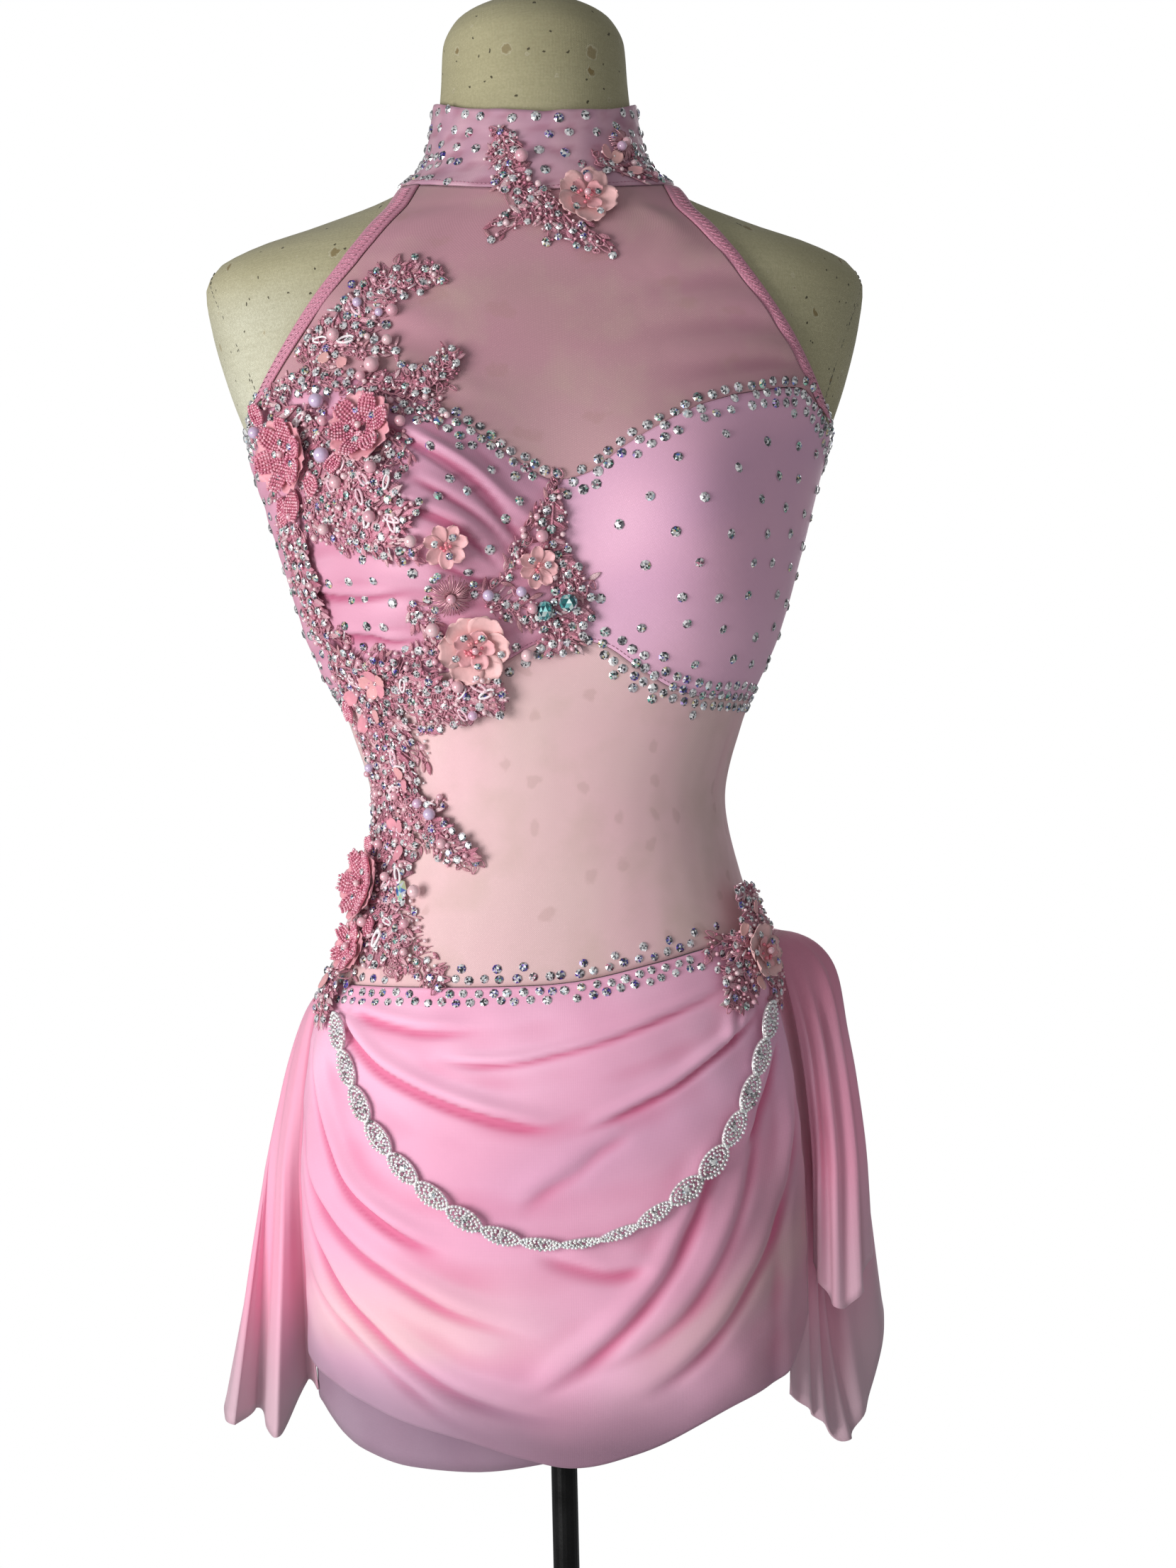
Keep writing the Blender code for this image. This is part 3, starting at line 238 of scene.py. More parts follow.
# Lace branches: their half width and leaf pairs, then the stem's points as (angle, height)
LEAF_DIP = 0.38
LACE_TAPER = (0.12, 0.88)
LACES = [
    # name, surface, lift, half_width, leaves, stem
    ("lace_armhole", "body", 0.0036, 0.0125, 4,
     [(-41, 1.187), (-32, 1.199), (-25, 1.216), (-19.5, 1.226), (-13, 1.227)]),
    ("lace_bust_branch", "body", 0.0058, 0.0090, 3,
     [(-30, 1.170), (-24, 1.167), (-17, 1.170), (-12, 1.182)]),
    ("lace_collar", "body", 0.0042, 0.0100, 4,
     [(-22, 1.311), (-14, 1.291), (-6, 1.273), (1, 1.257), (5.5, 1.242)]),
    ("lace_bust_body", "body", 0.0080, 0.0230, 5,
     [(-55, 1.160), (-48, 1.136), (-40, 1.116), (-33, 1.098), (-30, 1.088)]),
    ("lace_bust_side", "body", 0.0078, 0.0150, 3,
     [(-62, 1.100), (-63, 1.080), (-62.5, 1.060), (-62, 1.040)]),
    ("lace_bust_centre", "body", 0.0054, 0.0120, 4,
     [(-0.4, 1.107), (-1, 1.084), (1.8, 1.060), (2.4, 1.042), (-3, 1.028)]),
    ("lace_underbust", "body", 0.0080, 0.0150, 5,
     [(-61, 1.024), (-46, 1.017), (-32, 1.007), (-21.5, 1.002), (-12, 1.007)]),
    ("lace_waist_side", "body", 0.0046, 0.0230, 6,
     [(-50, 1.003), (-54, 0.976), (-59, 0.954), (-59, 0.927), (-59, 0.900), (-55, 0.878), (-45, 0.864)]),
    ("lace_waist_branch", "body", 0.0066, 0.0085, 3,
     [(-48, 0.952), (-36, 0.931), (-25, 0.917)]),
    ("lace_hip_right", "hips", 0.0114, 0.0110, 2,
     [(-66.5, 0.850), (-67.5, 0.839), (-68.5, 0.826)]),
    ("lace_hip_left", "hips", 0.0126, 0.0150, 4,
     [(57, 0.895), (58, 0.877), (54, 0.862), (46, 0.848), (39, 0.830)]),
]

# Flowers: where they sit, their size and petals
FLOWERS = [
    # name, surface, angle, height, lift, radius, petals, slot
    ("flower_beaded_a", "body", -53.4, 1.136, 0.0098, 0.0185, 6, "beaded_petal"),
    ("flower_beaded_b", "body", -32.4, 1.141, 0.0078, 0.0180, 6, "beaded_petal"),
    ("flower_small_a", "body", -21.4, 1.082, 0.0068, 0.0125, 6, "peach_petal"),
    ("flower_small_b", "body", -3.4, 1.071, 0.0070, 0.0115, 6, "peach_petal"),
    ("flower_centre", "body", -17.1, 1.031, 0.0064, 0.0190, 6, "peach_petal"),
    ("flower_collar", "body", 10.2, 1.270, 0.0034, 0.0170, 5, "peach_petal"),
    ("flower_waist_a", "body", -67.4, 0.900, 0.0066, 0.0182, 6, "beaded_petal"),
    ("flower_waist_b", "body", -63.4, 0.866, 0.0056, 0.0130, 5, "beaded_petal"),
    ("flower_hip", "hips", 53.7, 0.857, 0.0144, 0.0150, 5, "peach_petal"),
]

# Two large crystal beads at the bust centre
BEADS = [
    # name, angle, height, lift, radius, stretch
    ("crystal_round", 1.4, 1.0535, 0.0122, 0.0050, 1.0),
    ("crystal_drop", -2.2, 1.0490, 0.0086, 0.0042, 1.35),
]


def smooth(knots, values, at):
    """A monotone cubic curve through the knots."""
    knots, values, at = (np.asarray(item, float) for item in (knots, values, at))
    step = np.diff(knots)
    slope = np.diff(values) / step
    before, after = slope[:-1], slope[1:]
    same = before * after > 0
    inner = np.where(same, 2 * before * after / np.where(same, before + after, 1.0), 0.0)
    tangent = np.concatenate([slope[:1], inner, slope[-1:]])
    i = np.clip(np.searchsorted(knots, at) - 1, 0, len(step) - 1)
    t = np.clip((at - knots[i]) / step[i], 0, 1)
    start = (2 * t**3 - 3 * t**2 + 1) * values[i] + (t**3 - 2 * t**2 + t) * step[i] * tangent[i]
    end = (3 * t**2 - 2 * t**3) * values[i + 1] + (t**3 - t**2) * step[i] * tangent[i + 1]
    return start + end


def seam(table, angle):
    """The height of a seam or hem at an angle. A table from 0 to 180 serves both sides."""
    knots, heights = zip(*table)
    turned = (np.asarray(angle, float) + 180) % 360 - 180
    if knots[0] == 0:
        turned = np.abs(turned)
    return smooth(knots, heights, turned)


SECTION_HEIGHTS = np.linspace(BODY[0][0], BODY[-1][0], 4001)
SECTIONS = [smooth(np.array(BODY)[:, 0], column, SECTION_HEIGHTS) for column in np.array(BODY).T[1:]]


def section(height):
    """Half width, front, back, middle and power of the body at a height."""
    return [np.interp(height, SECTION_HEIGHTS, values) for values in SECTIONS]


def body(angle, height):
    """Points of the dress form, front bust mounds included."""
    turn = np.radians(angle)
    half_width, front, back, middle, power = section(height)
    across, along = np.sin(turn), np.cos(turn)
    x = half_width * np.sign(across) * np.abs(across) ** (2 / power)
    reach = np.where(along > 0, front + middle, back - middle)
    y = middle - np.sign(along) * reach * np.abs(along) ** (2 / power)
    mounds = sum(np.exp(-((x - side * BUST_ACROSS) / BUST_WIDE) ** 2) for side in (-1, 1))
    mounds = mounds * np.exp(-((np.asarray(height) - BUST_HEIGHT) / BUST_TALL) ** 2)
    y = y - BUST_REACH * mounds * np.sqrt(np.clip(along, 0, 1))
    return np.stack(np.broadcast_arrays(x, y, height), -1).astype(float)


def hips(angle, height):
    """The body down to the hip, and below it the straight fall of a tight skirt."""
    height = np.asarray(height, float)
    points = body(angle, np.maximum(height, HIP_HEIGHT))
    points[..., :2] *= (1 - HANG_TAPER * np.clip(HIP_HEIGHT - height, 0, 1))[..., None]
    points[..., 2] = height
    return points


SURFACES = {"body": body, "hips": hips}


def lifted(surface, angle, height, lift):
    """Points at a distance off a surface, along its normal."""
    angle, height, lift = np.broadcast_arrays(np.asarray(angle, float), height, lift)
    turn, rise = 0.01, 0.0001
    along = surface(angle + turn, height) - surface(angle - turn, height)
    up = surface(angle, height + rise) - surface(angle, height - rise)
    normal = np.cross(along, up)
    normal /= np.linalg.norm(normal, axis=-1, keepdims=True)
    return surface(angle, height) + normal * lift[..., None]


def metres_per_degree(surface, angle, height):
    """How far one degree runs round the surface."""
    return np.linalg.norm(surface(angle + 0.5, height) - surface(angle - 0.5, height), axis=-1)


def angle_at(across, height):
    """The angle of the front surface at a distance across from the centre."""
    half_width, _, _, _, power = section(height)
    share = np.clip(np.abs(across) / half_width, 0, 1)
    return np.sign(across) * np.degrees(np.arcsin(share ** (power / 2)))


def ramp(share):
    """A soft step from 0 to 1."""
    share = np.clip(share, 0, 1)
    return share * share * (3 - 2 * share)


def to_segment(across, height, start, end):
    """Distance of points to the stretch between two places, and how far along it they lie."""
    start, end = np.array(start), np.array(end)
    run = end - start
    offset = np.stack([across - start[0], height - start[1]], -1)
    share = np.clip(offset @ run / (run @ run), 0, 1)
    return np.linalg.norm(offset - share[..., None] * run, axis=-1), share


def pleat_rise(down, across):
    """How far the pleats of the draped cup stand out: down from 0 to 1, across from side to centre."""
    fade = np.sin(np.pi * np.interp(across, (0, 1), PLEAT_FADE))
    return PLEAT_RISE * fade * np.sin(np.pi * PLEATS * down) ** 2


def swag_line(row):
    """The crest of one swag as points (metres round the hip, height)."""
    right_angle, right_height, low_angle, low_height, left_angle, left_height = row[:6]
    share = np.linspace(-1, 1, SWAG_STEPS)
    angle = np.where(share < 0, low_angle + (low_angle - right_angle) * share,
                     low_angle + (left_angle - low_angle) * share)
    top = np.where(share < 0, right_height, left_height)
    height = low_height + (top - low_height) * np.abs(share) ** 2
    return hip_metres(angle), height


def hip_metres(angle):
    """Angles as metres round the hip, at its mean radius."""
    return np.radians(angle) * HIP_RADIUS


def drape_rise(angle, height):
    """How far the swags of the front drape stand out. They die away at its two sides."""
    across = hip_metres(angle)
    calm = ramp((angle - DRAPE_RIGHT_EDGE[0][1]) / DRAPE_EDGE_CALM)
    calm = calm * ramp((DRAPE_LEFT_EDGE[-1][1] - angle) / DRAPE_EDGE_CALM)
    calm = DRAPE_CALM + (1 - DRAPE_CALM) * calm
    down = np.clip((seam(WAIST_SEAM, angle) - height) / SKIRT_LENGTH, 0, 1)
    rise = DRAPE_PUFF * down
    for row in SWAGS:
        crest, width = row[6:]
        line_across, line_height = swag_line(row)
        away = np.full(np.shape(across), np.inf)
        for i in range(len(line_across) - 1):
            start = (line_across[i], line_height[i])
            end = (line_across[i + 1], line_height[i + 1])
            away = np.minimum(away, to_segment(across, height, start, end)[0])
        rise = rise + calm * crest * np.exp(-(away / width) ** 2)
    return rise + OVER_FLOUNCE * ramp((angle - OVER_FLOUNCE_FROM) / OVER_FLOUNCE_RUN)


def drape_top(angle, height):
    """The lift of the front drape's outer face."""
    inside = SKIRT_CLEAR + MESH_THICK + 2 * GAP + drape_rise(angle, height)
    return inside + DRAPE_THICK


def spline(table, steps):
    """A smooth run through a table's rows, steps points for each."""
    table = np.array(table, float)
    at = np.linspace(0, len(table) - 1, (len(table) - 1) * steps + 1)
    i = np.minimum(at.astype(int), len(table) - 2)
    t = (at - i)[:, None]
    padded = np.concatenate([[2 * table[0] - table[1]], table, [2 * table[-1] - table[-2]]])
    before, start, end, after = (padded[i + k] for k in range(4))
    bend = 2 * before - 5 * start + 4 * end - after
    twist = 3 * start - before - 3 * end + after
    return 0.5 * (2 * start + (end - before) * t + bend * t**2 + twist * t**3)


def flare_grid(table, rows, steps, root):
    """The mid surface of a flared sheet and its normals. root is its lift at the waist seam."""
    hip_angle, lift, puff, hem_x, hem_y, hem_height, ease = spline(table, steps).T
    start = seam(WAIST_SEAM, hip_angle) - FLARE_DROP
    down = np.linspace(0, 1, rows)[:, None] ** ROW_CROWD
    height = start + (hem_height - start) * down
    swell = root + (lift - root) * (1 - np.exp(-down / ROOT_RUN))
    swell = swell + puff * np.exp(-((down - PUFF_AT) / PUFF_RUN) ** 2)
    points = lifted(hips, hip_angle, height, swell)
    foot = lifted(hips, hip_angle, hem_height, lift)
    points[..., 0] += (hem_x - foot[:, 0]) * down ** ease
    points[..., 1] += (hem_y - foot[:, 1]) * down ** (ease + FOLD_LATE)
    normal = np.cross(np.gradient(points, axis=1), np.gradient(points, axis=0))
    normal /= np.linalg.norm(normal, axis=-1, keepdims=True)
    return points, normal


# ---- Small helpers ----

# A full turn, as the random draws take it
ROUND = 6.28


def rgb(red, green, blue):
    """A screen colour, 0 to 255, as the linear one that a shader takes."""
    share = np.array([red, green, blue]) / 255
    return np.where(share < 0.04045, share / 12.92, ((share + 0.055) / 1.055) ** 2.4)


def unit(vectors):
    return vectors / np.maximum(np.linalg.norm(vectors, axis=-1, keepdims=True), 1e-12)


def waves(points, size, seed):
    """Smooth uneven values, mostly -1 to 1, with patches of about a size in metres."""
    draw = np.random.default_rng(seed)
    total = np.zeros(points.shape[:-1])
    for octave in (1, 2):
        for _ in range(6):
            way = unit(draw.normal(size=points.shape[-1]))
            pitch = 2 * np.pi / size * octave * draw.uniform(0.6, 1.4)
            total += np.sin(points @ way * pitch + draw.uniform(0, ROUND)) / octave
    return total / 3.2


def blurred(values, cells):
    """A grid of values averaged over a square of cells."""
    for axis in (0, 1):
        pads = [(0, 0), (0, 0)]
        pads[axis] = (cells + 1, cells)
        total = np.cumsum(np.pad(values, pads, mode="edge"), axis=axis)
        first = np.take(total, range(2 * cells + 1, total.shape[axis]), axis=axis)
        values = (first - np.take(total, range(total.shape[axis] - 2 * cells - 1), axis=axis)) / (2 * cells + 1)
    return values


def mixed(start, end, share):
    """Colours between two, for an array of shares. A tuple is a screen colour."""
    start, end = (rgb(*item) if isinstance(item, tuple) else item for item in (start, end))
    share = np.clip(np.asarray(share, float), 0, 1)[..., None]
    return np.asarray(start) * (1 - share) + np.asarray(end) * share


def mottled(first, second, place, size, seed):
    """Two screen colours that run into each other in soft patches."""
    return mixed(first, second, 0.5 + 0.5 * waves(place, size, seed))


def palette(*tones):
    """Screen colours as rows of linear ones."""
    return np.array([rgb(*tone) for tone in tones])


def flat_place(angle, height):
    """Places on the body as plain metres round and up."""
    return np.stack(np.broadcast_arrays(hip_metres(angle), height), -1)


# ---- Meshes from arrays ----

def build(name, points, faces, material, smooth_faces=True, uv=None, tint=None, facets=None):
    """One mesh object. faces is a list of index arrays, one for each number of corners."""
    points = np.asarray(points, np.float32).reshape(-1, 3)
    mesh = bpy.data.meshes.new(name)
    mesh.vertices.add(len(points))
    mesh.vertices.foreach_set("co", points.ravel())
    loops = np.concatenate([np.asarray(group).ravel() for group in faces]).astype(np.int32)
    totals = np.concatenate([np.full(len(group), np.shape(group)[1]) for group in faces])
    starts = np.concatenate([[0], np.cumsum(totals)[:-1]]).astype(np.int32)
    mesh.loops.add(len(loops))
    mesh.loops.foreach_set("vertex_index", loops)
    mesh.polygons.add(len(totals))
    mesh.polygons.foreach_set("loop_start", starts)
    mesh.update(calc_edges=True)
    mesh.polygons.foreach_set("use_smooth", np.full(len(totals), smooth_faces))
    if uv is not None:
        layer = mesh.uv_layers.new(name="cloth")
        layer.data.foreach_set("uv", np.asarray(uv, np.float32).reshape(-1, 2)[loops].ravel())
    for domain, colours in (("POINT", tint), ("FACE", facets)):
        if colours is not None:
            colours = np.asarray(colours, np.float32).reshape(-1, 3)
            colours = np.concatenate([colours, np.ones((len(colours), 1), np.float32)], 1)
            made = mesh.attributes.new("tint", "FLOAT_COLOR", domain)
            made.data.foreach_set("color", colours.ravel())
    mesh.materials.append(material)
    made = bpy.data.objects.new(name, mesh)
    bpy.context.scene.collection.objects.link(made)
    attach(made, "root")
    return made


def volume(points, quads):
    a, b, c, d = (points[quads[:, k]] for k in range(4))
    return (np.cross(b, c) * a).sum() + (np.cross(c, d) * a).sum()


def shell_faces(rows, columns, closed):
    """Faces of a thin wall between an inner and an outer grid of points."""
    row = np.arange(rows - 1)[:, None]
    column = np.arange(columns if closed else columns - 1)[None]
    after = (column + 1) % columns
    a, b = row * columns + column, row * columns + after
    quads = np.stack([a, b, b + columns, a + columns], -1).reshape(-1, 4)
    shift = rows * columns
    parts = [quads, quads[:, ::-1] + shift]
    a, b = column.ravel(), after.ravel()
    parts.append(np.stack([b, a, a + shift, b + shift], -1))
    a, b = a + (rows - 1) * columns, b + (rows - 1) * columns
    parts.append(np.stack([a, b, b + shift, a + shift], -1))
    if not closed:
        a = row.ravel() * columns
        parts.append(np.stack([a, a + columns, a + columns + shift, a + shift], -1))
        a = a + columns - 1
        parts.append(np.stack([a + columns, a, a + shift, a + columns + shift], -1))
    return np.concatenate(parts)


def shell(name, inner, outer, material, slot, node=None, held="stretched", rests_on=(), closed=False,
          tint=None, uv=None, with_pieces=()):
    """A sheet of cloth between two grids."""
    rows, columns = inner.shape[:2]
    points = np.concatenate([inner.reshape(-1, 3), outer.reshape(-1, 3)])
    faces = shell_faces(rows, columns, closed)
    if volume(points, faces) < 0:
        faces = faces[:, ::-1]
    double = [None if item is None else np.concatenate([item.reshape(-1, item.shape[-1])] * 2)
              for item in (uv, tint)]
    made = build(name, points, [faces], material, uv=double[0], tint=double[1])
    if node:
        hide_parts(node)
    return made


def rows_between(angles, top, foot, rows, gap=0.0, crowd=1.0):
    """A grid of angles and heights from an upper seam to a lower one. crowd above 1 crowds the rows at the top."""
    share = np.linspace(0, 1, rows)[:, None] ** crowd
    top, foot = seam(top, angles) - gap, seam(foot, angles) + gap
    return np.broadcast_to(angles, (rows, len(angles))), top + (foot - top) * share


def panel_angles(start, end, columns):
    """Even angles of a panel, which stops half a gap short of its side seams."""
    half_gap = np.degrees(GAP / 2 / SEAM_RADIUS)
    return np.linspace(start + half_gap, end - half_gap, columns)


def grid_normal(points):
    return unit(np.cross(np.gradient(points, axis=1), np.gradient(points, axis=0)))


def lengths(points):
    """How far along a line each of its points lies."""
    return np.concatenate([[0], np.cumsum(np.linalg.norm(np.diff(points, axis=0), axis=1))])


def worn(name, node, surface, angle, height, outside, thick, colours, look, slot, rests_on=("form_linen",), **facts):
    """A panel over the body. outside is the lift of its outer face, whose points it gives back."""
    outside = np.broadcast_to(outside, angle.shape)
    inner = lifted(surface, angle, height, outside - thick)
    outer = lifted(surface, angle, height, outside)
    shell(name, inner, outer, look, slot, node, rests_on=rests_on, tint=colours, uv=flat_place(angle, height), **facts)
    return outer


def frame_at(surface, lift, angle, height, extra=0.0):
    """Points on a cloth's outer face and its normals there."""
    angle, height = np.asarray(angle, float), np.asarray(height, float)
    turn, rise = 0.25, 0.0006

    def at(a, h):
        return lifted(surface, a, h, lift(a, h))

    along = at(angle + turn, height) - at(angle - turn, height)
    up = at(angle, height + rise) - at(angle, height - rise)
    normal = unit(np.cross(along, up))
    return at(angle, height) + normal * np.asarray(extra)[..., None], normal


def level(lift):
    """A lift that is the same everywhere."""
    return lambda angle, height: lift + 0 * height


def frame_off(surface, lift, angle, height):
    """Points at one lift off the body or the hips, and the normals there."""
    return frame_at(surface, level(lift), np.atleast_1d(angle), np.atleast_1d(height))


def standing(surface, angle, height, lift, high):
    """Points at a lift, and the way from them to the same places at a higher one."""
    place = lifted(surface, angle, height, lift)
    return place, unit(lifted(surface, angle, height, high) - place)


def plane_axes(normal):
    """Two ways at right angles in the plane across a normal, and the normal."""
    first = unit(np.cross([0, 0, 1.0], normal))
    return first, np.cross(normal, first), normal


def set_down(local, turn, place, axes):
    """Points of a small form, turned in its own plane and set at a place."""
    first, second, normal = axes
    x = local[:, 0] * np.cos(turn) - local[:, 1] * np.sin(turn)
    y = local[:, 0] * np.sin(turn) + local[:, 1] * np.cos(turn)
    return place + x[:, None] * first + y[:, None] * second + local[:, 2:] * normal


def set_round(reach, turn, up, place, axes):
    """Points round a place, each at its reach and turn and up off the plane."""
    local = np.stack(np.broadcast_arrays(reach * np.cos(turn), reach * np.sin(turn), up), -1)
    return set_down(np.atleast_2d(local), 0.0, place, axes)


def scatter(name, template, place, normal, size, material, spin=None, seed=0,
            smooth_faces=True, tint=None, facets=None, toward=None):
    """Many copies of a small form in one mesh. size is one number a copy, or three."""
    points, groups = template
    count, many = len(place), len(points)
    size = np.asarray(size, float)
    size = np.broadcast_to(size[..., None] if size.ndim < 2 else size, (count, 3))
    if toward is None:
        spin = np.random.default_rng(seed).uniform(0, 2 * np.pi, count) if spin is None else spin
        reference = np.where(np.abs(normal[:, 2:]) < 0.9, [[0, 0, 1.0]], [[1.0, 0, 0]])
        first = unit(np.cross(reference, normal))
        second = np.cross(normal, first)
        turn = np.asarray(spin)[:, None]
        first, second = (first * np.cos(turn) + second * np.sin(turn),
                         second * np.cos(turn) - first * np.sin(turn))
    else:
        first = unit(toward - (toward * normal).sum(-1, keepdims=True) * normal)
        second = np.cross(normal, first)
    basis = np.stack([first, second, normal], 1)
    all_points = place[:, None] + np.einsum("nvk,nkx->nvx", points[None] * size[:, None], basis)
    shift = (np.arange(count) * many)[:, None, None]
    faces = [(group[None] + shift).reshape(-1, group.shape[1]) for group in groups]
    if tint is not None:
        tint = np.repeat(np.asarray(tint)[:, None], many, axis=1)
    if facets is not None:
        facets = np.concatenate([group.reshape(-1, 3) for group in facets])
    return build(name, all_points, faces, material, smooth_faces, tint=tint, facets=facets)


def ball(sides, rings):
    """A round bead of radius 1, standing on 0."""
    tilt = np.linspace(-np.pi / 2, np.pi / 2, rings + 1)[1:-1]
    turn = np.linspace(0, 2 * np.pi, sides, endpoint=False)
    ring = np.stack([np.cos(turn), np.sin(turn)], -1)
    points = [(0, 0, 0)]
    for angle in tilt:
        points += [(x * np.cos(angle), y * np.cos(angle), 1 + np.sin(angle)) for x, y in ring]
    points.append((0, 0, 2))
    i = np.arange(sides)
    after = (i + 1) % sides
    quads = [np.stack([1 + k * sides + i, 1 + k * sides + after, 1 + (k + 1) * sides + after,
                       1 + (k + 1) * sides + i], -1) for k in range(len(tilt) - 1)]
    last = 1 + (len(tilt) - 1) * sides
    caps = np.concatenate([np.stack([0 * i, 1 + after, 1 + i], -1),
                           np.stack([0 * i + len(points) - 1, last + i, last + after], -1)])
    return np.array(points, float), [np.concatenate(quads), caps]


def gem(sides=8, table=0.55, top=0.46, girdle=0.14):
    """A flat-backed cut stone of radius 1."""
    turn = np.linspace(0, 2 * np.pi, sides, endpoint=False)
    half = turn + np.pi / sides
    points = [(np.cos(t), np.sin(t), 0) for t in turn]
    points += [(np.cos(t), np.sin(t), girdle) for t in turn]
    points += [(np.cos(t) * table, np.sin(t) * table, top) for t in half]
    points.append((0, 0, top * 1.04))
    i = np.arange(sides)
    after = (i + 1) % sides
    foot = i[::-1][None]
    wall = np.stack([i, after, sides + after, sides + i], -1)
    crown = np.concatenate([np.stack([sides + i, sides + after, 2 * sides + i], -1),
                            np.stack([2 * sides + i, sides + after, 2 * sides + after], -1)])
    fan = np.stack([2 * sides + i, 2 * sides + after, 0 * i + 3 * sides], -1)
    return np.array(points, float), [foot, wall, np.concatenate([crown, fan])]


def tube(path, radius, sides, normal=None):
    """A closed tube along a path of points."""
    path = np.asarray(path, float)
    run = unit(np.gradient(path, axis=0))
    if normal is None:
        normal = np.broadcast_to([0.0, 0, 1.0], path.shape)
    side = unit(np.cross(run, normal))
    up = np.cross(side, run)
    turn = np.linspace(0, 2 * np.pi, sides, endpoint=False)
    radius = np.broadcast_to(radius, (len(path),))
    rings = side[:, None] * np.cos(turn)[None, :, None] + up[:, None] * np.sin(turn)[None, :, None]
    points = path[:, None] + rings * radius[:, None, None]
    i, k = np.arange(sides)[None], np.arange(len(path) - 1)[:, None]
    after = (i + 1) % sides
    quads = np.stack([k * sides + i, k * sides + after, (k + 1) * sides + after, (k + 1) * sides + i], -1)
    caps = np.stack([np.arange(sides)[::-1], np.arange(sides) + (len(path) - 1) * sides])
    return points.reshape(-1, 3), [quads.reshape(-1, 4), caps]


def joined(parts):
    """Several (points, faces) in one, with faces grouped by their number of corners."""
    points, groups, shift = [], {}, 0
    for some, faces in parts:
        points.append(some)
        for group in faces:
            groups.setdefault(group.shape[1], []).append(group + shift)
        shift += len(some)
    return np.concatenate(points), [np.concatenate(groups[key]) for key in sorted(groups)]


def strands(name, parts, look, colour):
    """Small closed forms as one mesh in one screen colour."""
    points, faces = joined(parts)
    return build(name, points, faces, look, tint=np.broadcast_to(rgb(*colour), (len(points), 3)))


def stacked(rows):
    """Rows of arrays as columns, each joined into one array."""
    return [np.concatenate(item) for item in zip(*rows)]


def run_of(surface, angle, height):
    """How far a degree goes round at each place of a line, and the line's steps in metres."""
    reach = metres_per_degree(surface, angle, height)
    return reach, np.stack([np.gradient(angle) * reach, np.gradient(height)], -1)


def aside(angle, height, reach, run_x, run_z, side):
    """Angle and height at a distance aside of a line."""
    return angle - run_z * side / reach, height + run_x * side


def along(line, surface, spacing, offset=0.0, start=0.0):
    """Places at even spacing along a line of (angle, height), moved sideways by an offset."""
    angle, height = line
    reach, run = run_of(surface, angle, height)
    length = np.concatenate([[0], np.cumsum(np.linalg.norm(run, axis=-1)[1:])])
    run = unit(run)
    at = np.arange(start * spacing, length[-1], spacing)
    return aside(*(np.interp(at, length, values) for values in (angle, height, reach, run[:, 0], run[:, 1])), offset)


def stitches(surface, lift, line, spacing, offset, long, above, radius, sides):
    """Small straight stitches along a line. long is a stitch's share of the spacing."""
    starts, ends = (along(line, surface, spacing, offset, start) for start in (0.0, long))
    count = min(len(starts[0]), len(ends[0]))
    (first, normal), (last, _) = (frame_at(surface, lift, a[:count], z[:count], np.full(count, above))
                                  for a, z in (starts, ends))
    return [tube(np.linspace(first[k], last[k], 3), radius, sides, normal=normal[k:k + 1].repeat(3, 0))
            for k in range(count)]


# ---- Lifts of the cloth's outer faces ----

# Soft pulls in the yoke: where they run, how high and how wide
YOKE_PULLS = [
    # points as (angle, height), rise, width
    ([(52, 1.183), (36, 1.190), (14, 1.183)], 0.0016, 0.0075),
    ([(55, 1.172), (40, 1.172), (20, 1.160)], 0.0015, 0.0060),
    ([(48, 1.200), (30, 1.213), (10, 1.205)], 0.0014, 0.0085),
    ([(42, 1.222), (26, 1.236), (12, 1.228)], 0.0011, 0.0085),
    ([(-44, 1.215), (-26, 1.212), (-12, 1.196)], 0.0012, 0.0080),
    ([(-22, 1.268), (-20, 1.235), (-26, 1.205)], 0.0010, 0.0070),
    ([(24, 1.270), (20, 1.250), (10, 1.225)], 0.0010, 0.0070),
    ([(-40, 1.186), (-24, 1.182), (-8, 1.160)], 0.0012, 0.0065),
]
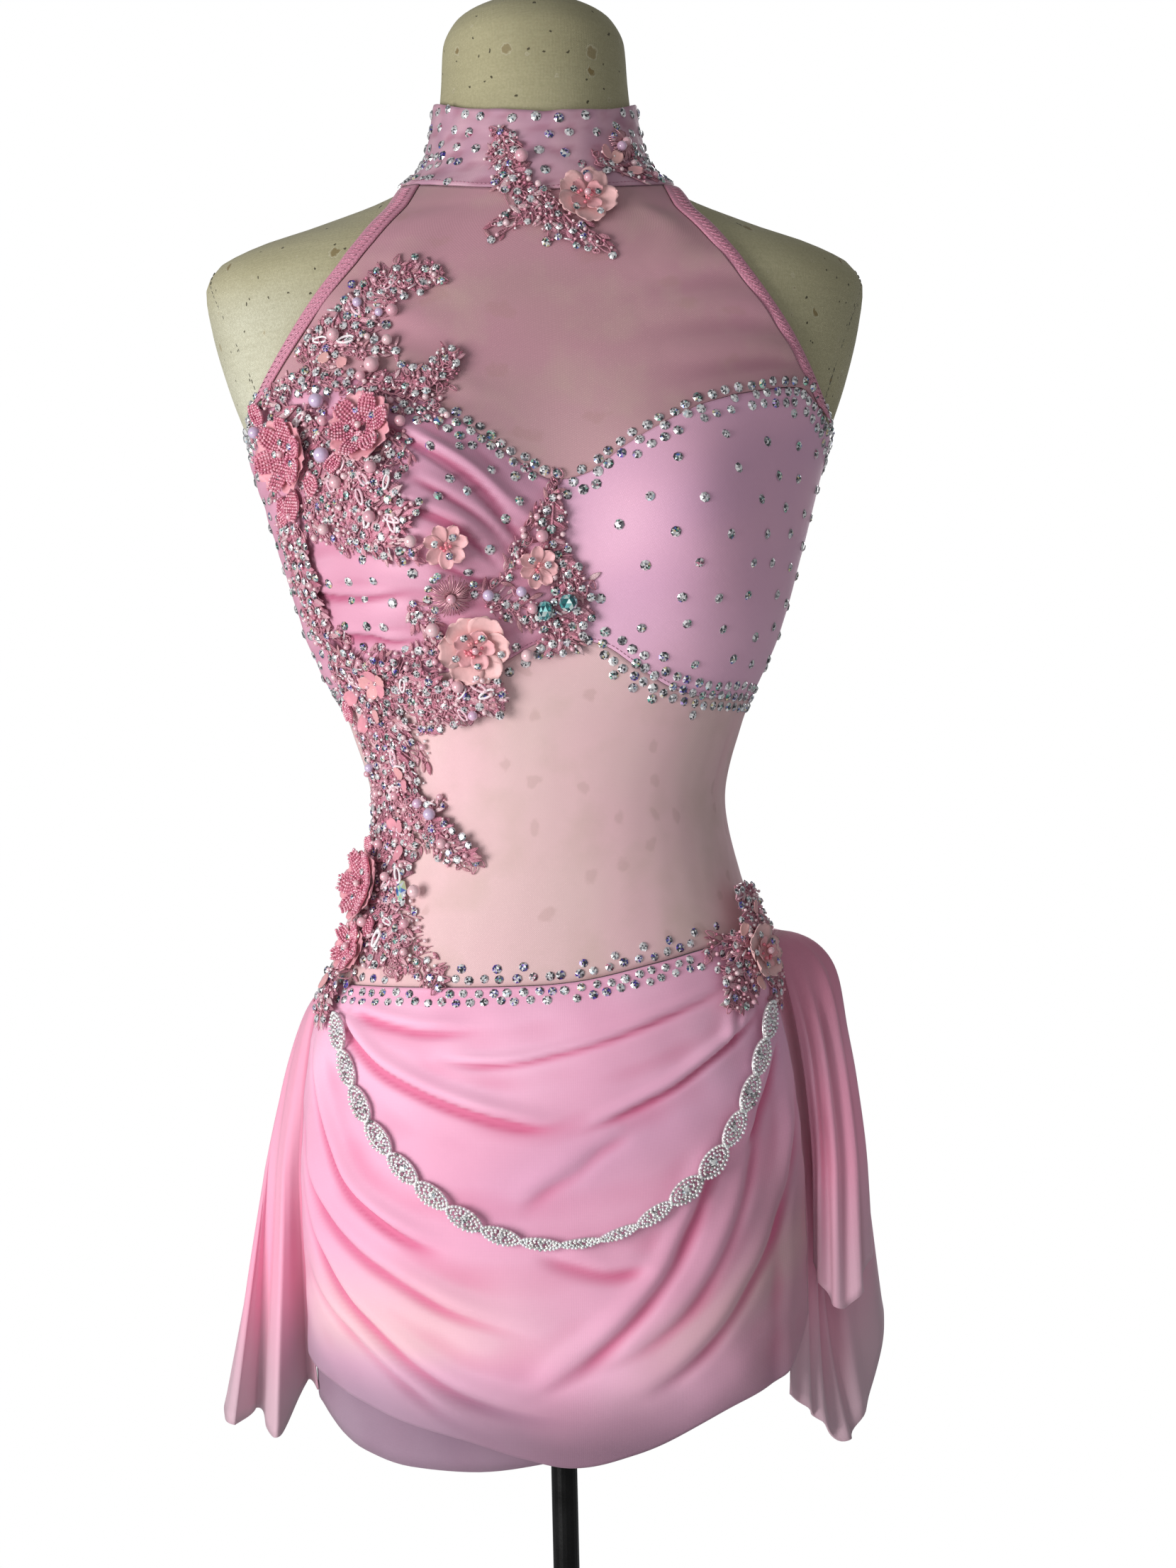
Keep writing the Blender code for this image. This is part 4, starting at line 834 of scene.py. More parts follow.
# The main folds of the drape: a soft swell with a tuck under it
DRAPE_TUCKS = [
    # points as (angle, height) from the wearer's right to the left, depth, width
    ([(-60, 0.835), (-49, 0.830), (-40, 0.8265), (-32, 0.824), (-24, 0.824), (-16, 0.825)], 0.0030, 0.0036),
    ([(-27, 0.810), (-19, 0.8075), (-10, 0.808), (-2, 0.812), (8, 0.819), (20, 0.828), (33, 0.837), (46, 0.847)],
     0.0030, 0.0026),
    ([(-60, 0.827), (-57, 0.823), (-51, 0.8145), (-43, 0.8035), (-31, 0.792), (-22, 0.7845), (-13, 0.778),
      (-5, 0.774), (2, 0.777)], 0.0056, 0.0044),
    ([(50, 0.828), (40, 0.815), (30, 0.803), (22, 0.7925), (15, 0.785), (7, 0.7765), (0, 0.769)], 0.0034, 0.0030),
    ([(-76, 0.812), (-69, 0.792), (-61, 0.7645), (-53, 0.740), (-43, 0.7245), (-33, 0.713), (-24, 0.706)],
     0.0056, 0.0050),
    ([(36, 0.768), (29, 0.743), (25, 0.720), (20, 0.697), (13, 0.675), (5, 0.655), (-4, 0.636), (-14, 0.625)],
     0.0030, 0.0054),
    ([(46, 0.792), (43, 0.765), (39, 0.732), (33, 0.702), (24, 0.673), (12, 0.652), (0, 0.641)], 0.0017, 0.0050),
    ([(12, 0.770), (5, 0.761), (0, 0.749), (-5, 0.7395), (-10, 0.725)], 0.0016, 0.0050),
    ([(-80, 0.775), (-72, 0.746), (-62, 0.724), (-50, 0.706), (-38, 0.692), (-26, 0.678), (-15, 0.669), (-4, 0.662)],
     0.0036, 0.0056),
    ([(16, 0.697), (6, 0.6945), (-1, 0.701), (-7, 0.709)], 0.0022, 0.0056),
    ([(-80, 0.745), (-69, 0.712), (-57, 0.684), (-45, 0.664), (-33, 0.645), (-22, 0.631), (-8, 0.621), (4, 0.619)],
     0.0036, 0.0058),
    ([(60, 0.785), (56, 0.748), (50, 0.712), (40, 0.680), (29, 0.653), (18, 0.635), (6, 0.624)], 0.0028, 0.0058),
    ([(56, 0.815), (50, 0.792), (43, 0.768), (38, 0.752)], 0.0026, 0.0036),
    ([(44, 0.842), (41, 0.824), (38, 0.808)], 0.0014, 0.0034),
    ([(-76, 0.694), (-62, 0.673), (-48, 0.654), (-36, 0.635), (-24, 0.618), (-10, 0.607)], 0.0022, 0.0046),
]
# Tucks of the draped cup, from the wearer's right towards the centre and down
CUP_TUCKS = [
    # points as (angle, height), depth, width
    ([(-31, 1.146), (-26, 1.139), (-20, 1.126), (-14, 1.112), (-9, 1.095), (-5, 1.080), (-3, 1.066)], 0.0030, 0.0034),
    ([(-38, 1.116), (-34, 1.111), (-27, 1.100), (-19, 1.0905), (-13, 1.077), (-8, 1.064)], 0.0026, 0.0030),
    ([(-26, 1.116), (-18, 1.103), (-12, 1.091), (-7, 1.076)], 0.0016, 0.0032),
    ([(-25, 1.134), (-17, 1.122), (-11, 1.107), (-5, 1.091), (-2, 1.078)], 0.0018, 0.0034),
    ([(-25, 1.076), (-16, 1.065), (-8, 1.063)], 0.0016, 0.0026),
    ([(-70, 1.069), (-65, 1.066), (-56, 1.0605), (-42, 1.058), (-28, 1.0595)], 0.0020, 0.0024),
    ([(-66, 1.043), (-57, 1.040), (-45, 1.038), (-38, 1.0345), (-28, 1.036)], 0.0022, 0.0024),
    ([(-20, 1.150), (-12, 1.132), (-6, 1.112)], 0.0012, 0.0040),
]


def along_folds(rows, angle, height):
    """For each fold: signed distance from it, positive above, and how far along it, 0 to 1."""
    across = hip_metres(angle)
    found = []
    for points, rise, width in rows:
        table = spline(points, 5)
        line_x, line_z = hip_metres(table[:, 0]), table[:, 1]
        best = np.full(np.shape(across), np.inf)
        share, side = np.zeros(np.shape(across)), np.zeros(np.shape(across))
        spans = len(line_x) - 1
        for i in range(spans):
            start, end = (line_x[i], line_z[i]), (line_x[i + 1], line_z[i + 1])
            away, part = to_segment(across, height, start, end)
            nearer = away < best
            best = np.where(nearer, away, best)
            share = np.where(nearer, (i + part) / spans, share)
            line_height = start[1] + (end[1] - start[1]) * part
            side = np.where(nearer, np.sign(height - line_height), side)
        found.append((best * side, share, rise, width))
    return found


def pulls(rows, angle, height):
    """Soft ridges that die away at both ends."""
    total = 0.0
    for away, share, rise, width in along_folds(rows, angle, height):
        total = total + rise * np.sin(np.pi * np.clip(share, 0.02, 0.98)) ** 0.6 * np.exp(-(away / width) ** 2)
    return total


def tucks(rows, angle, height):
    """Swells with a sharp tuck under them."""
    total = 0.0
    for away, share, depth, width in along_folds(rows, angle, height):
        fade = ramp(0.15 + share / 0.22) * ramp((1 - share) / 0.34)
        swell = 0.75 * np.exp(-((away - 1.25 * width) / (1.1 * width)) ** 2)
        total = total + depth * fade * (swell - np.exp(-((away + 0.15 * width) / (0.68 * width)) ** 2))
    return total


def collar_lift(angle, height):
    wrinkle = waves(np.stack(np.broadcast_arrays(hip_metres(angle) * 0.25, height), -1), 0.011, 11)
    return CLEAR + COLLAR_THICK + 0.00035 * wrinkle + 0.0003


def yoke_lift(angle, height):
    return CLEAR + MESH_THICK + pulls(YOKE_PULLS, angle, height) * 1.6


def plain_lift(angle, height):
    return CLEAR + CUP_THICK + 0.0002 * waves(flat_place(angle, height), 0.06, 12)


def draped_share(angle, height):
    """Down and across the draped cup, both from 0 to 1."""
    top, foot = seam(BUST_TOP, angle), seam(BUST_FOOT, angle)
    across = np.clip((np.asarray(angle) + SIDE) / SIDE, 0, 1)
    crowd = SIDE_CROWD + (CENTRE_CROWD - SIDE_CROWD) * across
    return np.clip((top - height) / (top - foot), 0, 1) ** (1 / crowd), across


def draped_lift(angle, height):
    down, across = draped_share(angle, height)
    uneven = 1 + 0.6 * waves(np.stack(np.broadcast_arrays(down * 0.35, across * 0.5), -1), 0.30, 13)
    rise = 0.42 * pleat_rise(down, across) * np.clip(uneven, 0.2, 1.5)
    inside = ramp(down / 0.10) * ramp((1 - down) / 0.10) * ramp((1 - across) / 0.04)
    rise = rise + 0.0010 * inside + inside * tucks(CUP_TUCKS, angle, height)
    return CLEAR + CUP_THICK + np.where(rise > 0.0003, rise, 0.0003 * np.exp(np.minimum(rise / 0.0003 - 1, 0)))


def midriff_lift(angle, height):
    place = flat_place(angle, height)
    stretched = np.stack([place[..., 0], place[..., 1] * 0.22], -1)
    side = ramp((np.abs(angle) - 30) / 40)
    return CLEAR + MESH_THICK + (0.00006 + 0.00022 * side) * (1 + waves(stretched, 0.022, 14))


def back_waist_lift(angle, height):
    return midriff_lift((angle + 180) % 360 - 180, height)


def back_band_lift(angle, height):
    return CLEAR + CUP_THICK + 0.0002 * (1 + waves(flat_place(angle, height), 0.05, 15))


def drape_lift(angle, height):
    """The drape's outer face, with its folds. It stays off the skirt under it."""
    over = OVER_FLOUNCE * ramp((angle - OVER_FLOUNCE_FROM) / OVER_FLOUNCE_RUN)
    down = np.clip((seam(WAIST_SEAM, angle) - height) / SKIRT_LENGTH, 0, 1)
    base = drape_top(angle, height) - 0.72 * (drape_rise(angle, height) - over - DRAPE_PUFF * down)
    base = base + 0.0016 * ramp(down / 0.1)
    calm = ramp((seam(WAIST_SEAM, angle) - height) / 0.012)
    place = flat_place(angle, height)
    soft = 0.0004 * waves(np.stack([place[..., 0] * 0.6, place[..., 1]], -1), 0.045, 16)
    lowest = SKIRT_CLEAR + MESH_THICK + DRAPE_THICK + 0.6 * GAP
    rise = base + calm * (tucks(DRAPE_TUCKS, angle, height) + soft) - lowest
    return lowest + np.where(rise > 0.0004, rise, 0.0004 * np.exp(np.minimum(rise / 0.0004 - 1, 0)))


def bodice_lift(angle, height):
    """The highest plain cloth on the front of the body."""
    top, foot = seam(BUST_TOP, angle), seam(BUST_FOOT, angle)
    cup = np.where(np.asarray(angle) < 0, draped_lift(angle, height), plain_lift(angle, height))
    inside = ramp((top + 0.001 - height) / 0.002) * ramp((height - foot + 0.001) / 0.002)
    mesh = np.where(height > (top + foot) / 2, yoke_lift(angle, height), midriff_lift(angle, height))
    return mesh + (cup - mesh) * inside


# ---- Materials ----

def material(name):
    """A new material, its node tree and its shader."""
    made = bpy.data.materials.new(name)
    made.use_nodes = True
    return made, made.node_tree, made.node_tree.nodes["Principled BSDF"]


def feed(socket, value):
    """Sets a socket to a number or a colour, or links another node's output to it."""
    if isinstance(value, bpy.types.NodeSocket):
        socket.id_data.links.new(value, socket)
    elif isinstance(value, (tuple, np.ndarray)) and len(socket.default_value) == 4:
        socket.default_value = (*value, 1)
    else:
        socket.default_value = value


def node(tree, kind, **settings):
    """A new node. A setting is one of its inputs, with _ for a space, or else a property."""
    made = tree.nodes.new(kind)
    for key, value in settings.items():
        name = key.replace("_", " ")
        if name in made.inputs:
            feed(made.inputs[name], value)
        else:
            setattr(made, key, value)
    return made


def maths(tree, operation, first, second):
    made = node(tree, "ShaderNodeMath", operation=operation)
    feed(made.inputs[0], first)
    feed(made.inputs[1], second)
    return made.outputs[0]


def times(tree, first, second):
    return maths(tree, "MULTIPLY", first, second)


def mix_colours(tree, share, first, second, blend="MIX"):
    made = node(tree, "ShaderNodeMix", data_type="RGBA", blend_type=blend)
    for place, value in zip((0, 6, 7), (share, first, second)):
        feed(made.inputs[place], value)
    return made.outputs[2]


def stained(tree, where, share, under, colour):
    """A screen colour over another, by a share where a mask is 1."""
    return mix_colours(tree, times(tree, where, share), under, tuple(rgb(*colour)))


def darker(tree, colour, *shares):
    return mix_colours(tree, 1.0, colour, tuple(np.broadcast_to(shares, 3)), "MULTIPLY")


def tint_of(tree):
    return node(tree, "ShaderNodeAttribute", attribute_name="tint").outputs["Color"]


def object_place(tree):
    return node(tree, "ShaderNodeTexCoord").outputs["Object"]


def cloth_place(tree):
    return node(tree, "ShaderNodeUVMap", uv_map="cloth").outputs[0]


def span(tree, value, low, high):
    """0 where a value is at low, 1 where it is at high."""
    return node(tree, "ShaderNodeMapRange", Value=value, From_Min=low, From_Max=high).outputs[0]


def patches(tree, size, low, high, detail=3.0, coordinates=None):
    """Uneven patches of about a size in metres: 0 below low, 1 above high."""
    cloud = node(tree, "ShaderNodeTexNoise", Scale=1 / size, Detail=detail,
                 Vector=coordinates or object_place(tree))
    return span(tree, cloud.outputs["Fac"], low, high)


def threads(tree, pitch, turn=0.0):
    """Two crossing sets of threads as a height from 0 to 1, on the cloth's own coordinates."""
    turned = node(tree, "ShaderNodeMapping", Vector=cloth_place(tree), Rotation=(0, 0, turn))
    return times(tree, *(
        node(tree, "ShaderNodeTexWave", wave_type="BANDS", bands_direction=direction, Vector=turned.outputs[0],
             Scale=math.pi / (10 * pitch), Distortion=0.6, Detail=1.0).outputs["Fac"] for direction in ("X", "Y")))


def torn_places(tree, scale, detail, shift):
    """The cloth's flat coordinates, shaken by noise so that spots on them get ragged edges."""
    ragged = node(tree, "ShaderNodeTexNoise", Scale=scale, Detail=detail, Vector=object_place(tree))
    moved = node(tree, "ShaderNodeVectorMath", operation="MULTIPLY_ADD")
    for socket, value in zip(moved.inputs, (ragged.outputs["Color"], (shift, shift, 0.0), cloth_place(tree))):
        feed(socket, value)
    return moved.outputs[0]


def spots(tree, place, scale):
    """One spot a cell: how far off its middle is, and two random numbers of the cell."""
    cells = node(tree, "ShaderNodeTexVoronoi", voronoi_dimensions="2D", feature="F1", Scale=scale,
                 Randomness=1.0, Vector=place)
    chosen = node(tree, "ShaderNodeSeparateColor", Color=cells.outputs["Color"])
    return cells.outputs["Distance"], chosen.outputs[0], chosen.outputs[1]


def bumped(tree, shader, height, distance):
    """Small relief under the shader, as deep as a distance in metres."""
    bump = node(tree, "ShaderNodeBump", Distance=distance, Strength=1.0, Height=height)
    feed(shader.inputs["Normal"], bump.outputs[0])


def set_shader(shader, **values):
    for key, value in values.items():
        feed(shader.inputs[key.replace("_", " ")], value)


def cloth_look(name, pitch, roughness, sheen, depth, grain, mottle=0.06, turn=0.0):
    """Cloth coloured by its tint, with threads, slight unevenness and a soft nap."""
    made, tree, shader = material(name)
    tint, weave = tint_of(tree), threads(tree, pitch, turn)
    shown = mix_colours(tree, weave, darker(tree, tint, 1 - grain), tint)
    pale = mix_colours(tree, 1.0, shown, tuple(rgb(236, 205, 205)), "SOFT_LIGHT")
    cloudy = times(tree, patches(tree, 0.05, 0.35, 0.65), mottle)
    set_shader(shader, Base_Color=mix_colours(tree, cloudy, shown, pale), Roughness=roughness,
               Sheen_Weight=sheen, Sheen_Roughness=0.45, Sheen_Tint=(1.0, 0.86, 0.92), Specular_IOR_Level=0.35)
    fine = patches(tree, 0.0016, 0.3, 0.7, 2.0)
    bumped(tree, shader, maths(tree, "ADD", weave, times(tree, fine, 0.35)), depth)
    return made


def linen_look():
    """Aged off-white linen: a plain weave, uneven threads, rust spots with torn pale rims, dark specks."""
    made, tree, shader = material("aged_linen")
    weave = threads(tree, 0.0008)
    shown = stained(tree, patches(tree, 0.09, 0.38, 0.68, 5.0), 0.40, tint_of(tree), (158, 150, 112))
    slub = node(tree, "ShaderNodeMapping", Vector=object_place(tree), Scale=(1, 1, 14))
    slubs = patches(tree, 0.03, 0.30, 0.72, 3.0, slub.outputs[0])
    shown = stained(tree, slubs, 0.10, shown, (120, 112, 84))
    shown = stained(tree, patches(tree, 0.0013, 0.36, 0.64, 2.0), 0.20, shown, (128, 120, 88))
    place = torn_places(tree, 260.0, 3.0, 0.0045)
    away, rank, depth = spots(tree, place, 60.0)
    reach = times(tree, maths(tree, "POWER", rank, 6.0), 0.20)
    has = maths(tree, "GREATER_THAN", rank, 0.62)
    soft = span(tree, maths(tree, "SUBTRACT", reach, away), -0.025, 0.035)
    spot = times(tree, times(tree, soft, maths(tree, "ADD", times(tree, depth, 0.65), 0.35)), has)
    rim = times(tree, maths(tree, "LESS_THAN", away, maths(tree, "ADD", reach, 0.050)), has)
    shown = stained(tree, rim, 0.35, shown, (216, 210, 184))
    shown = stained(tree, spot, 0.85, shown, (122, 100, 50))
    away, _, rank = spots(tree, place, 75.0)
    speck = times(tree, maths(tree, "LESS_THAN", away, 0.055), maths(tree, "GREATER_THAN", rank, 0.55))
    shown = stained(tree, speck, 0.85, shown, (58, 52, 38))
    set_shader(shader, Base_Color=mix_colours(tree, weave, darker(tree, shown, 0.90, 0.90, 0.885), shown),
               Roughness=0.92, Sheen_Weight=0.10, Specular_IOR_Level=0.2)
    lumps = maths(tree, "ADD", weave, times(tree, slubs, 0.6))
    bumped(tree, shader, maths(tree, "SUBTRACT", lumps, times(tree, rim, 1.6)), 0.00012)
    return made


def net_look():
    """Fine stretch mesh over the form: tiny cells, soft blotches of the linen that shows through."""
    made, tree, shader = material("stretch_net")
    tint, cells = tint_of(tree), threads(tree, 0.0007, math.radians(45))
    shown = mix_colours(tree, cells, darker(tree, tint, 0.93, 0.90, 0.905), tint)
    shown = stained(tree, patches(tree, 0.030, 0.50, 0.72, 6.0), 0.32, shown, (196, 172, 158))
    away, rank, _ = spots(tree, torn_places(tree, 90.0, 4.0, 0.014), 44.0)
    faint = times(tree, span(tree, away, 0.19, 0.11), maths(tree, "GREATER_THAN", rank, 0.66))
    set_shader(shader, Base_Color=stained(tree, faint, 0.22, shown, (168, 130, 122)), Roughness=0.70,
               Sheen_Weight=0.12, Sheen_Roughness=0.5, Specular_IOR_Level=0.25)
    bumped(tree, shader, cells, 0.00005)
    return made


def tinted_look(name, roughness, metallic=0.0, coat=0.0, sheen=0.0, specular=0.5, grain=0.0, size=0.002,
                depth=0.0):
    """Small trims coloured piece by piece, with a little unevenness."""
    made, tree, shader = material(name)
    tint, uneven = tint_of(tree), patches(tree, size, 0.3, 0.7, 2.0)
    set_shader(shader, Base_Color=mix_colours(tree, uneven, darker(tree, tint, 1 - grain), tint),
               Roughness=roughness, Metallic=metallic, Coat_Weight=coat, Coat_Roughness=0.05,
               Sheen_Weight=sheen, Specular_IOR_Level=specular)
    if depth:
        bumped(tree, shader, uneven, depth)
    return made


def paint_look():
    """The stand's black paint, worn a little in patches."""
    made, tree, shader = material("black_paint_worn")
    worn_away = patches(tree, 0.02, 0.45, 0.75, 5.0)
    rough = node(tree, "ShaderNodeMapRange", Value=worn_away, To_Min=0.30, To_Max=0.48)
    set_shader(shader, Base_Color=mix_colours(tree, worn_away, tuple(rgb(4, 4, 4)), tuple(rgb(11, 11, 12))),
               Specular_IOR_Level=0.22, Roughness=rough.outputs[0])
    bumped(tree, shader, patches(tree, 0.0015, 0.3, 0.7, 2.0), 0.00004)
    return made


LINEN = linen_look()
NET = net_look()
LYCRA = cloth_look("collar_lycra", 0.0007, 0.50, 0.18, 0.00003, 0.08, turn=math.radians(30))
CUP = cloth_look("cup_lycra_fine", 0.0007, 0.46, 0.15, 0.00004, 0.09, turn=math.radians(20))
CREPE = cloth_look("drape_crepe", 0.0007, 0.72, 0.28, 0.00004, 0.05, mottle=0.10)
UNDER = cloth_look("underskirt_crepe", 0.0007, 0.75, 0.20, 0.00004, 0.05, mottle=0.08)
EDGING = cloth_look("edge_elastic", 0.0014, 0.62, 0.25, 0.00016, 0.25)
GROUND = cloth_look("lace_net", 0.0011, 0.65, 0.20, 0.00030, 0.45, turn=math.radians(45))
THREAD = tinted_look("silk_thread", 0.30, metallic=0.12, sheen=0.3, specular=0.8, grain=0.30, size=0.0006,
                     depth=0.0002)
PEACH = tinted_look("petal_satin", 0.50, sheen=0.35, grain=0.10, size=0.004, depth=0.00012)
STONE = tinted_look("cut_glass", 0.10, metallic=0.40, coat=1.0, specular=0.9)
SEED = tinted_look("seed_bead_glass", 0.12, coat=0.9, specular=0.8)
PEARL = tinted_look("pearl_coat", 0.22, coat=1.0, sheen=0.25, specular=0.8)
METAL = tinted_look("silver_setting", 0.20, metallic=0.45, coat=0.6, specular=0.8)
METAL_THREAD = tinted_look("metallic_thread", 0.30, metallic=0.5, grain=0.3, size=0.0006)
GLASS = tinted_look("aqua_crystal", 0.04, metallic=0.55, coat=1.0, specular=0.8)
PAINT = paint_look()


# ---- The dress form and its stand ----

FORM_ARMHOLES = [
    # the seams' points as (angle, height)
    [(-80, 1.246), (-72, 1.222), (-66, 1.196), (-64, 1.168), (-66, 1.140)],
    [(80, 1.246), (72, 1.224), (66, 1.198), (64, 1.168), (66, 1.140)],
]


def form_lift(angle, height):
    """The linen is pulled slightly in along its armhole seams."""
    return pulls([(points, -0.0008, 0.0016) for points in FORM_ARMHOLES], angle, height)


def make_form():
    rows = np.concatenate([np.linspace(0.645, 1.25, 96), np.linspace(1.253, 1.372, 36),
                           1.398 - 0.026 * (1 - np.linspace(0.03, 1, 20)) ** 1.8])
    angle, height = np.meshgrid(np.linspace(-180, 180, 168, endpoint=False), rows)
    lift = np.where(np.abs(angle) < 110, form_lift(angle, height), 0.0)
    points = lifted(body, angle, np.minimum(height, 1.3979), lift)
    count = angle.shape[1]
    i, row = np.arange(count), np.arange(len(rows) - 1)[:, None] * count
    after = (i + 1) % count
    quads = np.stack([row + i, row + after, row + count + after, row + count + i], -1).reshape(-1, 4)
    everything = np.concatenate([points.reshape(-1, 3), [points[0].mean(0), points[-1].mean(0)]])
    total, last = angle.size, angle.size - count
    caps = np.concatenate([np.stack([0 * i + total, after, i], -1),
                           np.stack([0 * i + total + 1, last + i, last + after], -1)])
    x, _, z = everything.T
    tone = mottled((200, 193, 158), (186, 180, 147), everything, 0.12, 21)
    # Painted shade: the top of the neck darker from its middle to the wearer's left, away from the key light.
    tone = tone * (1 - 0.20 * ramp((z - 1.33) / 0.05) * ramp((x + 0.035) / 0.03))[:, None]
    # Painted light: the wearer's right shoulder paler, on the side of the key light.
    tone = mixed(tone, (226, 226, 208), 0.75 * ramp((-0.085 - x) / 0.07) * ramp((1.245 - z) / 0.035))
    around = np.linalg.norm(points[..., :2], axis=-1).mean(1, keepdims=True)
    uv = np.concatenate([np.stack([np.radians(angle) * around, height], -1).reshape(-1, 2), [[0, 0], [0, 0]]])
    made = build("form_linen", everything, [quads, caps], LINEN, uv=uv, tint=tone)
    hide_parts("form_torso")
    parts = []
    for points in FORM_ARMHOLES:
        parts += stitches(body, form_lift, spline(points, 24).T, 0.0036, 0.0, 0.55, 0.0001, 0.00032, 5)
    strands("form_seam_stitches", parts, THREAD, (92, 88, 70))


for stand_node in ("stand_base", "stand_pole"):
    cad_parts[stand_node].data.materials.clear()
    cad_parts[stand_node].data.materials.append(PAINT)

# ---- The dress ----


def painted_fold_shade(tone, deep, lift, cells, depth, share=0.75):
    """Painted shade: the cloth's colour turns deeper in the hollows of its folds, where shade falls."""
    hollow = np.clip((blurred(lift, cells) - lift) / depth, 0, 1)
    return mixed(tone, deep, share * hollow)


def make_collar():
    angle, height = rows_between(np.linspace(-180, 180, 160, endpoint=False), COLLAR_TOP, COLLAR_FOOT, 22)
    lift = collar_lift(angle, height)
    tone = mottled((214, 170, 186), (196, 150, 172), flat_place(angle, height), 0.05, 31)
    # Painted shade: deeper pink in the hollows of the collar's wrinkles.
    tone = painted_fold_shade(tone, (178, 120, 142), lift, 3, 0.0004)
    worn("collar_band", "collar", body, angle, height, lift, 0.0013, tone, LYCRA, "lycra", closed=True)


def make_yoke():
    columns, rows = 101, 70
    low_angle = np.linspace(-ARMHOLE_ANGLE, ARMHOLE_ANGLE, columns)
    top_angle = np.linspace(-COLLAR_CORNER, COLLAR_CORNER, columns)
    top, low = seam(COLLAR_FOOT, top_angle) - GAP, seam(BUST_TOP, low_angle) + GAP
    top_x, low_x = body(top_angle, top)[:, 0], body(low_angle, low)[:, 0]
    share = np.linspace(0, 1, rows)[:, None]
    height = top + (low - top) * share
    across = np.zeros((rows, columns))
    for side, edge in ((-1, 0), (1, -1)):
        heights, right, left = np.array(ARMHOLE).T
        reach = smooth(heights, left if side > 0 else right, height[:, edge])
        reach += (abs(low_x[edge]) - reach[-1]) * share[:, 0] ** 4
        reach += (abs(top_x[edge]) - reach[0]) * (1 - share[:, 0]) ** 4
        portion = top_x / top_x[edge] + (low_x / low_x[edge] - top_x / top_x[edge]) * share
        across = np.where(side * portion * top_x[edge] > 0, side * portion * reach[:, None], across)
        make_edge(side, height[:, edge], reach)
    angle = angle_at(across, height)
    angle[0], angle[-1] = top_angle, low_angle
    lift = yoke_lift(angle, height)
    place = flat_place(angle, height)
    tone = mottled((197, 146, 160), (189, 147, 153), place, 0.07, 32)
    tone = mixed(tone, (205, 168, 171), ramp((1.195 - height) / 0.06) * ramp(1 - np.abs(angle + 4) / 40) * 0.6)
    # Painted shade: deeper mauve in the hollows between the yoke's pulls.
    tone = painted_fold_shade(tone, (160, 108, 126), lift, 5, 0.0011, 0.6)
    worn("yoke_net", "yoke_front", body, angle, height, lift, 0.0007, tone, NET, "stretch_mesh")


def make_edge(side, heights, reach):
    """The turned elastic along the armhole, with its zigzag stitching."""
    name = "armhole_edge_left" if side > 0 else "armhole_edge_right"
    rows, columns = len(heights), 13
    offsets = np.linspace(GAP * 2, ARMHOLE_BAND, columns)
    across = reach[:, None] + offsets
    end_angle = angle_at(across[-1], heights[-1])
    end = seam(BUST_TOP, side * end_angle) + 2 * GAP
    share = np.linspace(0, 1, rows)[:, None]
    height = heights[:, None] + (end - heights[-1]) * share ** 2
    height[0] -= GAP
    angle = side * angle_at(across, height)
    thick = EDGE_THICK - 0.0007 * np.linspace(-1, 1, columns) ** 4
    tone = np.broadcast_to(rgb(222, 150, 174), (*height.shape, 3))
    outer = worn(name + "_elastic", name, body, angle, height, EDGE_CLEAR + thick, thick - 0.0002, tone, EDGING,
                 "lycra")
    middle, quarter = columns // 2, columns // 4
    length = lengths(outer[:, middle])
    count = int(length[-1] / 0.0017)
    at = np.interp(np.linspace(0.004, length[-1] - 0.004, count), length, np.arange(rows))
    low = np.floor(at).astype(int)
    high, part = np.minimum(low + 1, rows - 1), (at - low)[:, None]
    swing = np.where(np.arange(count) % 2, middle - quarter, middle + quarter)
    points = outer[low, swing] * (1 - part) + outer[high, swing] * part
    normal = grid_normal(outer)[low, middle]
    normal *= np.sign((normal * (points - [0, 0.02, 1.2])).sum(-1).mean())
    points = points + normal * 0.00025
    dense = np.concatenate([np.linspace(points[k], points[k + 1], 3, endpoint=False)
                            for k in range(count - 1)] + [points[-1:]])
    dense_normal = np.concatenate([np.repeat(normal[:-1], 3, axis=0), normal[-1:]])
    strands(name + "_zigzag", [tube(dense, 0.00034, 5, normal=dense_normal)], THREAD, (236, 160, 186))


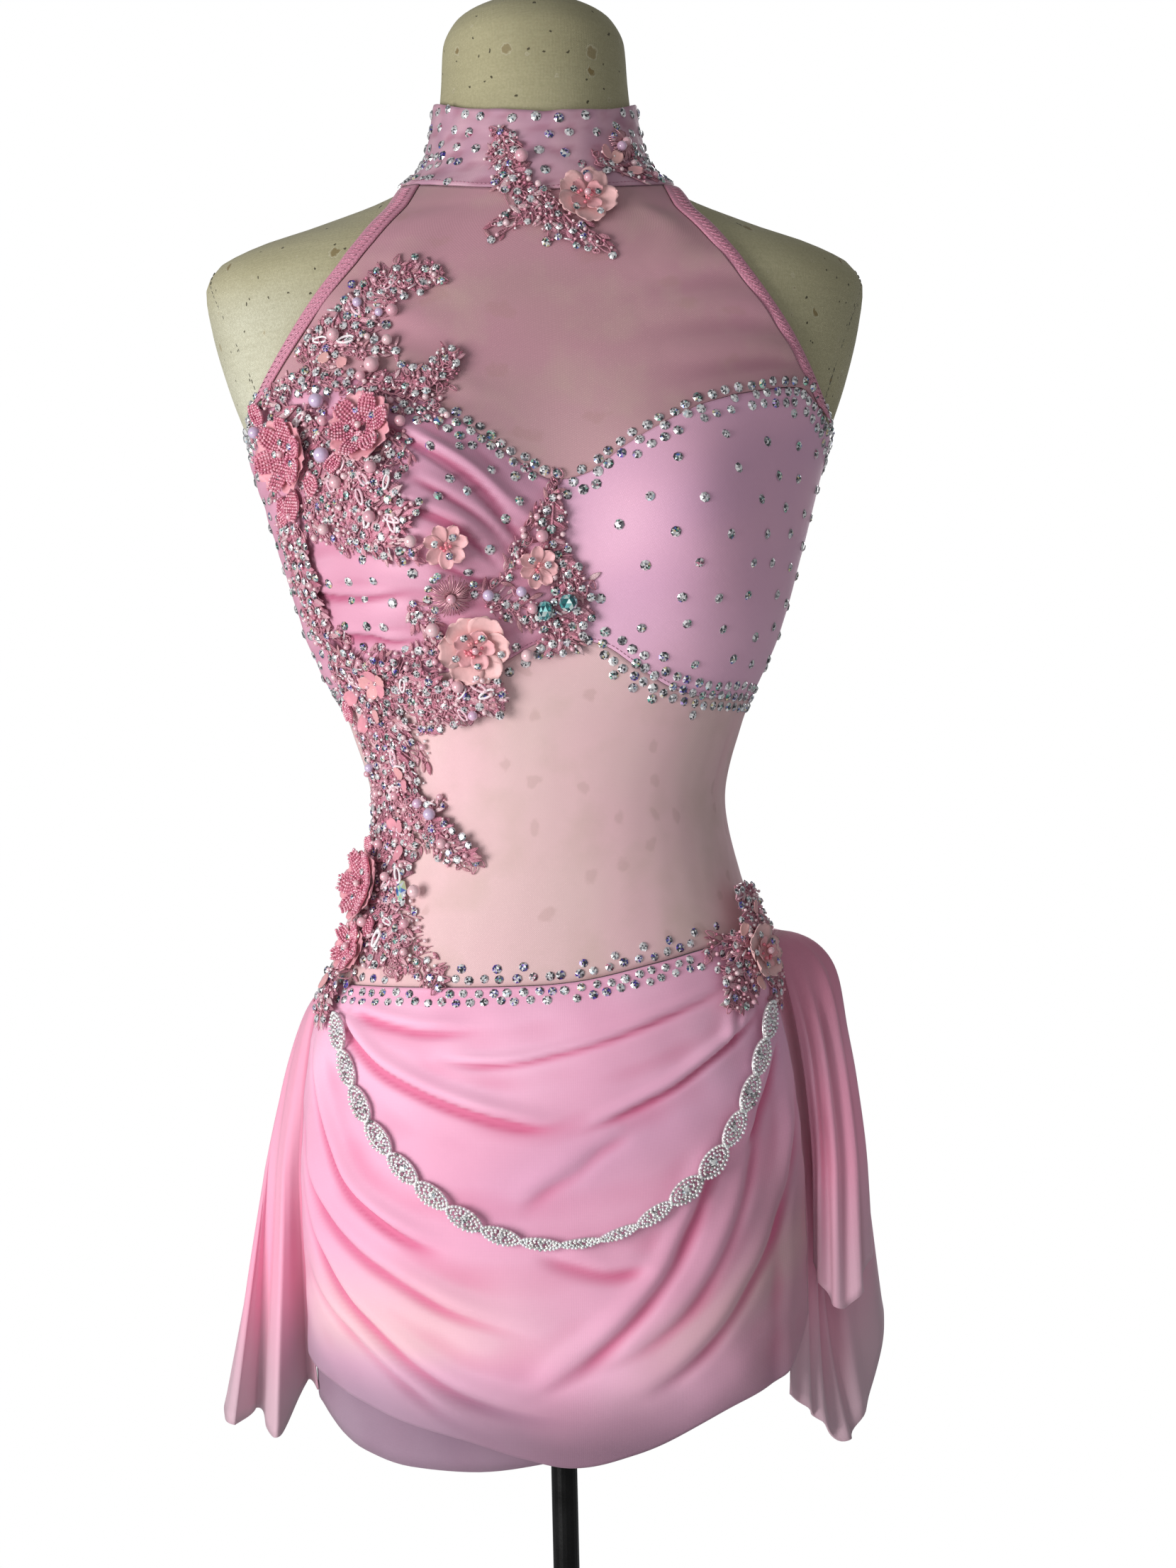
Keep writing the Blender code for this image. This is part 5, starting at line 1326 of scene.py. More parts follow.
def make_cups():
    angles = panel_angles(-SIDE, 0, 76)
    crowd = SIDE_CROWD + (CENTRE_CROWD - SIDE_CROWD) * (angles + SIDE) / SIDE
    angle, height = rows_between(angles, BUST_TOP, BUST_FOOT, 110, crowd=crowd)
    lift = draped_lift(angle, height)
    tone = mottled((222, 158, 184), (230, 168, 194), flat_place(angle, height), 0.06, 33)
    tone = mixed(tone, (210, 156, 184), ramp((height - 1.07) / 0.05) * ramp((angle + 52) / 20) * 0.55)
    # Painted shade: deep pink in the hollows between the cup's pleats and tucks.
    tone = painted_fold_shade(tone, (186, 92, 128), lift, 5, 0.0014, 0.85)
    worn("draped_cup_folds", "draped_cup", body, angle, height, lift, 0.0013, tone, CUP, "cup_lycra")
    angle, height = rows_between(panel_angles(0, SIDE, 60), BUST_TOP, BUST_FOOT, 60)
    tone = mottled((235, 181, 208), (227, 175, 205), flat_place(angle, height), 0.08, 34)
    # Painted light: paler towards the cup's foot, lifting the shade that falls there.
    tone = mixed(tone, (246, 196, 222), 0.4 * ramp((1.066 - height) / 0.034))
    worn("plain_cup_smooth", "plain_cup", body, angle, height, plain_lift(angle, height), 0.0013, tone, CUP,
         "cup_lycra")
    angle, height = rows_between(panel_angles(SIDE, 360 - SIDE, 150), BUST_TOP, BUST_FOOT, 26)
    tone = mottled((222, 168, 194), (214, 162, 190), flat_place(angle, height), 0.08, 35)
    worn("back_band_smooth", "back_band", body, angle, height, back_band_lift(angle, height), 0.0013, tone, CUP,
         "cup_lycra")


def make_midriff():
    for name, start, end, columns in (("midriff_front", -SIDE, SIDE, 92), ("midriff_back", SIDE, 360 - SIDE, 60)):
        angle, height = rows_between(panel_angles(start, end, columns), BUST_FOOT, WAIST_SEAM, 54, GAP)
        turned = (angle + 180) % 360 - 180
        lift = midriff_lift(turned, height)
        tone = mottled((236, 196, 201), (231, 199, 198), flat_place(turned, height), 0.09, 36)
        # Painted shade: slightly deeper in the hollows of the net's wrinkles.
        tone = painted_fold_shade(tone, (216, 168, 176), lift, 4, 0.0006, 0.4)
        worn(name + "_net", name, body, angle, height, lift, 0.0007, tone, NET, "stretch_mesh")


def make_underskirt():
    angle, height = rows_between(np.linspace(-180, 180, 144, endpoint=False), WAIST_SEAM, UNDERSKIRT_HEM, 36)
    place = flat_place(angle, height)
    lift = SKIRT_CLEAR + MESH_THICK - 0.0002 + 0.0002 * waves(place, 0.04, 37)
    tone = mottled((154, 128, 147), (140, 112, 133), place, 0.07, 38)
    # Painted shade: darker at the front middle, below the drape.
    tone = mixed(tone, (128, 98, 116), 0.55 * np.exp(-((angle - 4) / 34) ** 2))
    # Painted light: brighter pink at the sides above the flounces, lifting the shade in the crevice there.
    tone = mixed(tone, (244, 150, 182), ramp((np.abs(angle) - 62) / 12) * ramp((height - 0.63) / 0.03))
    worn("underskirt_tube", "underskirt", hips, angle, height, lift, 0.0009, tone, UNDER, "underskirt_cloth",
         closed=True)


def drape_tone(angle, height, lift):
    """Bright pink in the middle, peach low down, mauve-grey at the hem, partly its own colour and partly painted shade
    darkest at the middle, greyer to the wearer's left with painted shade, and deeper in the folds' hollows with painted
    shade.
    """
    place = flat_place(angle, height)
    tone = mottled((248, 188, 216), (242, 176, 206), place, 0.09, 41)
    tone = mixed(tone, (232, 162, 192), 0.6 * ramp((0.80 - height) / 0.03) * ramp((height - 0.66) / 0.04))
    tone = mixed(tone, (222, 166, 198), 0.6 * np.exp(-((height - 0.745 - 0.0011 * (angle + 8)) / 0.022) ** 2)
                 * ramp((angle + 26) / 20))
    # Painted shade: greyer low down towards the wearer's left, the side away from the key light.
    tone = mixed(tone, (166, 122, 136), 0.72 * ramp((angle - 22) / 30) * ramp((0.79 - height) / 0.08))
    peach = ramp((0.715 - height) / 0.05) * ramp((height - 0.640) / 0.02)
    tone = mixed(tone, (232, 190, 194), 0.75 * peach * ramp(1.2 - np.abs(angle + 46) / 46))
    beige = np.exp(-((height - 0.655 - 0.0012 * (angle - 20)) / 0.018) ** 2) * ramp((angle - 2) / 24)
    tone = mixed(tone, (206, 172, 170), 0.50 * beige)
    edge = smooth((-80, -60, -25, 5, 40, 70), (0.658, 0.651, 0.636, 0.622, 0.621, 0.632), angle)
    edge = edge + 0.0018 * waves(place, 0.05, 42)
    # Mauve at the hem: partly the cloth's own colour, partly painted shade that is darkest at the middle, where the
    # cloth turns under.
    mauve = mixed((158, 130, 152), (132, 102, 120), np.exp(-((angle - 6) / 34) ** 2))
    tone = mixed(tone, mauve, 0.92 * ramp((edge - height) / 0.046 + 0.5))
    # Painted shade: the deep pink of the folds' hollows, duller near the hem.
    deep = mixed((206, 92, 134), (140, 96, 122), ramp((0.66 - height) / 0.04))
    return painted_fold_shade(tone, deep, lift, 8, 0.0026, 0.80)


def make_drape():
    down = np.linspace(0, 1, 134)[:, None]
    right, left = (smooth(*zip(*edge), down) for edge in (DRAPE_RIGHT_EDGE, DRAPE_LEFT_EDGE))
    angle = right + (left - right) * np.linspace(0, 1, 176)
    top = seam(WAIST_SEAM, angle) - GAP
    height = top + (seam(DRAPE_HEM, angle) - top) * down
    lift = drape_lift(angle, height)
    thick = 0.0009 + 0.0004 * ramp((down - 0.975) / 0.01)
    worn("front_drape_folds", "front_drape", hips, angle, height, lift, thick, drape_tone(angle, height, lift),
         CREPE, "drape_cloth", ["underskirt_tube"], held="draped")


FLARE_FINE = 9
FLARE_ROWS_FINE = 54
TURNED = 12
# Soft folds of the hung cloths: middle and width in rows of the table, rise, where each starts, how far it leans
SKIRT_FOLDS = [
    (26.4, 0.32, 0.0050, 0.05, 0.5), (27.6, 0.26, 0.0040, 0.30, 0.2), (28.6, 0.30, 0.0050, 0.35, 0.3),
    (29.6, 0.30, 0.0040, 0.40, 0.1),
]
CASCADE_FOLDS = [
    (0.9, 0.30, 0.0046, 0.04, 0.2), (2.1, 0.26, 0.0056, 0.02, 0.3), (3.3, 0.26, 0.0050, 0.06, 0.1),
    (4.4, 0.24, 0.0040, 0.10, 0.0),
]


def turned_side(points, down):
    """The front cone's side that turns in behind the drape's edge, as columns up to the cone's own first one."""
    edge, after = points[:, 0], points[:, 2]
    below = seam(DRAPE_HEM, np.array(-82.0)) - 0.004 - edge[:, 2]
    angle = -82.4 - 1.4 * down[:, 0] + 2.8 * ramp(below / 0.020)
    foot = lifted(hips, angle, edge[:, 2], SKIRT_CLEAR + MESH_THICK + 0.0012 - 0.0005 * ramp(below / 0.020))
    gap = np.linalg.norm(edge - foot, axis=-1, keepdims=True)
    bend = edge + unit(edge - after) * 0.45 * gap
    s = np.linspace(0, 1, TURNED)[None, :, None]
    foot, bend, edge = foot[:, None], bend[:, None], edge[:, None]
    return foot * (1 - s) ** 2 + 2 * bend * s * (1 - s) + edge * s ** 2


def flare_points(table, root, seed, folds):
    """The flared sheet's middle and normals, with soft folds between its main ones."""
    points, normal = flare_grid(table, FLARE_ROWS_FINE, FLARE_FINE, root)
    down = np.linspace(0, 1, FLARE_ROWS_FINE)[:, None] ** ROW_CROWD
    column = np.arange(points.shape[1])[None] / FLARE_FINE
    place = np.stack(np.broadcast_arrays(column * 0.02, down * 0.03), -1)
    ripple = waves(place, 0.050, seed) * 0.0007 * ramp((down - 0.18) / 0.5)
    for middle, width, rise, start, lean in folds:
        away = (column - middle - lean * down) / width
        ripple = ripple + rise * ramp((down - start) / 0.25) * np.exp(-away ** 2)
    points = points + normal * ripple[..., None]
    return points, grid_normal(points), down, column


FLARE_TONES = {
    # side: colour at the hem, painted shade colour in the hollows, how deep a hollow is, how much it takes the colour
    "right": ((196, 172, 182), (206, 98, 134), 0.009, 0.55),
    "left": ((214, 176, 192), (150, 62, 88), 0.0035, 0.80),
}


def flare_tone(points, down, side):
    """Pink above, paler and greyer towards the hem, and painted shade deeper in the hollows between the cones."""
    pale, deep, depth, share = FLARE_TONES[side]
    tone = mottled((244, 166, 194), (240, 172, 198), points, 0.07, 51)
    tone = mixed(tone, pale, 0.85 * ramp((down - 0.60) / 0.38))
    # Painted shade: the cascade deeper pink in its upper part, under the drape's edge.
    if side == "left":
        tone = mixed(tone, (196, 118, 142), 0.7 * ramp((0.45 - down) / 0.4))
    return painted_fold_shade(tone, deep, np.linalg.norm(points[..., :2], axis=-1), 7, depth, share)


def make_flares():
    points, normal, down, column = flare_points(FLARE, FLARE_ROOT, 52, SKIRT_FOLDS)
    thick = 0.0007 + 0.0005 * (down > 0.985)
    half = normal * thick[..., None] / 2
    tones = flare_tone(points, down, "right")
    flat = np.stack(np.broadcast_arrays(column * 0.02, down * 0.25), -1)
    turned = turned_side(points, down)
    turned_half = grid_normal(turned) * thick[..., None] / 2
    # Painted shade: the side that turns in behind the drape's edge fades from the flounce's colour into deep pink
    # crevice shade, greyer low down.
    crevice_shade_tone = mixed((214, 112, 146), (184, 142, 158), ramp((down - 0.72) / 0.26))
    deep = mixed(tones[:, :1], crevice_shade_tone, np.linspace(0.9, 0.1, TURNED)[None] ** 0.7)
    beside = np.stack(np.broadcast_arrays(np.linspace(-0.02, 0, TURNED), down * 0.25), -1)
    for name, first, last in FLARE_PIECES:
        part = slice(first * FLARE_FINE, last * FLARE_FINE + 1)
        inside, outside = points[:, part] - half[:, part], points[:, part] + half[:, part]
        tone, uv = tones[:, part], flat[:, part]
        for grid in (inside, outside):
            for end, toward in ((0, 1), (-1, -2)):
                grid[:, end] += unit(grid[:, toward] - grid[:, end]) * GAP / 2
        if first == 0:
            inside, outside, tone, uv = (np.concatenate([start, grid[:, 1:]], 1) for start, grid in (
                (turned - turned_half, inside), (turned + turned_half, outside), (deep, tone), (beside, uv)))
        shell(name + "_cloth", inside, outside, CREPE, "drape_cloth", name, held="hung",
              rests_on=["underskirt_tube"], tint=tone, uv=uv)
    points, normal, down, column = flare_points(CASCADE, CASCADE_ROOT, 53, CASCADE_FOLDS)
    half = normal * thick[..., None] / 2
    uv = np.stack(np.broadcast_arrays(column * 0.02, down * 0.2), -1)
    shell("cascade_cloth", points - half, points + half, CREPE, "drape_cloth", "cascade", held="hung",
          rests_on=["front_drape_folds", "flounce_left_cloth"], tint=flare_tone(points, down, "left"), uv=uv)


# ---- The jewelled chain ----

def chain_lines():
    """The chain's middle line at fine steps: how far along, angle, height, lift, its reach and run."""
    coarse = spline(CHAIN, 8)
    length = lengths(hips(coarse[:, 0], coarse[:, 1]))
    steps = CHAIN_LINKS * 4
    at = np.linspace(0, length[-1], steps + 1)
    angle, height = (np.interp(at, length, values) for values in coarse.T)
    reach, run = run_of(hips, angle, height)
    run = unit(run)
    side = np.array([1, 0, -1]) * CHAIN_WIDE
    crest = drape_lift(*aside(angle[:, None], height[:, None], reach[:, None], run[:, :1], run[:, 1:], side)).max(1)
    for measure in (np.max, np.mean):
        padded = np.pad(crest, CHAIN_SPAN, mode="edge")
        crest = np.array([measure(padded[i:i + 2 * CHAIN_SPAN + 1]) for i in range(steps + 1)])
    return at, angle, height, crest, reach, *run.T


CHAIN_LINE = chain_lines()


def on_chain(at, side, up):
    """Points on the chain, from a distance along it, aside of it and above the cloth, and normals there."""
    angle, height, lift, reach, run_x, run_z = (np.interp(at, CHAIN_LINE[0], values) for values in CHAIN_LINE[1:])
    angle, height = aside(angle, height, reach, run_x, run_z, side)
    normal = unit(lifted(hips, angle, height, lift + 0.01) - lifted(hips, angle, height, lift))
    return lifted(hips, angle, height, lift + CHAIN_REST + up), normal


def silver(draw, count):
    """Colours of small clear stones and silver grains."""
    shade = draw.choice([0.22, 0.50, 0.78, 0.95, 1.0], count, p=[0.02, 0.08, 0.20, 0.34, 0.36])
    return np.clip(shade[:, None] * draw.uniform(0.92, 1.0, (count, 3)), 0, 1)


# The links that the photograph shows wider, and those that turn edge on at the chain's lowest part
LINK_WIDTHS = {7: 0.85, 8: 0.60, 9: 0.45, 10: 0.50, 11: 0.75, 12: 1.15, 13: 1.18}
# A link's rings of grains, the outermost first: width and length as shares of the link's, grain size and count
LINK_RINGS = [(0.94, 0.50, 0.00104, 26), (0.62, 0.38, 0.00090, 20), (0.36, 0.24, 0.00080, 12)]
# A link's small stones: along and across as shares of its size, and how large
LINK_STONES = [
    (-0.16, 0.30, 0.0012), (0.16, 0.30, 0.0012), (-0.16, -0.30, 0.0012), (0.16, -0.30, 0.0012), (-0.25, 0, 0.0010),
    (0.25, 0, 0.0010), (0.5, 0, 0.0014), (0, 0.52, 0.0009), (0, -0.52, 0.0009),
]


def make_chain():
    draw = np.random.default_rng(61)
    pitch = CHAIN_LINE[0][-1] / CHAIN_LINKS
    rims, grains, stones = [], [], []
    for link in range(CHAIN_LINKS):
        middle = (link + 0.5) * pitch
        big = draw.uniform(0.94, 1.04) * LINK_WIDTHS.get(link, 1.0)
        for width, long, grain, count in LINK_RINGS:
            turn = np.linspace(0, 2 * np.pi, count, endpoint=False) + 0.14
            x = middle + pitch * long * np.cos(turn)
            y = np.sign(np.sin(turn)) * CHAIN_WIDE * big * width * np.abs(np.sin(turn)) ** 1.25
            if long == LINK_RINGS[0][1]:
                loop = np.append(np.arange(count), 0)
                ring, normal = on_chain(x[loop], y[loop] * 0.9, 0.0008)
                rims.append(tube(ring, 0.00085, 5, normal=normal))
            place, normal = on_chain(x + draw.normal(0, 0.00012, count), y, 0.0011 + draw.uniform(0, 0.0003, count))
            grains.append((place, normal, grain * draw.uniform(0.92, 1.1, count)))
        spots = [(0, 0, 0.0008, 0.0025 * big)] + [(x, y, 0.0010, size * min(big, 1)) for x, y, size in LINK_STONES]
        for x, y, up, size in spots:
            stones.append((*on_chain(np.array([middle + pitch * x]), np.array([CHAIN_WIDE * y * big]), up), [size]))
    made = strands("chain_setting", rims, METAL, (222, 220, 220))
    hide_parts("crystal_swag")
    place, normal, size = stacked(grains)
    scatter("chain_grains", ball(5, 4), place, normal, size, METAL, seed=62,
            tint=silver(draw, len(place)))
    place, normal, size = stacked(stones)
    template = gem(8, 0.5, 0.62, 0.2)
    scatter("chain_crystals", template, place, normal, size, STONE, seed=63, smooth_faces=False,
            facets=facet_colours(draw, len(place), template, "bright"))


# ---- Cut stones, pearls and beads ----

# Painted reflections: the dark, grey, pale and white facets stand in for what cut stones reflect; the coloured ones are
# the coating's tints with painted glints.
FACET_TONES = {
    # kind: shares of dark, grey, pale, white and coloured facets, and the colours that the last take
    "clear": ((0.16, 0.20, 0.24, 0.34, 0.06), [(200, 225, 235), (230, 215, 235)]),
    "bright": ((0.07, 0.16, 0.27, 0.46, 0.04), [(200, 225, 235), (230, 215, 235)]),
    "teal": ((0.24, 0.22, 0.20, 0.20, 0.14), [(60, 150, 140), (150, 215, 190), (90, 120, 200), (230, 215, 160)]),
    "violet": ((0.24, 0.16, 0.16, 0.20, 0.24), [(52, 40, 150), (96, 70, 190), (40, 60, 120), (190, 160, 230)]),
    "rose": ((0.18, 0.20, 0.22, 0.24, 0.16), [(220, 140, 165), (170, 90, 120), (240, 190, 205)]),
}


def facet_colours(draw, count, template, kind):
    """A colour for each face of each stone, by groups of faces as in the template, as painted reflections and glints.
    """
    shares, glints = FACET_TONES[kind]
    glints = palette(*glints)
    reflection_greys = palette((46, 46, 54), (128, 126, 132), (206, 202, 206), (250, 250, 250))
    found = []
    for group in template[1]:
        shape = (count, len(group))
        pick = draw.choice(5, shape, p=np.array(shares) / sum(shares))
        colours = reflection_greys[np.minimum(pick, 3)]
        glint = glints[draw.integers(len(glints), size=shape)]
        found.append(np.where((pick == 4)[..., None], glint, colours))
    # the girdle is grey all round, a painted reflection
    found[1] = rgb(216, 214, 216) * draw.uniform(0.6, 1.0, (*found[1].shape[:2], 1))
    return found


class Trims:
    """Collects trims by kind until each kind is made as one mesh."""

    def __init__(self):
        self.kept = {}
        self.taken = np.zeros((0, 3))

    def add(self, kind, place, normal, size, blocks=True):
        """Keeps trims. Later ones keep off their places where blocks is set."""
        self.kept.setdefault(kind, []).append((place, normal, np.broadcast_to(size, len(place))))
        if blocks:
            self.taken = np.concatenate([self.taken, place])

    def add_picked(self, kinds, pick, place, normal, size):
        """Keeps stones, each of the kind that was picked for it."""
        for k, (kind, _) in enumerate(kinds):
            chosen = pick == k
            if chosen.any():
                self.add(kind, place[chosen], normal[chosen], size[chosen])

    def clear_of(self, place, gap):
        """Which places keep a gap from all that is there, and from the earlier ones of their own."""
        chosen = []
        near = self.taken
        for i, point in enumerate(place):
            if len(near) == 0 or ((near - point) ** 2).sum(1).min() > gap ** 2:
                chosen.append(i)
                near = np.concatenate([near, point[None]])
        return np.array(chosen, int)


TRIMS = Trims()


def pick_of(draw, kinds, count):
    return draw.choice(len(kinds), count, p=[share for _, share in kinds])


def stones_on(surface, lift, angle, height, draw, kinds, gap, sizes=(0.0027, 0.0029), extra=0.0):
    """Sets stones on a cloth, each of one of the kinds, where there is room."""
    place, normal = frame_at(surface, lift, angle, height, np.full(len(angle), extra))
    keep = TRIMS.clear_of(place, gap)
    pick = pick_of(draw, kinds, len(keep))
    TRIMS.add_picked(kinds, pick, place[keep], normal[keep], draw.choice(sizes, len(keep)))


# ---- Lace, flowers and stones ----

SPLIT = [("clear", 0.46), ("teal", 0.40), ("violet", 0.08), ("rose", 0.06)]
COOL = [("clear", 0.44), ("violet", 0.38), ("teal", 0.12), ("rose", 0.06)]
SOFT_ROSE = [("clear", 0.40), ("rose", 0.30), ("violet", 0.16), ("teal", 0.14)]


def lace_line(row, steps):
    """A lace branch's middle line and how wide it is, at even steps."""
    _, surface, _, half_width, leaves, stem = row
    surface = SURFACES[surface]
    line = spline(stem, 24)
    pick = np.linspace(0, len(line) - 1, steps)
    angle, height = (np.interp(pick, np.arange(len(line)), values) for values in line.T)
    reach, run = run_of(surface, angle, height)
    share = np.linspace(0, 1, steps)
    taper = np.sin(np.pi * np.interp(share, (0, 1), LACE_TAPER)) ** 0.5
    leaf = 1 - LEAF_DIP * (1 - np.abs(np.sin(np.pi * leaves * share)))
    return surface, angle, height, reach, unit(run), half_width * taper * leaf


def lace_at(row, share, side):
    """Angle and height on a branch: share along it, and side from -1 to 1 across it."""
    _, angle, height, reach, run, width = lace_line(row, 121)
    *line, wide = (np.interp(share, np.linspace(0, 1, 121), values) for values in (angle, height, reach, *run.T, width))
    return aside(*line, side * wide)


def leaf_form():
    """An embroidered leaf of length 1 along +X, with a raised rim and rib on a flat foot."""
    rows, columns = 6, 7
    x = np.linspace(0, 1, rows)[:, None]
    across = np.array([[-1, -0.74, -0.33, 0, 0.33, 0.74, 1]])
    width = 0.17 * np.sin(np.pi * np.clip(x, 0.03, 0.985) ** 0.85) ** 0.8
    rise = np.array([[0, 0.068, 0.038, 0.075, 0.038, 0.068, 0]])
    top = np.stack(np.broadcast_arrays(x, across * width, rise * (0.5 + np.sin(np.pi * x) ** 0.5)), -1)
    a = (np.arange(rows - 1)[:, None] * columns + np.arange(columns - 1)[None]).ravel()
    edge = np.arange(rows - 1) * columns
    quads = np.concatenate([np.stack([a + columns, a + columns + 1, a + 1, a], -1),
                            np.stack([edge, edge + columns - 1, edge + 2 * columns - 1, edge + columns], -1)])
    ends = np.stack([np.arange(columns), (rows - 1) * columns + np.arange(columns)[::-1]])
    return top.reshape(-1, 3), [quads, ends]


def ring_form():
    """A flat oval outline of length 1."""
    thick = 0.085
    turn = np.linspace(0, 2 * np.pi, 16)[:-1]
    path = np.stack([0.5 * np.cos(turn), 0.19 * np.sin(turn) * (1 + 0.2 * np.cos(turn)), 0 * turn + thick], -1)
    return tube(path, thick, 5)


def bugle_form():
    """A glass tube bead of length 1 along X."""
    path = np.stack([np.linspace(-0.5, 0.5, 3), np.zeros(3), np.full(3, 0.13)], -1)
    return tube(path, 0.13, 6)


def lace_branch(row, draw):
    """Net ground, stems and leaves of one branch, in the form of its solid."""
    name, _, lift, half_width, leaves, _ = row
    steps = 16 * leaves + 1
    surface, angle, height, reach, run, width = lace_line(row, steps)
    share = np.linspace(0, 1, steps)
    frill = 1 + 0.16 * np.sin(2 * np.pi * leaves * 3.0 * share + 1.0)
    side = np.linspace(1, -1, 11) * (width * frill * 0.86)[:, None]
    side = side + 0.0011 * waves(np.stack(np.broadcast_arrays(share[:, None] * 0.1, side), -1), 0.008, 71)
    angle, height = aside(angle[:, None], height[:, None], reach[:, None], run[:, :1], run[:, 1:], side)
    place = flat_place(angle, height)
    worn(name + "_ground", name, surface, angle, height, lift + 0.0002 * waves(place, 0.006, 72) + 0.0006, 0.0005,
         mottled((216, 150, 168), (192, 122, 144), place, 0.008, 73), GROUND, "lace", ["yoke_net"])
    # stems: the main one, and a side stem to each leaf pair
    parts = []

    def cord(a, z, radius):
        a, z = spline(np.stack([a, z], -1), 3).T
        place, normal = standing(surface, a, z, lift + 0.0011, lift + 0.01)
        parts.append(tube(place, radius * (1 - 0.5 * np.linspace(0, 1, len(place))), 4, normal=normal))

    def leaf_from(share, side):
        """A leaf's foot, its way to the tip and its normal."""
        a, z = lace_at(row, np.clip(share, 0, 1), np.asarray(side))
        (foot, tip), normal = standing(surface, a, z, lift + 0.0007, lift + 0.01)
        return foot, tip - foot, normal[0]

    main = np.linspace(0.02, 0.98, 10)
    cord(*lace_at(row, main, 0.12 * np.sin(main * 9)), 0.0008)
    found = []
    pairs = int(leaves * 2.6)
    rank = [0.45] if half_width < 0.0135 else [0.28, 0.66]
    for k in range(pairs):
        at = (k + 0.5) / pairs
        for hand in (-1, 1):
            for out in rank:
                start, foot_side = at + draw.uniform(-0.02, 0.02), hand * (out - 0.30 + draw.uniform(-0.05, 0.05))
                end = at + 0.55 / pairs + draw.uniform(-0.03, 0.03)
                foot, way, normal = leaf_from([start, end], [foot_side, hand * (out + 0.42)])
                size = np.clip(np.linalg.norm(way) * draw.uniform(0.85, 1.15), 0.0045, 0.0125)
                found.append((foot, way, normal, size))
    # small leaves past the edge at the branch's tip
    found += [(*leaf_from([0.93, 1.0], [turn * 0.4, turn]), 0.0075) for turn in (-0.7, -0.25, 0.25, 0.7)]
    places, towards, normals, sizes = (np.array(item) for item in zip(*found))
    thread = palette((232, 150, 174), (218, 128, 154), (240, 178, 194), (204, 116, 142), (246, 206, 214))
    shades = thread[draw.integers(5, size=len(places))]
    shape = np.stack([sizes, sizes * draw.uniform(0.8, 1.2, len(sizes)), sizes * 1.15], -1)
    scatter(name + "_leaves", leaf_form(), places, normals, shape, THREAD, tint=shades, toward=towards)
    s = np.linspace(0, 1, 4)
    for k in range(pairs):
        for hand in (-1, 1):
            cord(*lace_at(row, np.clip((k + 0.3) / pairs + s * 0.5 / pairs, 0, 1), hand * s * 0.86), 0.0005)
    strands(name + "_stems", parts, THREAD, (226, 148, 170))


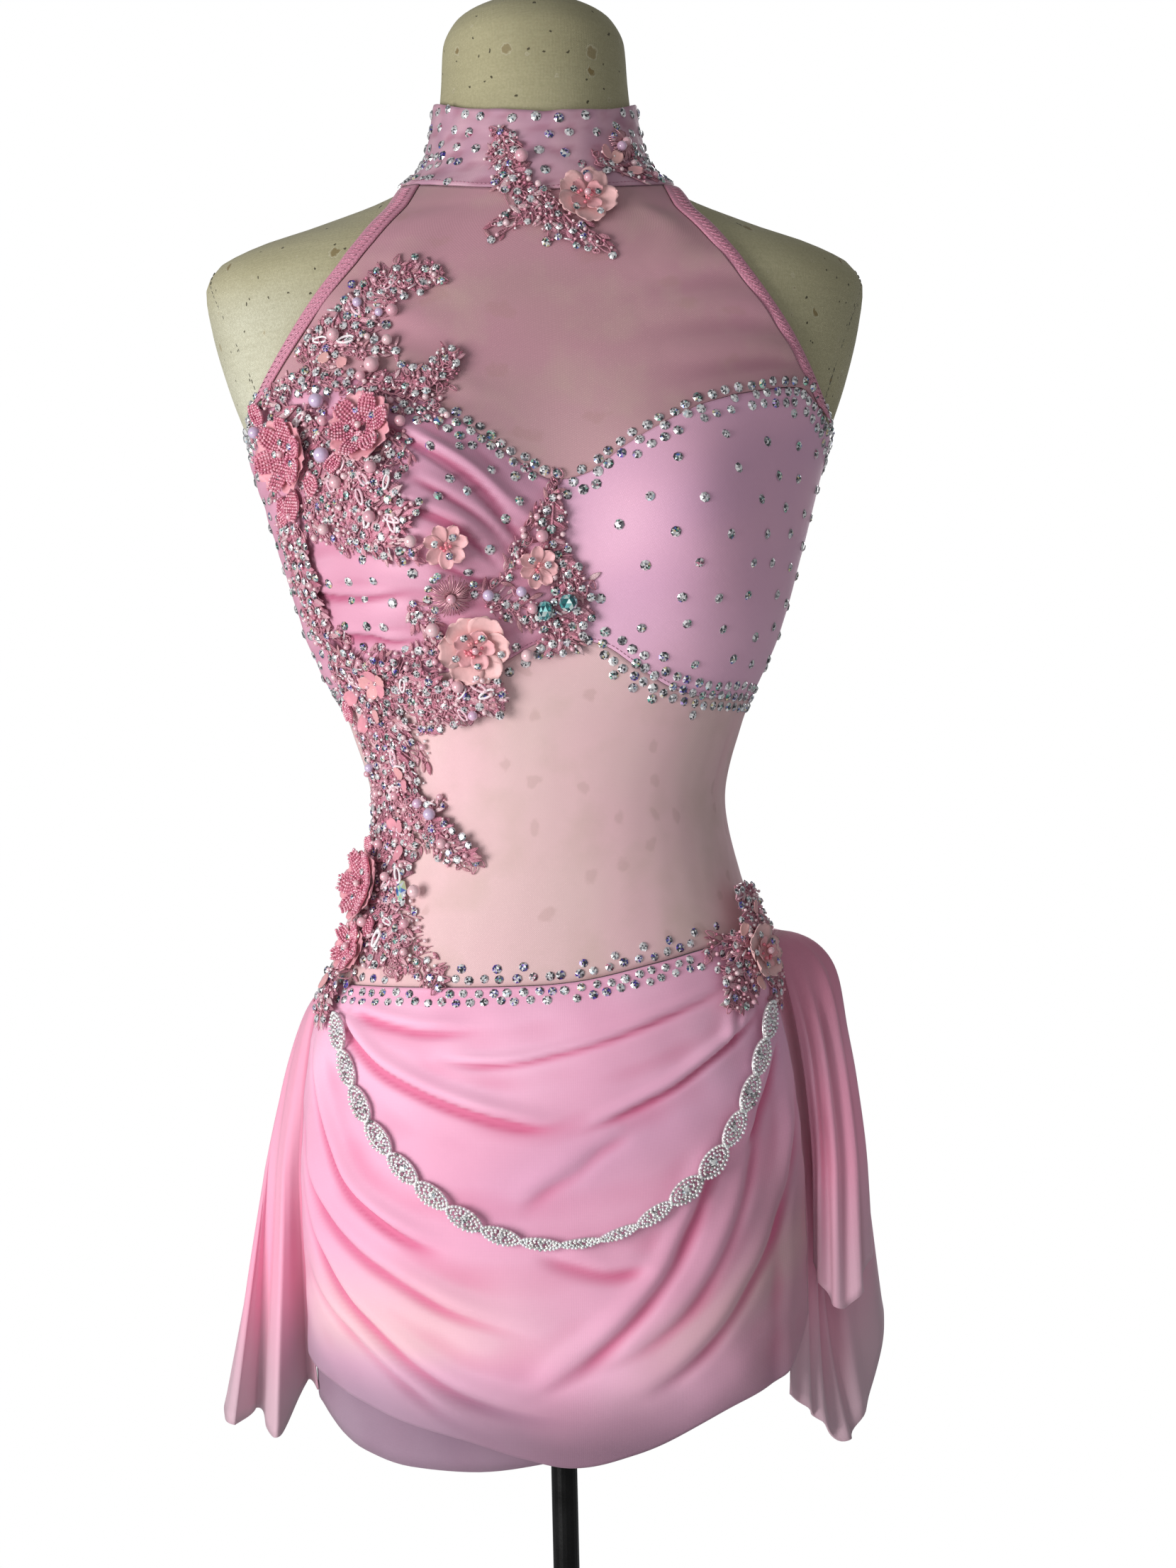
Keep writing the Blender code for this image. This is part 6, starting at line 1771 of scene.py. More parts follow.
# Sprays of embroidery and stones over and round the branches: where they run and how wide
SPRAYS = [
    # surface, sort, points as (angle, height, half width in millimetres)
    ("body", "dense", [(-43, 1.182, 7), (-38, 1.190, 10), (-33, 1.195, 13), (-28, 1.205, 14), (-25, 1.217, 12),
                       (-22, 1.223, 9), (-18, 1.228, 7), (-15, 1.226, 4), (-13, 1.225, 1)]),
    ("body", "twig", [(-31, 1.186, 9), (-27, 1.187, 8), (-24, 1.187, 5), (-22, 1.186, 2)]),
    ("body", "packed", [(-58, 1.166, 4), (-47, 1.172, 7), (-40, 1.172, 8), (-34, 1.170, 8), (-29, 1.164, 8),
                        (-25, 1.159, 9), (-22, 1.156, 10), (-19, 1.152, 8), (-17, 1.145, 6)]),
    ("body", "dense", [(-21, 1.162, 8), (-18, 1.162, 7), (-15, 1.171, 7), (-14, 1.180, 5), (-13, 1.185, 2)]),
    ("body", "twig", [(-21, 1.162, 5), (-20, 1.169, 4), (-20, 1.175, 2)]),
    ("body", "dense", [(-52, 1.119, 9), (-48, 1.111, 13), (-43, 1.1055, 15), (-36, 1.110, 13), (-34, 1.1105, 8),
                       (-31, 1.1125, 4)]),
    ("body", "dense", [(-61, 1.105, 7), (-52, 1.100, 11), (-45, 1.093, 12), (-39, 1.089, 10), (-35, 1.084, 7),
                       (-30, 1.080, 5), (-27, 1.078, 2)]),
    ("body", "dense", [(-28, 1.1365, 10), (-27, 1.131, 8), (-28, 1.1215, 7), (-34, 1.120, 6), (-38, 1.123, 7),
                       (-42, 1.127, 6)]),
    ("body", "dense", [(-72, 1.106, 6), (-70, 1.092, 7), (-69, 1.079, 7), (-68, 1.065, 7), (-67, 1.053, 8),
                       (-64, 1.043, 8), (-56, 1.0385, 6), (-53, 1.038, 2)]),
    ("body", "dense", [(-42, 1.160, 6), (-43, 1.146, 5), (-44, 1.133, 6), (-44, 1.121, 8)]),
    ("body", "dense", [(-70, 1.160, 5), (-66, 1.150, 6), (-66, 1.130, 5), (-68, 1.115, 6)]),
    ("body", "dense", [(-67, 1.024, 7), (-55, 1.024, 10), (-47, 1.022, 12), (-41, 1.0195, 12), (-33, 1.022, 10),
                       (-28, 1.0285, 7), (-25, 1.038, 5)]),
    ("body", "dense", [(-72, 1.010, 8), (-57, 1.009, 11), (-47, 1.006, 11), (-38, 1.005, 10), (-30, 1.006, 10),
                       (-23, 1.005, 9), (-17, 1.0095, 8), (-14, 1.006, 3)]),
    ("body", "dense", [(-14, 1.052, 5), (-10, 1.052, 7), (-5, 1.048, 8), (-2, 1.043, 8), (1, 1.036, 7), (4, 1.029, 3)]),
    ("body", "twig", [(-20, 1.060, 4), (-14, 1.059, 4), (-10, 1.065, 4), (-8, 1.072, 4), (-7, 1.080, 4),
                      (-5, 1.088, 4), (-3, 1.096, 4), (-1, 1.105, 5), (0, 1.113, 4), (0, 1.119, 2)]),
    ("body", "dense", [(-3, 1.077, 7), (0, 1.071, 8), (2, 1.064, 7), (5, 1.059, 5)]),
    ("body", "dense", [(-30, 1.055, 7), (-28, 1.046, 7), (-25, 1.042, 5)]),
    ("body", "dense", [(-40, 0.986, 5), (-35, 0.993, 8), (-30, 0.9965, 8), (-24, 1.001, 10), (-19, 1.0035, 10),
                       (-15, 1.006, 6), (-12, 1.010, 2)]),
    ("body", "dense", [(-62, 0.998, 8), (-55, 0.990, 13), (-50, 0.982, 16), (-49, 0.972, 17), (-55, 0.963, 17),
                       (-58, 0.953, 18), (-59, 0.943, 18), (-57, 0.933, 18), (-54, 0.923, 15), (-50, 0.914, 10)]),
    ("body", "dense", [(-70, 0.992, 8), (-70, 0.968, 8), (-73, 0.956, 8), (-76, 0.944, 8), (-78, 0.933, 8),
                       (-75, 0.922, 8)]),
    ("body", "dense", [(-53, 0.936, 8), (-45, 0.930, 9), (-37, 0.925, 9), (-32, 0.920, 8), (-27, 0.916, 6),
                       (-23, 0.914, 2)]),
    ("body", "twig", [(-50, 0.941, 6), (-43, 0.943, 8), (-38, 0.943, 5), (-36, 0.950, 2)]),
    ("body", "dense", [(-53, 0.905, 8), (-52, 0.894, 8), (-48, 0.885, 11), (-45, 0.876, 11), (-40, 0.867, 9),
                       (-35, 0.860, 8), (-31, 0.851, 5), (-29, 0.847, 2)]),
    ("body", "twig", [(-74, 0.885, 8), (-60, 0.875, 8), (-53, 0.874, 8), (-48, 0.865, 6), (-44, 0.859, 6),
                      (-41, 0.854, 2)]),
    ("hips", "packed", [(-66, 0.862, 7), (-65, 0.852, 8), (-66, 0.844, 7), (-67, 0.837, 6), (-68, 0.828, 4)]),
    ("body", "dense", [(-25, 1.310, 3), (-19, 1.306, 4), (-15, 1.299, 6), (-16, 1.291, 8), (-12, 1.285, 9),
                       (-9, 1.279, 9), (-8, 1.273, 8), (-3, 1.272, 6), (0, 1.268, 5)]),
    ("body", "twig", [(-21, 1.290, 4), (-22, 1.296, 5), (-25, 1.298, 2)]),
    ("body", "dense", [(3, 1.266, 5), (0, 1.262, 6), (-3, 1.260, 5), (-5, 1.259, 4), (-8, 1.257, 4), (-9, 1.2555, 1)]),
    ("body", "twig", [(-3, 1.260, 3), (-5, 1.254, 3), (-7, 1.246, 2)]),
    ("body", "twig", [(0, 1.264, 3), (0, 1.253, 3), (0, 1.243, 2)]),
    ("body", "twig", [(3, 1.260, 4), (4, 1.252, 3), (5, 1.245, 3), (5, 1.238, 2)]),
    ("body", "twig", [(5, 1.256, 3), (6, 1.249, 3), (7, 1.241, 2), (7, 1.235, 1)]),
    ("body", "dense", [(37, 1.308, 4), (44, 1.304, 6), (46, 1.296, 7), (42, 1.290, 6), (40, 1.284, 4)]),
    ("body", "dense", [(22, 1.289, 5), (28, 1.292, 7), (33, 1.289, 7), (31, 1.283, 6)]),
    ("hips", "dense", [(58, 0.893, 6), (60, 0.880, 9), (57, 0.868, 13), (50, 0.858, 13), (44, 0.850, 11),
                       (41, 0.840, 8), (39, 0.830, 4)]),
    ("hips", "dense", [(64, 0.868, 7), (63, 0.852, 8), (60, 0.840, 7), (57, 0.829, 4)]),
    ("hips", "twig", [(48, 0.868, 6), (41, 0.864, 5), (36, 0.860, 2)]),
]


def lace_cover():
    """The branches as points: place, how wide, and how far their tops are off the cloth."""
    found = []
    for row in LACES:
        surface, angle, height, _, _, width = lace_line(row, 61)
        found.append(np.concatenate([surface(angle, height), (width * 0.86)[:, None],
                                     np.full((61, 1), row[2] + 0.0008)], -1))
    return np.concatenate(found)


LACE_COVER = lace_cover()
FLOWER_SPOTS = np.array([[*SURFACES[row[1]](row[2], row[3]), row[5]] for row in FLOWERS])


def off_flowers(place, reach):
    """Which places are farther than a reach from the middle of every flower."""
    away = np.linalg.norm(place[:, None] - FLOWER_SPOTS[:, :3], axis=-1)
    return (away > reach).all(1)


def cover_grid(surface_name, heights):
    """The lift of all that lies on the body, on a grid: cloth, and lace branches sloping down to it."""
    surface = SURFACES[surface_name]
    angles = np.linspace(-92, 92, 369)
    angle, height = np.meshgrid(angles, heights)
    plain = np.where(height > seam(WAIST_SEAM, angle), bodice_lift(angle, height), drape_lift(angle, height) + 0.0002)
    plain = np.where(height > seam(COLLAR_FOOT, angle), collar_lift(angle, height), plain) + 0.0003
    place = surface(angle, height)
    top = plain.copy()
    for spot in LACE_COVER:
        away = np.linalg.norm(place - spot[:3], axis=-1)
        near = ramp((spot[3] + 0.0035 - away) / 0.0035)
        top = np.maximum(top, plain + near * np.maximum(spot[4] - plain, 0))
    return angles, heights, top


COVERS = {"body": cover_grid("body", np.linspace(0.82, 1.36, 361)),
          "hips": cover_grid("hips", np.linspace(0.80, 0.92, 81))}


def cover_lift(surface_name, angle, height):
    angles, heights, top = COVERS[surface_name]
    x = np.clip((np.asarray(angle, float) - angles[0]) / (angles[1] - angles[0]), 0, len(angles) - 1.001)
    y = np.clip((np.asarray(height, float) - heights[0]) / (heights[1] - heights[0]), 0, len(heights) - 1.001)
    i, j = x.astype(int), y.astype(int)
    u, v = x - i, y - j
    return (top[j, i] * (1 - u) * (1 - v) + top[j, i + 1] * u * (1 - v) + top[j + 1, i] * (1 - u) * v
            + top[j + 1, i + 1] * u * v)


def spray(row, draw, leaves, cords):
    """One spray: cords and leaves that run outwards from its stem, then stones, pearls and beads over them."""
    surface_name, sort, points = row
    surface, twig = SURFACES[surface_name], sort == "twig"
    angle, height, half = spline(points, 10).T
    half = np.maximum(half, 0.8) / 1000
    reach, run = run_of(surface, angle, height)
    run = unit(run)
    length = np.concatenate([[0], np.cumsum(np.hypot(np.diff(angle) * reach[:-1], np.diff(height)))])
    area, total = np.sum(np.diff(length) * (half[:-1] + half[1:])), length[-1]

    def at(where, side):
        """Angle and height at a length along the stem, and side from -1 to 1 across the spray."""
        *line, wide = (np.interp(where, length, values) for values in (angle, height, reach, *run.T, half))
        return aside(*line, side * wide)

    def cord(where, side, radius):
        a, z = spline(np.stack(at(where, side), -1), 2).T
        lift = cover_lift(surface_name, a, z) + 0.0006
        place, normal = standing(surface, a, z, lift, lift + 0.01)
        cords.append(tube(place, radius * (1 - 0.45 * np.linspace(0, 1, len(place))), 4, normal=normal))

    wander = np.linspace(0, total, max(5, int(total / 0.006)))
    cord(wander, draw.uniform(-0.22, 0.22, len(wander)), 0.0007)
    starts = np.arange(0.001, total, 0.0055 if twig else 0.0042)
    starts = starts + draw.uniform(-0.001, 0.001, len(starts))
    s = np.linspace(0, 1, 4)
    for start in starts:
        for hand in (-1, 1):
            run_out = np.interp(start, length, half) * draw.uniform(0.4, 1.1)
            far = hand * draw.uniform(0.8, 1.08)
            cord(start + run_out * s, far * s ** 0.8, 0.00045)
            if draw.uniform() < 0.4:
                cord(start + run_out * s * 0.8 + 0.0012, far * s ** 0.6 * 0.9, 0.0004)
    many = int(area / (3.4e-5 if twig else 2.6e-5)) + 3
    where, side = draw.uniform(0, total, many), draw.uniform(-0.85, 0.95, many) * draw.choice([-1, 1], many)
    size = draw.uniform(0.0038, 0.0078, many)
    a, z = at(where, side)
    on = where + size * draw.uniform(0.2, 1.0, many)
    out = np.sign(side) * size / np.interp(where, length, half) * draw.uniform(0.1, 0.9, many)
    lift = cover_lift(surface_name, a, z)
    base = lifted(surface, a, z, lift + draw.uniform(0.0001, 0.0008, many))
    tip = lifted(surface, *at(on, side + out), lift + draw.uniform(0.0003, 0.0022, many))
    leaves.append((base, tip - base, standing(surface, a, z, 0.0, 0.01)[1], size))
    t = np.linspace(0, 2 * np.pi, 10)
    for _ in range(int(area / 4.5e-5)):
        a, z = at(np.array([draw.uniform(0, total)]), np.array([draw.uniform(-0.9, 0.9)]))
        turn, long = draw.uniform(0, ROUND), draw.uniform(0.0035, 0.0060)
        x, y = long * (0.5 + 0.5 * np.cos(t)), long * 0.26 * np.sin(t) * (1 - 0.45 * np.cos(t))
        loop_a = a + (x * np.cos(turn) - y * np.sin(turn)) / metres_per_degree(surface, a, z)
        loop_z = z + x * np.sin(turn) + y * np.cos(turn)
        lift = cover_lift(surface_name, loop_a, loop_z) + 0.0009 + 0.0008 * np.sin(t / 2)
        place, normal = standing(surface, loop_a, loop_z, lift, lift + 0.01)
        cords.append(tube(place, 0.00042, 4, normal=normal))
    # stones first, then what fills between them
    gaps, share = {"packed": (0.0050, 3.2), "dense": (0.0054, 1.5), "twig": (0.0064, 1.0)}[sort]
    kinds = SOFT_ROSE if height.mean() > 1.23 else SPLIT if height.mean() > 1.04 else COOL
    for kind, count, sizes, gap in (
            ("stone", int(area / gaps ** 2 * share) + 2,
             (0.0022, 0.0024) if height.mean() < 1.0 else (0.0024, 0.0027), gaps),
            ("small_pearl", int(area / 6.5e-5), (0.0013, 0.0019), 0.0036),
            ("seed", int(area / 1.2e-5), (0.0008, 0.0011), 0.0025),
            ("bugle", int(area / 7e-5), (0.0038, 0.0050), 0.0032)):
        where, side = draw.uniform(0, total, count), draw.uniform(-1.0, 1.0, count)
        if kind == "stone" and twig:
            where, side = np.append(where, total), np.append(side * 0.5, 0.0)
        a, z = at(where, side)
        lift = cover_lift(surface_name, a, z)
        keep = off_flowers(lifted(surface, a, z, lift), FLOWER_SPOTS[:, 3] * 0.80)
        if not keep.any():
            continue
        a, z, lift = a[keep], z[keep], lift[keep]
        spot, normal = standing(surface, a, z, lift + (0.0009 if kind == "stone" else 0.0005), lift + 0.01)
        chosen = TRIMS.clear_of(spot, gap)
        if not len(chosen):
            continue
        spot, normal = spot[chosen], unit(normal[chosen] + draw.normal(0, 0.12, (len(chosen), 3)))
        size = draw.choice(sizes, len(chosen))
        if kind == "stone":
            TRIMS.add_picked(kinds, pick_of(draw, kinds, len(chosen)), spot, normal, size)
        else:
            TRIMS.add(kind, spot, normal, size)


def make_sprays(draw):
    leaves, cords = [], []
    for row in SPRAYS:
        spray(row, draw, leaves, cords)
    base, way, normal, size = stacked(leaves)
    keep = off_flowers(base + way, FLOWER_SPOTS[:, 3] * 0.62)
    base, way, normal, size = base[keep], way[keep], normal[keep], size[keep]
    thread = palette((222, 148, 166), (206, 124, 146), (230, 172, 184), (194, 112, 134), (238, 198, 204),
                     (214, 150, 160))
    shape = np.stack([size, size * draw.uniform(0.8, 1.25, len(size)), size * 1.2], -1)
    scatter("spray_leaves", leaf_form(), base, normal, shape, THREAD, seed=105,
            tint=thread[draw.integers(6, size=len(base))], toward=way)
    points, faces = joined(cords)
    tone = mottled((224, 152, 170), (196, 120, 142), points, 0.02, 106)
    build("spray_cords", points, faces, THREAD, tint=tone)


def lace_trims(row, draw):
    """Stones, pearls and beads sewn over a branch."""
    name, surface_name, lift, half_width, _, stem = row
    surface, top = SURFACES[surface_name], level(lift + 0.0013)
    length = np.linalg.norm(np.diff(body(*np.array(stem).T), axis=0), axis=1).sum()
    many = int(length * half_width * 2 / 0.0047 ** 2 * 1.6)
    share, side = draw.uniform(0.01, 1.0, many), draw.uniform(-1.02, 1.02, many)
    angle, height = lace_at(row, share, side)
    kinds = SOFT_ROSE if name == "lace_collar" else SPLIT if height.mean() > 1.04 else COOL
    stones_on(surface, top, angle, height, draw, kinds, 0.0056, (0.0022, 0.0025), 0.0004)
    for kind, count, sizes, gap in (("small_pearl", many // 6, (0.0011, 0.0015), 0.0033),
                                    ("seed", many // 2, (0.0008, 0.0010), 0.0026),
                                    ("bugle", many // 9, (0.0042, 0.0050), 0.0032)):
        share, side = draw.uniform(0, 1, count), draw.uniform(-0.98, 0.98, count)
        place, normal = frame_at(surface, top, *lace_at(row, share, side), np.full(count, 0.0003))
        keep = TRIMS.clear_of(place, gap)
        if len(keep):
            TRIMS.add(kind, place[keep], normal[keep], draw.choice(sizes, len(keep)))


def petal_half(width, x):
    """A petal's half width at a share of its length."""
    return width * np.sin(np.pi * np.clip((x - 0.02) * 0.92, 0.02, 0.97) ** 1.25) ** 0.62


def petal_form(width, stand, curl, ribs, notch):
    """One petal of length 1 along +X, cupped, thin and closed."""
    x, across = np.linspace(0.10, 1, 9)[:, None], np.linspace(-1, 1, 9)[None]
    far = x * (1 - notch * np.exp(-(across / 0.35) ** 2) * x ** 6 - 0.10 * across ** 2 * x)
    rise = stand * x ** 1.6 + curl * across ** 2 * x + 0.016 * np.cos(ribs * np.pi * across) * (ribs > 0) * x
    top = np.stack(np.broadcast_arrays(far, across * petal_half(width, x), rise + 0.03), -1)
    low = top - [0, 0, 0.03]
    return np.concatenate([low.reshape(-1, 3), top.reshape(-1, 3)]), [shell_faces(9, 9, False)]


PETAL_LAYERS = {
    # for each layer: petals more than the flower's number, reach, lift, width, rise, curl, ribs, notch, colour
    "beaded": [(0, 1.16, 0.0004, 0.40, 0.24, 0.05, 0, 0.14, (238, 166, 178)),
               (0, 1.04, 0.0014, 0.31, 0.32, 0.04, 0, 0.0, (220, 134, 156))],
    "small": [(1, 1.0, 0.0006, 0.335, 0.20, 0.12, 3, 0.06, (246, 186, 190))],
    "large": [(0, 1.05, 0.0003, 0.47, 0.20, 0.10, 4, 0.10, (246, 194, 194)),
              (-1, 0.62, 0.0014, 0.44, 0.30, 0.12, 3, 0.08, (242, 176, 182))],
}


def flower(row, draw):
    """One flower: its layers of petals, then the beads, stones and pearl at its heart."""
    name, surface_name, angle, height, lift, radius, petals, slot = row
    beaded = slot == "beaded_petal"
    small = radius < 0.0135 and not beaded
    place, normal = frame_off(SURFACES[surface_name], lift, angle, height)
    axes = plane_axes(normal[0])
    turn0 = draw.uniform(0, ROUND)
    pieces, tones = [], []
    layers = PETAL_LAYERS["beaded" if beaded else "small" if small else "large"]
    for layer, (more, reach, up, width, rise, curl, ribs, notch, tone) in enumerate(layers):
        points, groups = petal_form(width, rise, curl, ribs, notch)
        for k in range(petals + more):
            turn = turn0 + 2 * np.pi * (k + 0.5 * layer) / (petals + more) + draw.uniform(-0.08, 0.08)
            size = radius * reach * draw.uniform(0.92, 1.06)
            tilt = draw.uniform(-0.10, 0.10)
            local = points * size * np.array([1, draw.uniform(0.92, 1.06), 1.0])
            local[:, 2] += tilt * local[:, 1] + up
            pieces.append((set_down(local, turn, place, axes), groups))
            shade = rgb(*tone) * (0.80 + 0.22 * np.clip(points[:, :1], 0, 1)) * draw.uniform(0.94, 1.05)
            tones.append(np.clip(shade, 0, 1))
            if beaded and layer == 1:
                bead_rows(place, axes, turn, size, width, rise, up, draw)
    points, faces = joined(pieces)
    made = build(name + "_petals", points, faces, PEACH, tint=np.concatenate(tones))
    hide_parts(name)
    # the heart: a cluster of beads, with stones on and round it
    count, stones = (7, 3) if small else (16, 5)
    spread = radius * (0.22 if small else 0.30)
    ring = np.sqrt(draw.uniform(0, 1, count)) * spread
    turn = draw.uniform(0, ROUND, count)
    heart = set_round(ring, turn, radius * 0.10 + 0.0016 + 0.0012 * (1 - ring / spread), place, axes)
    TRIMS.add("rose_seed" if beaded else "pink_seed", heart, normal.repeat(count, 0),
              draw.uniform(0.0009, 0.0012, count))
    for k in range(stones):
        out = radius * (0.45 if small else draw.uniform(0.35, 0.75))
        spot = set_round(out, turn0 + 2 * np.pi * (k + 0.3) / stones, radius * 0.18 + 0.0016, place, axes)
        TRIMS.add(draw.choice(["clear", "teal", "violet"]), spot, normal, 0.0021)
    if not small:
        TRIMS.add("pearl", place + (radius * 0.14 + 0.0024) * normal, normal, 0.0019)


def bead_rows(place, axes, turn, size, width, rise, up, draw):
    """Rows of seed beads that cover a petal."""
    spots = []
    for x in np.arange(0.20, 1.0, 0.085):
        half = petal_half(width, x)
        count = max(1, int(round(2 * half * size / 0.0018)))
        for y in (np.linspace(-1, 1, count) * half * 0.90 if count > 1 else [0.0]):
            spots.append((x, y, rise * x ** 1.6 + 0.04 * (y / max(half, 0.01)) ** 2 * x + 0.03))
    spots = np.array(spots) * size
    spots += draw.normal(0, 0.00006, spots.shape)
    spots[:, 2] += up
    world = set_down(spots, turn, place, axes)
    TRIMS.add("rose_seed", world, np.broadcast_to(axes[2], world.shape), draw.uniform(0.00082, 0.00098, len(world)),
              blocks=False)


# Large pearls: angle, height, how far they sit off the body, radius
PEARLS = [
    (-33.7, 1.1957, 0.0052, 0.0034), (-21.7, 1.2069, 0.0048, 0.0033), (-23.4, 1.1907, 0.0046, 0.0029),
    (-27.0, 1.1758, 0.0064, 0.0042), (-40.3, 1.1597, 0.0090, 0.0040), (-61.8, 1.1522, 0.0100, 0.0034),
    (-42.4, 1.1303, 0.0096, 0.0042), (-32.1, 1.1193, 0.0094, 0.0034), (-40.7, 1.1153, 0.0096, 0.0034),
    (-24.8, 1.1422, 0.0070, 0.0031), (-40.3, 1.1485, 0.0094, 0.0029), (-27.7, 1.0847, 0.0072, 0.0034),
    (-2.7, 1.0859, 0.0066, 0.0034), (-13.6, 1.0583, 0.0066, 0.0031), (-26.1, 1.0425, 0.0066, 0.0038),
    (-5.9, 1.0257, 0.0060, 0.0034), (-4.6, 1.0505, 0.0068, 0.0029), (-6.8, 1.0594, 0.0068, 0.0029),
    (-34.5, 1.0969, 0.0094, 0.0033), (-29.7, 1.1702, 0.0074, 0.0028), (-27.9, 1.2125, 0.0050, 0.0026),
    (-24.1, 1.2064, 0.0050, 0.0023), (-47.6, 1.0943, 0.0094, 0.0029), (-22.9, 1.0122, 0.0094, 0.0033),
    (-44.5, 0.9468, 0.0060, 0.0028), (-38.9, 0.9404, 0.0076, 0.0034), (-34.0, 0.9238, 0.0078, 0.0028),
    (-63.5, 0.9231, 0.0060, 0.0026), (-41.9, 0.8978, 0.0056, 0.0037), (-42.9, 0.8801, 0.0060, 0.0027),
    (-60.1, 0.8792, 0.0070, 0.0030), (-20.9, 0.9950, 0.0090, 0.0027), (-67.6, 0.9689, 0.0060, 0.0024),
    (-55.3, 0.9515, 0.0060, 0.0022), (-55.7, 0.9054, 0.0062, 0.0027), (-41.0, 0.8655, 0.0056, 0.0022),
    (-67.0, 0.9536, 0.0060, 0.0022), (-9.3, 1.2916, 0.0056, 0.0037), (12.2, 1.2773, 0.0090, 0.0026),
    (38.0, 1.3020, 0.0050, 0.0028),
]
SUNBURSTS = [
    # angle, height, lift, radius
    (-21.3, 1.0579, 0.0064, 0.0125),
    (42.4, 1.3055, 0.0036, 0.0110),
]


def sunburst(angle, height, lift, radius, draw):
    """A rosette of metallic thread, with a pearl in the middle and stones round it."""
    place, normal = frame_off(body, lift, angle, height)
    axes = plane_axes(normal[0])
    parts = []
    s = np.linspace(0.12, 1, 5)
    for k in range(44):
        turn = 2 * np.pi * (k + draw.uniform(-0.3, 0.3)) / 44
        reach = radius * draw.uniform(0.72, 1.0)
        path = set_round(s * reach, turn, 0.0006 + 0.0026 * np.sin(np.pi * s) ** 0.8, place, axes)
        parts.append(tube(path, 0.00032, 4, normal=np.broadcast_to(normal[0], path.shape)))
    TRIMS.add("pearl", place + 0.0020 * normal, normal, 0.0026)
    for _ in range(5):
        turn = draw.uniform(0, ROUND)
        TRIMS.add("teal", set_round(radius * draw.uniform(0.9, 1.1), turn, 0.001, place, axes), normal, 0.0022)
    return parts


# Loose fabric petals and beaded petals in the lace: surface, angle, height, where they point, length
LOOSE_PETALS = [
    ("body", -47, 1.016, 20, 0.0095), ("body", -47, 1.016, 95, 0.0090), ("body", -47, 1.016, 165, 0.0095),
    ("body", -47, 1.016, 240, 0.0090), ("body", -47, 1.016, 310, 0.0090), ("body", -60, 1.012, 60, 0.0100),
    ("body", -60, 1.010, 200, 0.0110), ("body", -62, 0.999, 250, 0.0120), ("body", -56, 1.000, 330, 0.0095),
    ("body", -55, 0.930, 120, 0.0090), ("body", -55, 0.930, 40, 0.0090), ("body", -53, 0.924, 290, 0.0105),
    ("body", -52, 0.960, 80, 0.0085), ("body", -52, 0.960, 330, 0.0080), ("body", -36, 1.188, 250, 0.0080),
    ("body", -34, 1.184, 310, 0.0085), ("body", -72, 0.868, 250, 0.0110), ("body", -68, 0.852, 280, 0.0105),
    ("body", 29, 1.290, 60, 0.0090), ("body", 30, 1.293, 140, 0.0095), ("body", 33, 1.288, 340, 0.0095),
    ("hips", 47, 0.866, 70, 0.0085), ("hips", 58, 0.876, 120, 0.0090), ("hips", 50, 0.846, 250, 0.0095),
]
BEADED_PETALS = [
    ("body", -57, 1.120, 262, 0.0190), ("body", -64, 1.118, 284, 0.0180), ("body", -60, 1.152, 96, 0.0150),
    ("body", -50, 1.124, 318, 0.0160), ("body", -38, 1.131, 236, 0.0130), ("body", -70, 1.008, 255, 0.0140),
    ("body", -66, 0.876, 275, 0.0140), ("body", -60, 0.884, 300, 0.0130), ("body", -70, 0.914, 100, 0.0130),
]


LOOSE_TONES = palette((236, 168, 172), (232, 152, 168), (240, 182, 178))


def loose_petals(draw):
    """Petals sewn singly into the lace, the beaded ones under rows of seed beads."""
    pieces, tones = [], []
    for rows, beaded in ((LOOSE_PETALS, False), (BEADED_PETALS, True)):
        width, rise, up, ribs = (0.34, 0.10, 0.0012, 0) if beaded else (0.40, 0.26, 0.0016, 3)
        points, groups = petal_form(width, rise, 0.06, ribs, 0.10)
        for surface_name, angle, height, toward, size in rows:
            a, z = np.array([float(angle)]), np.array([height])
            lift = cover_lift(surface_name, a, z) + up
            place, normal = standing(SURFACES[surface_name], a, z, lift, lift + 0.01)
            axes, turn = plane_axes(normal[0]), math.radians(toward)
            pieces.append((set_down(points * size, turn, place, axes), groups))
            base = rgb(218, 124, 150) if beaded else LOOSE_TONES[draw.integers(3)]
            tones.append(np.clip(base * (0.82 + 0.20 * np.clip(points[:, :1], 0, 1)), 0, 1))
            if beaded:
                bead_rows(place, axes, turn, size, width, rise, 0.0, draw)
    points, faces = joined(pieces)
    build("loose_petals", points, faces, PEACH, tint=np.concatenate(tones))


def make_lace_and_flowers():
    draw = np.random.default_rng(81)
    loose_petals(draw)
    for row in FLOWERS:
        flower(row, draw)
    rosettes = [part for row in SUNBURSTS for part in sunburst(*row, draw)]
    strands("thread_rosettes", rosettes, METAL_THREAD, (222, 168, 178))
    for angle, height, lift, radius in PEARLS:
        place, normal = frame_off(body, lift, angle, height)
        TRIMS.add("opal" if draw.uniform() < 0.25 else "pearl", place, normal, radius)
    for row in LACES:
        lace_branch(row, draw)
        lace_trims(row, draw)
    make_sprays(draw)


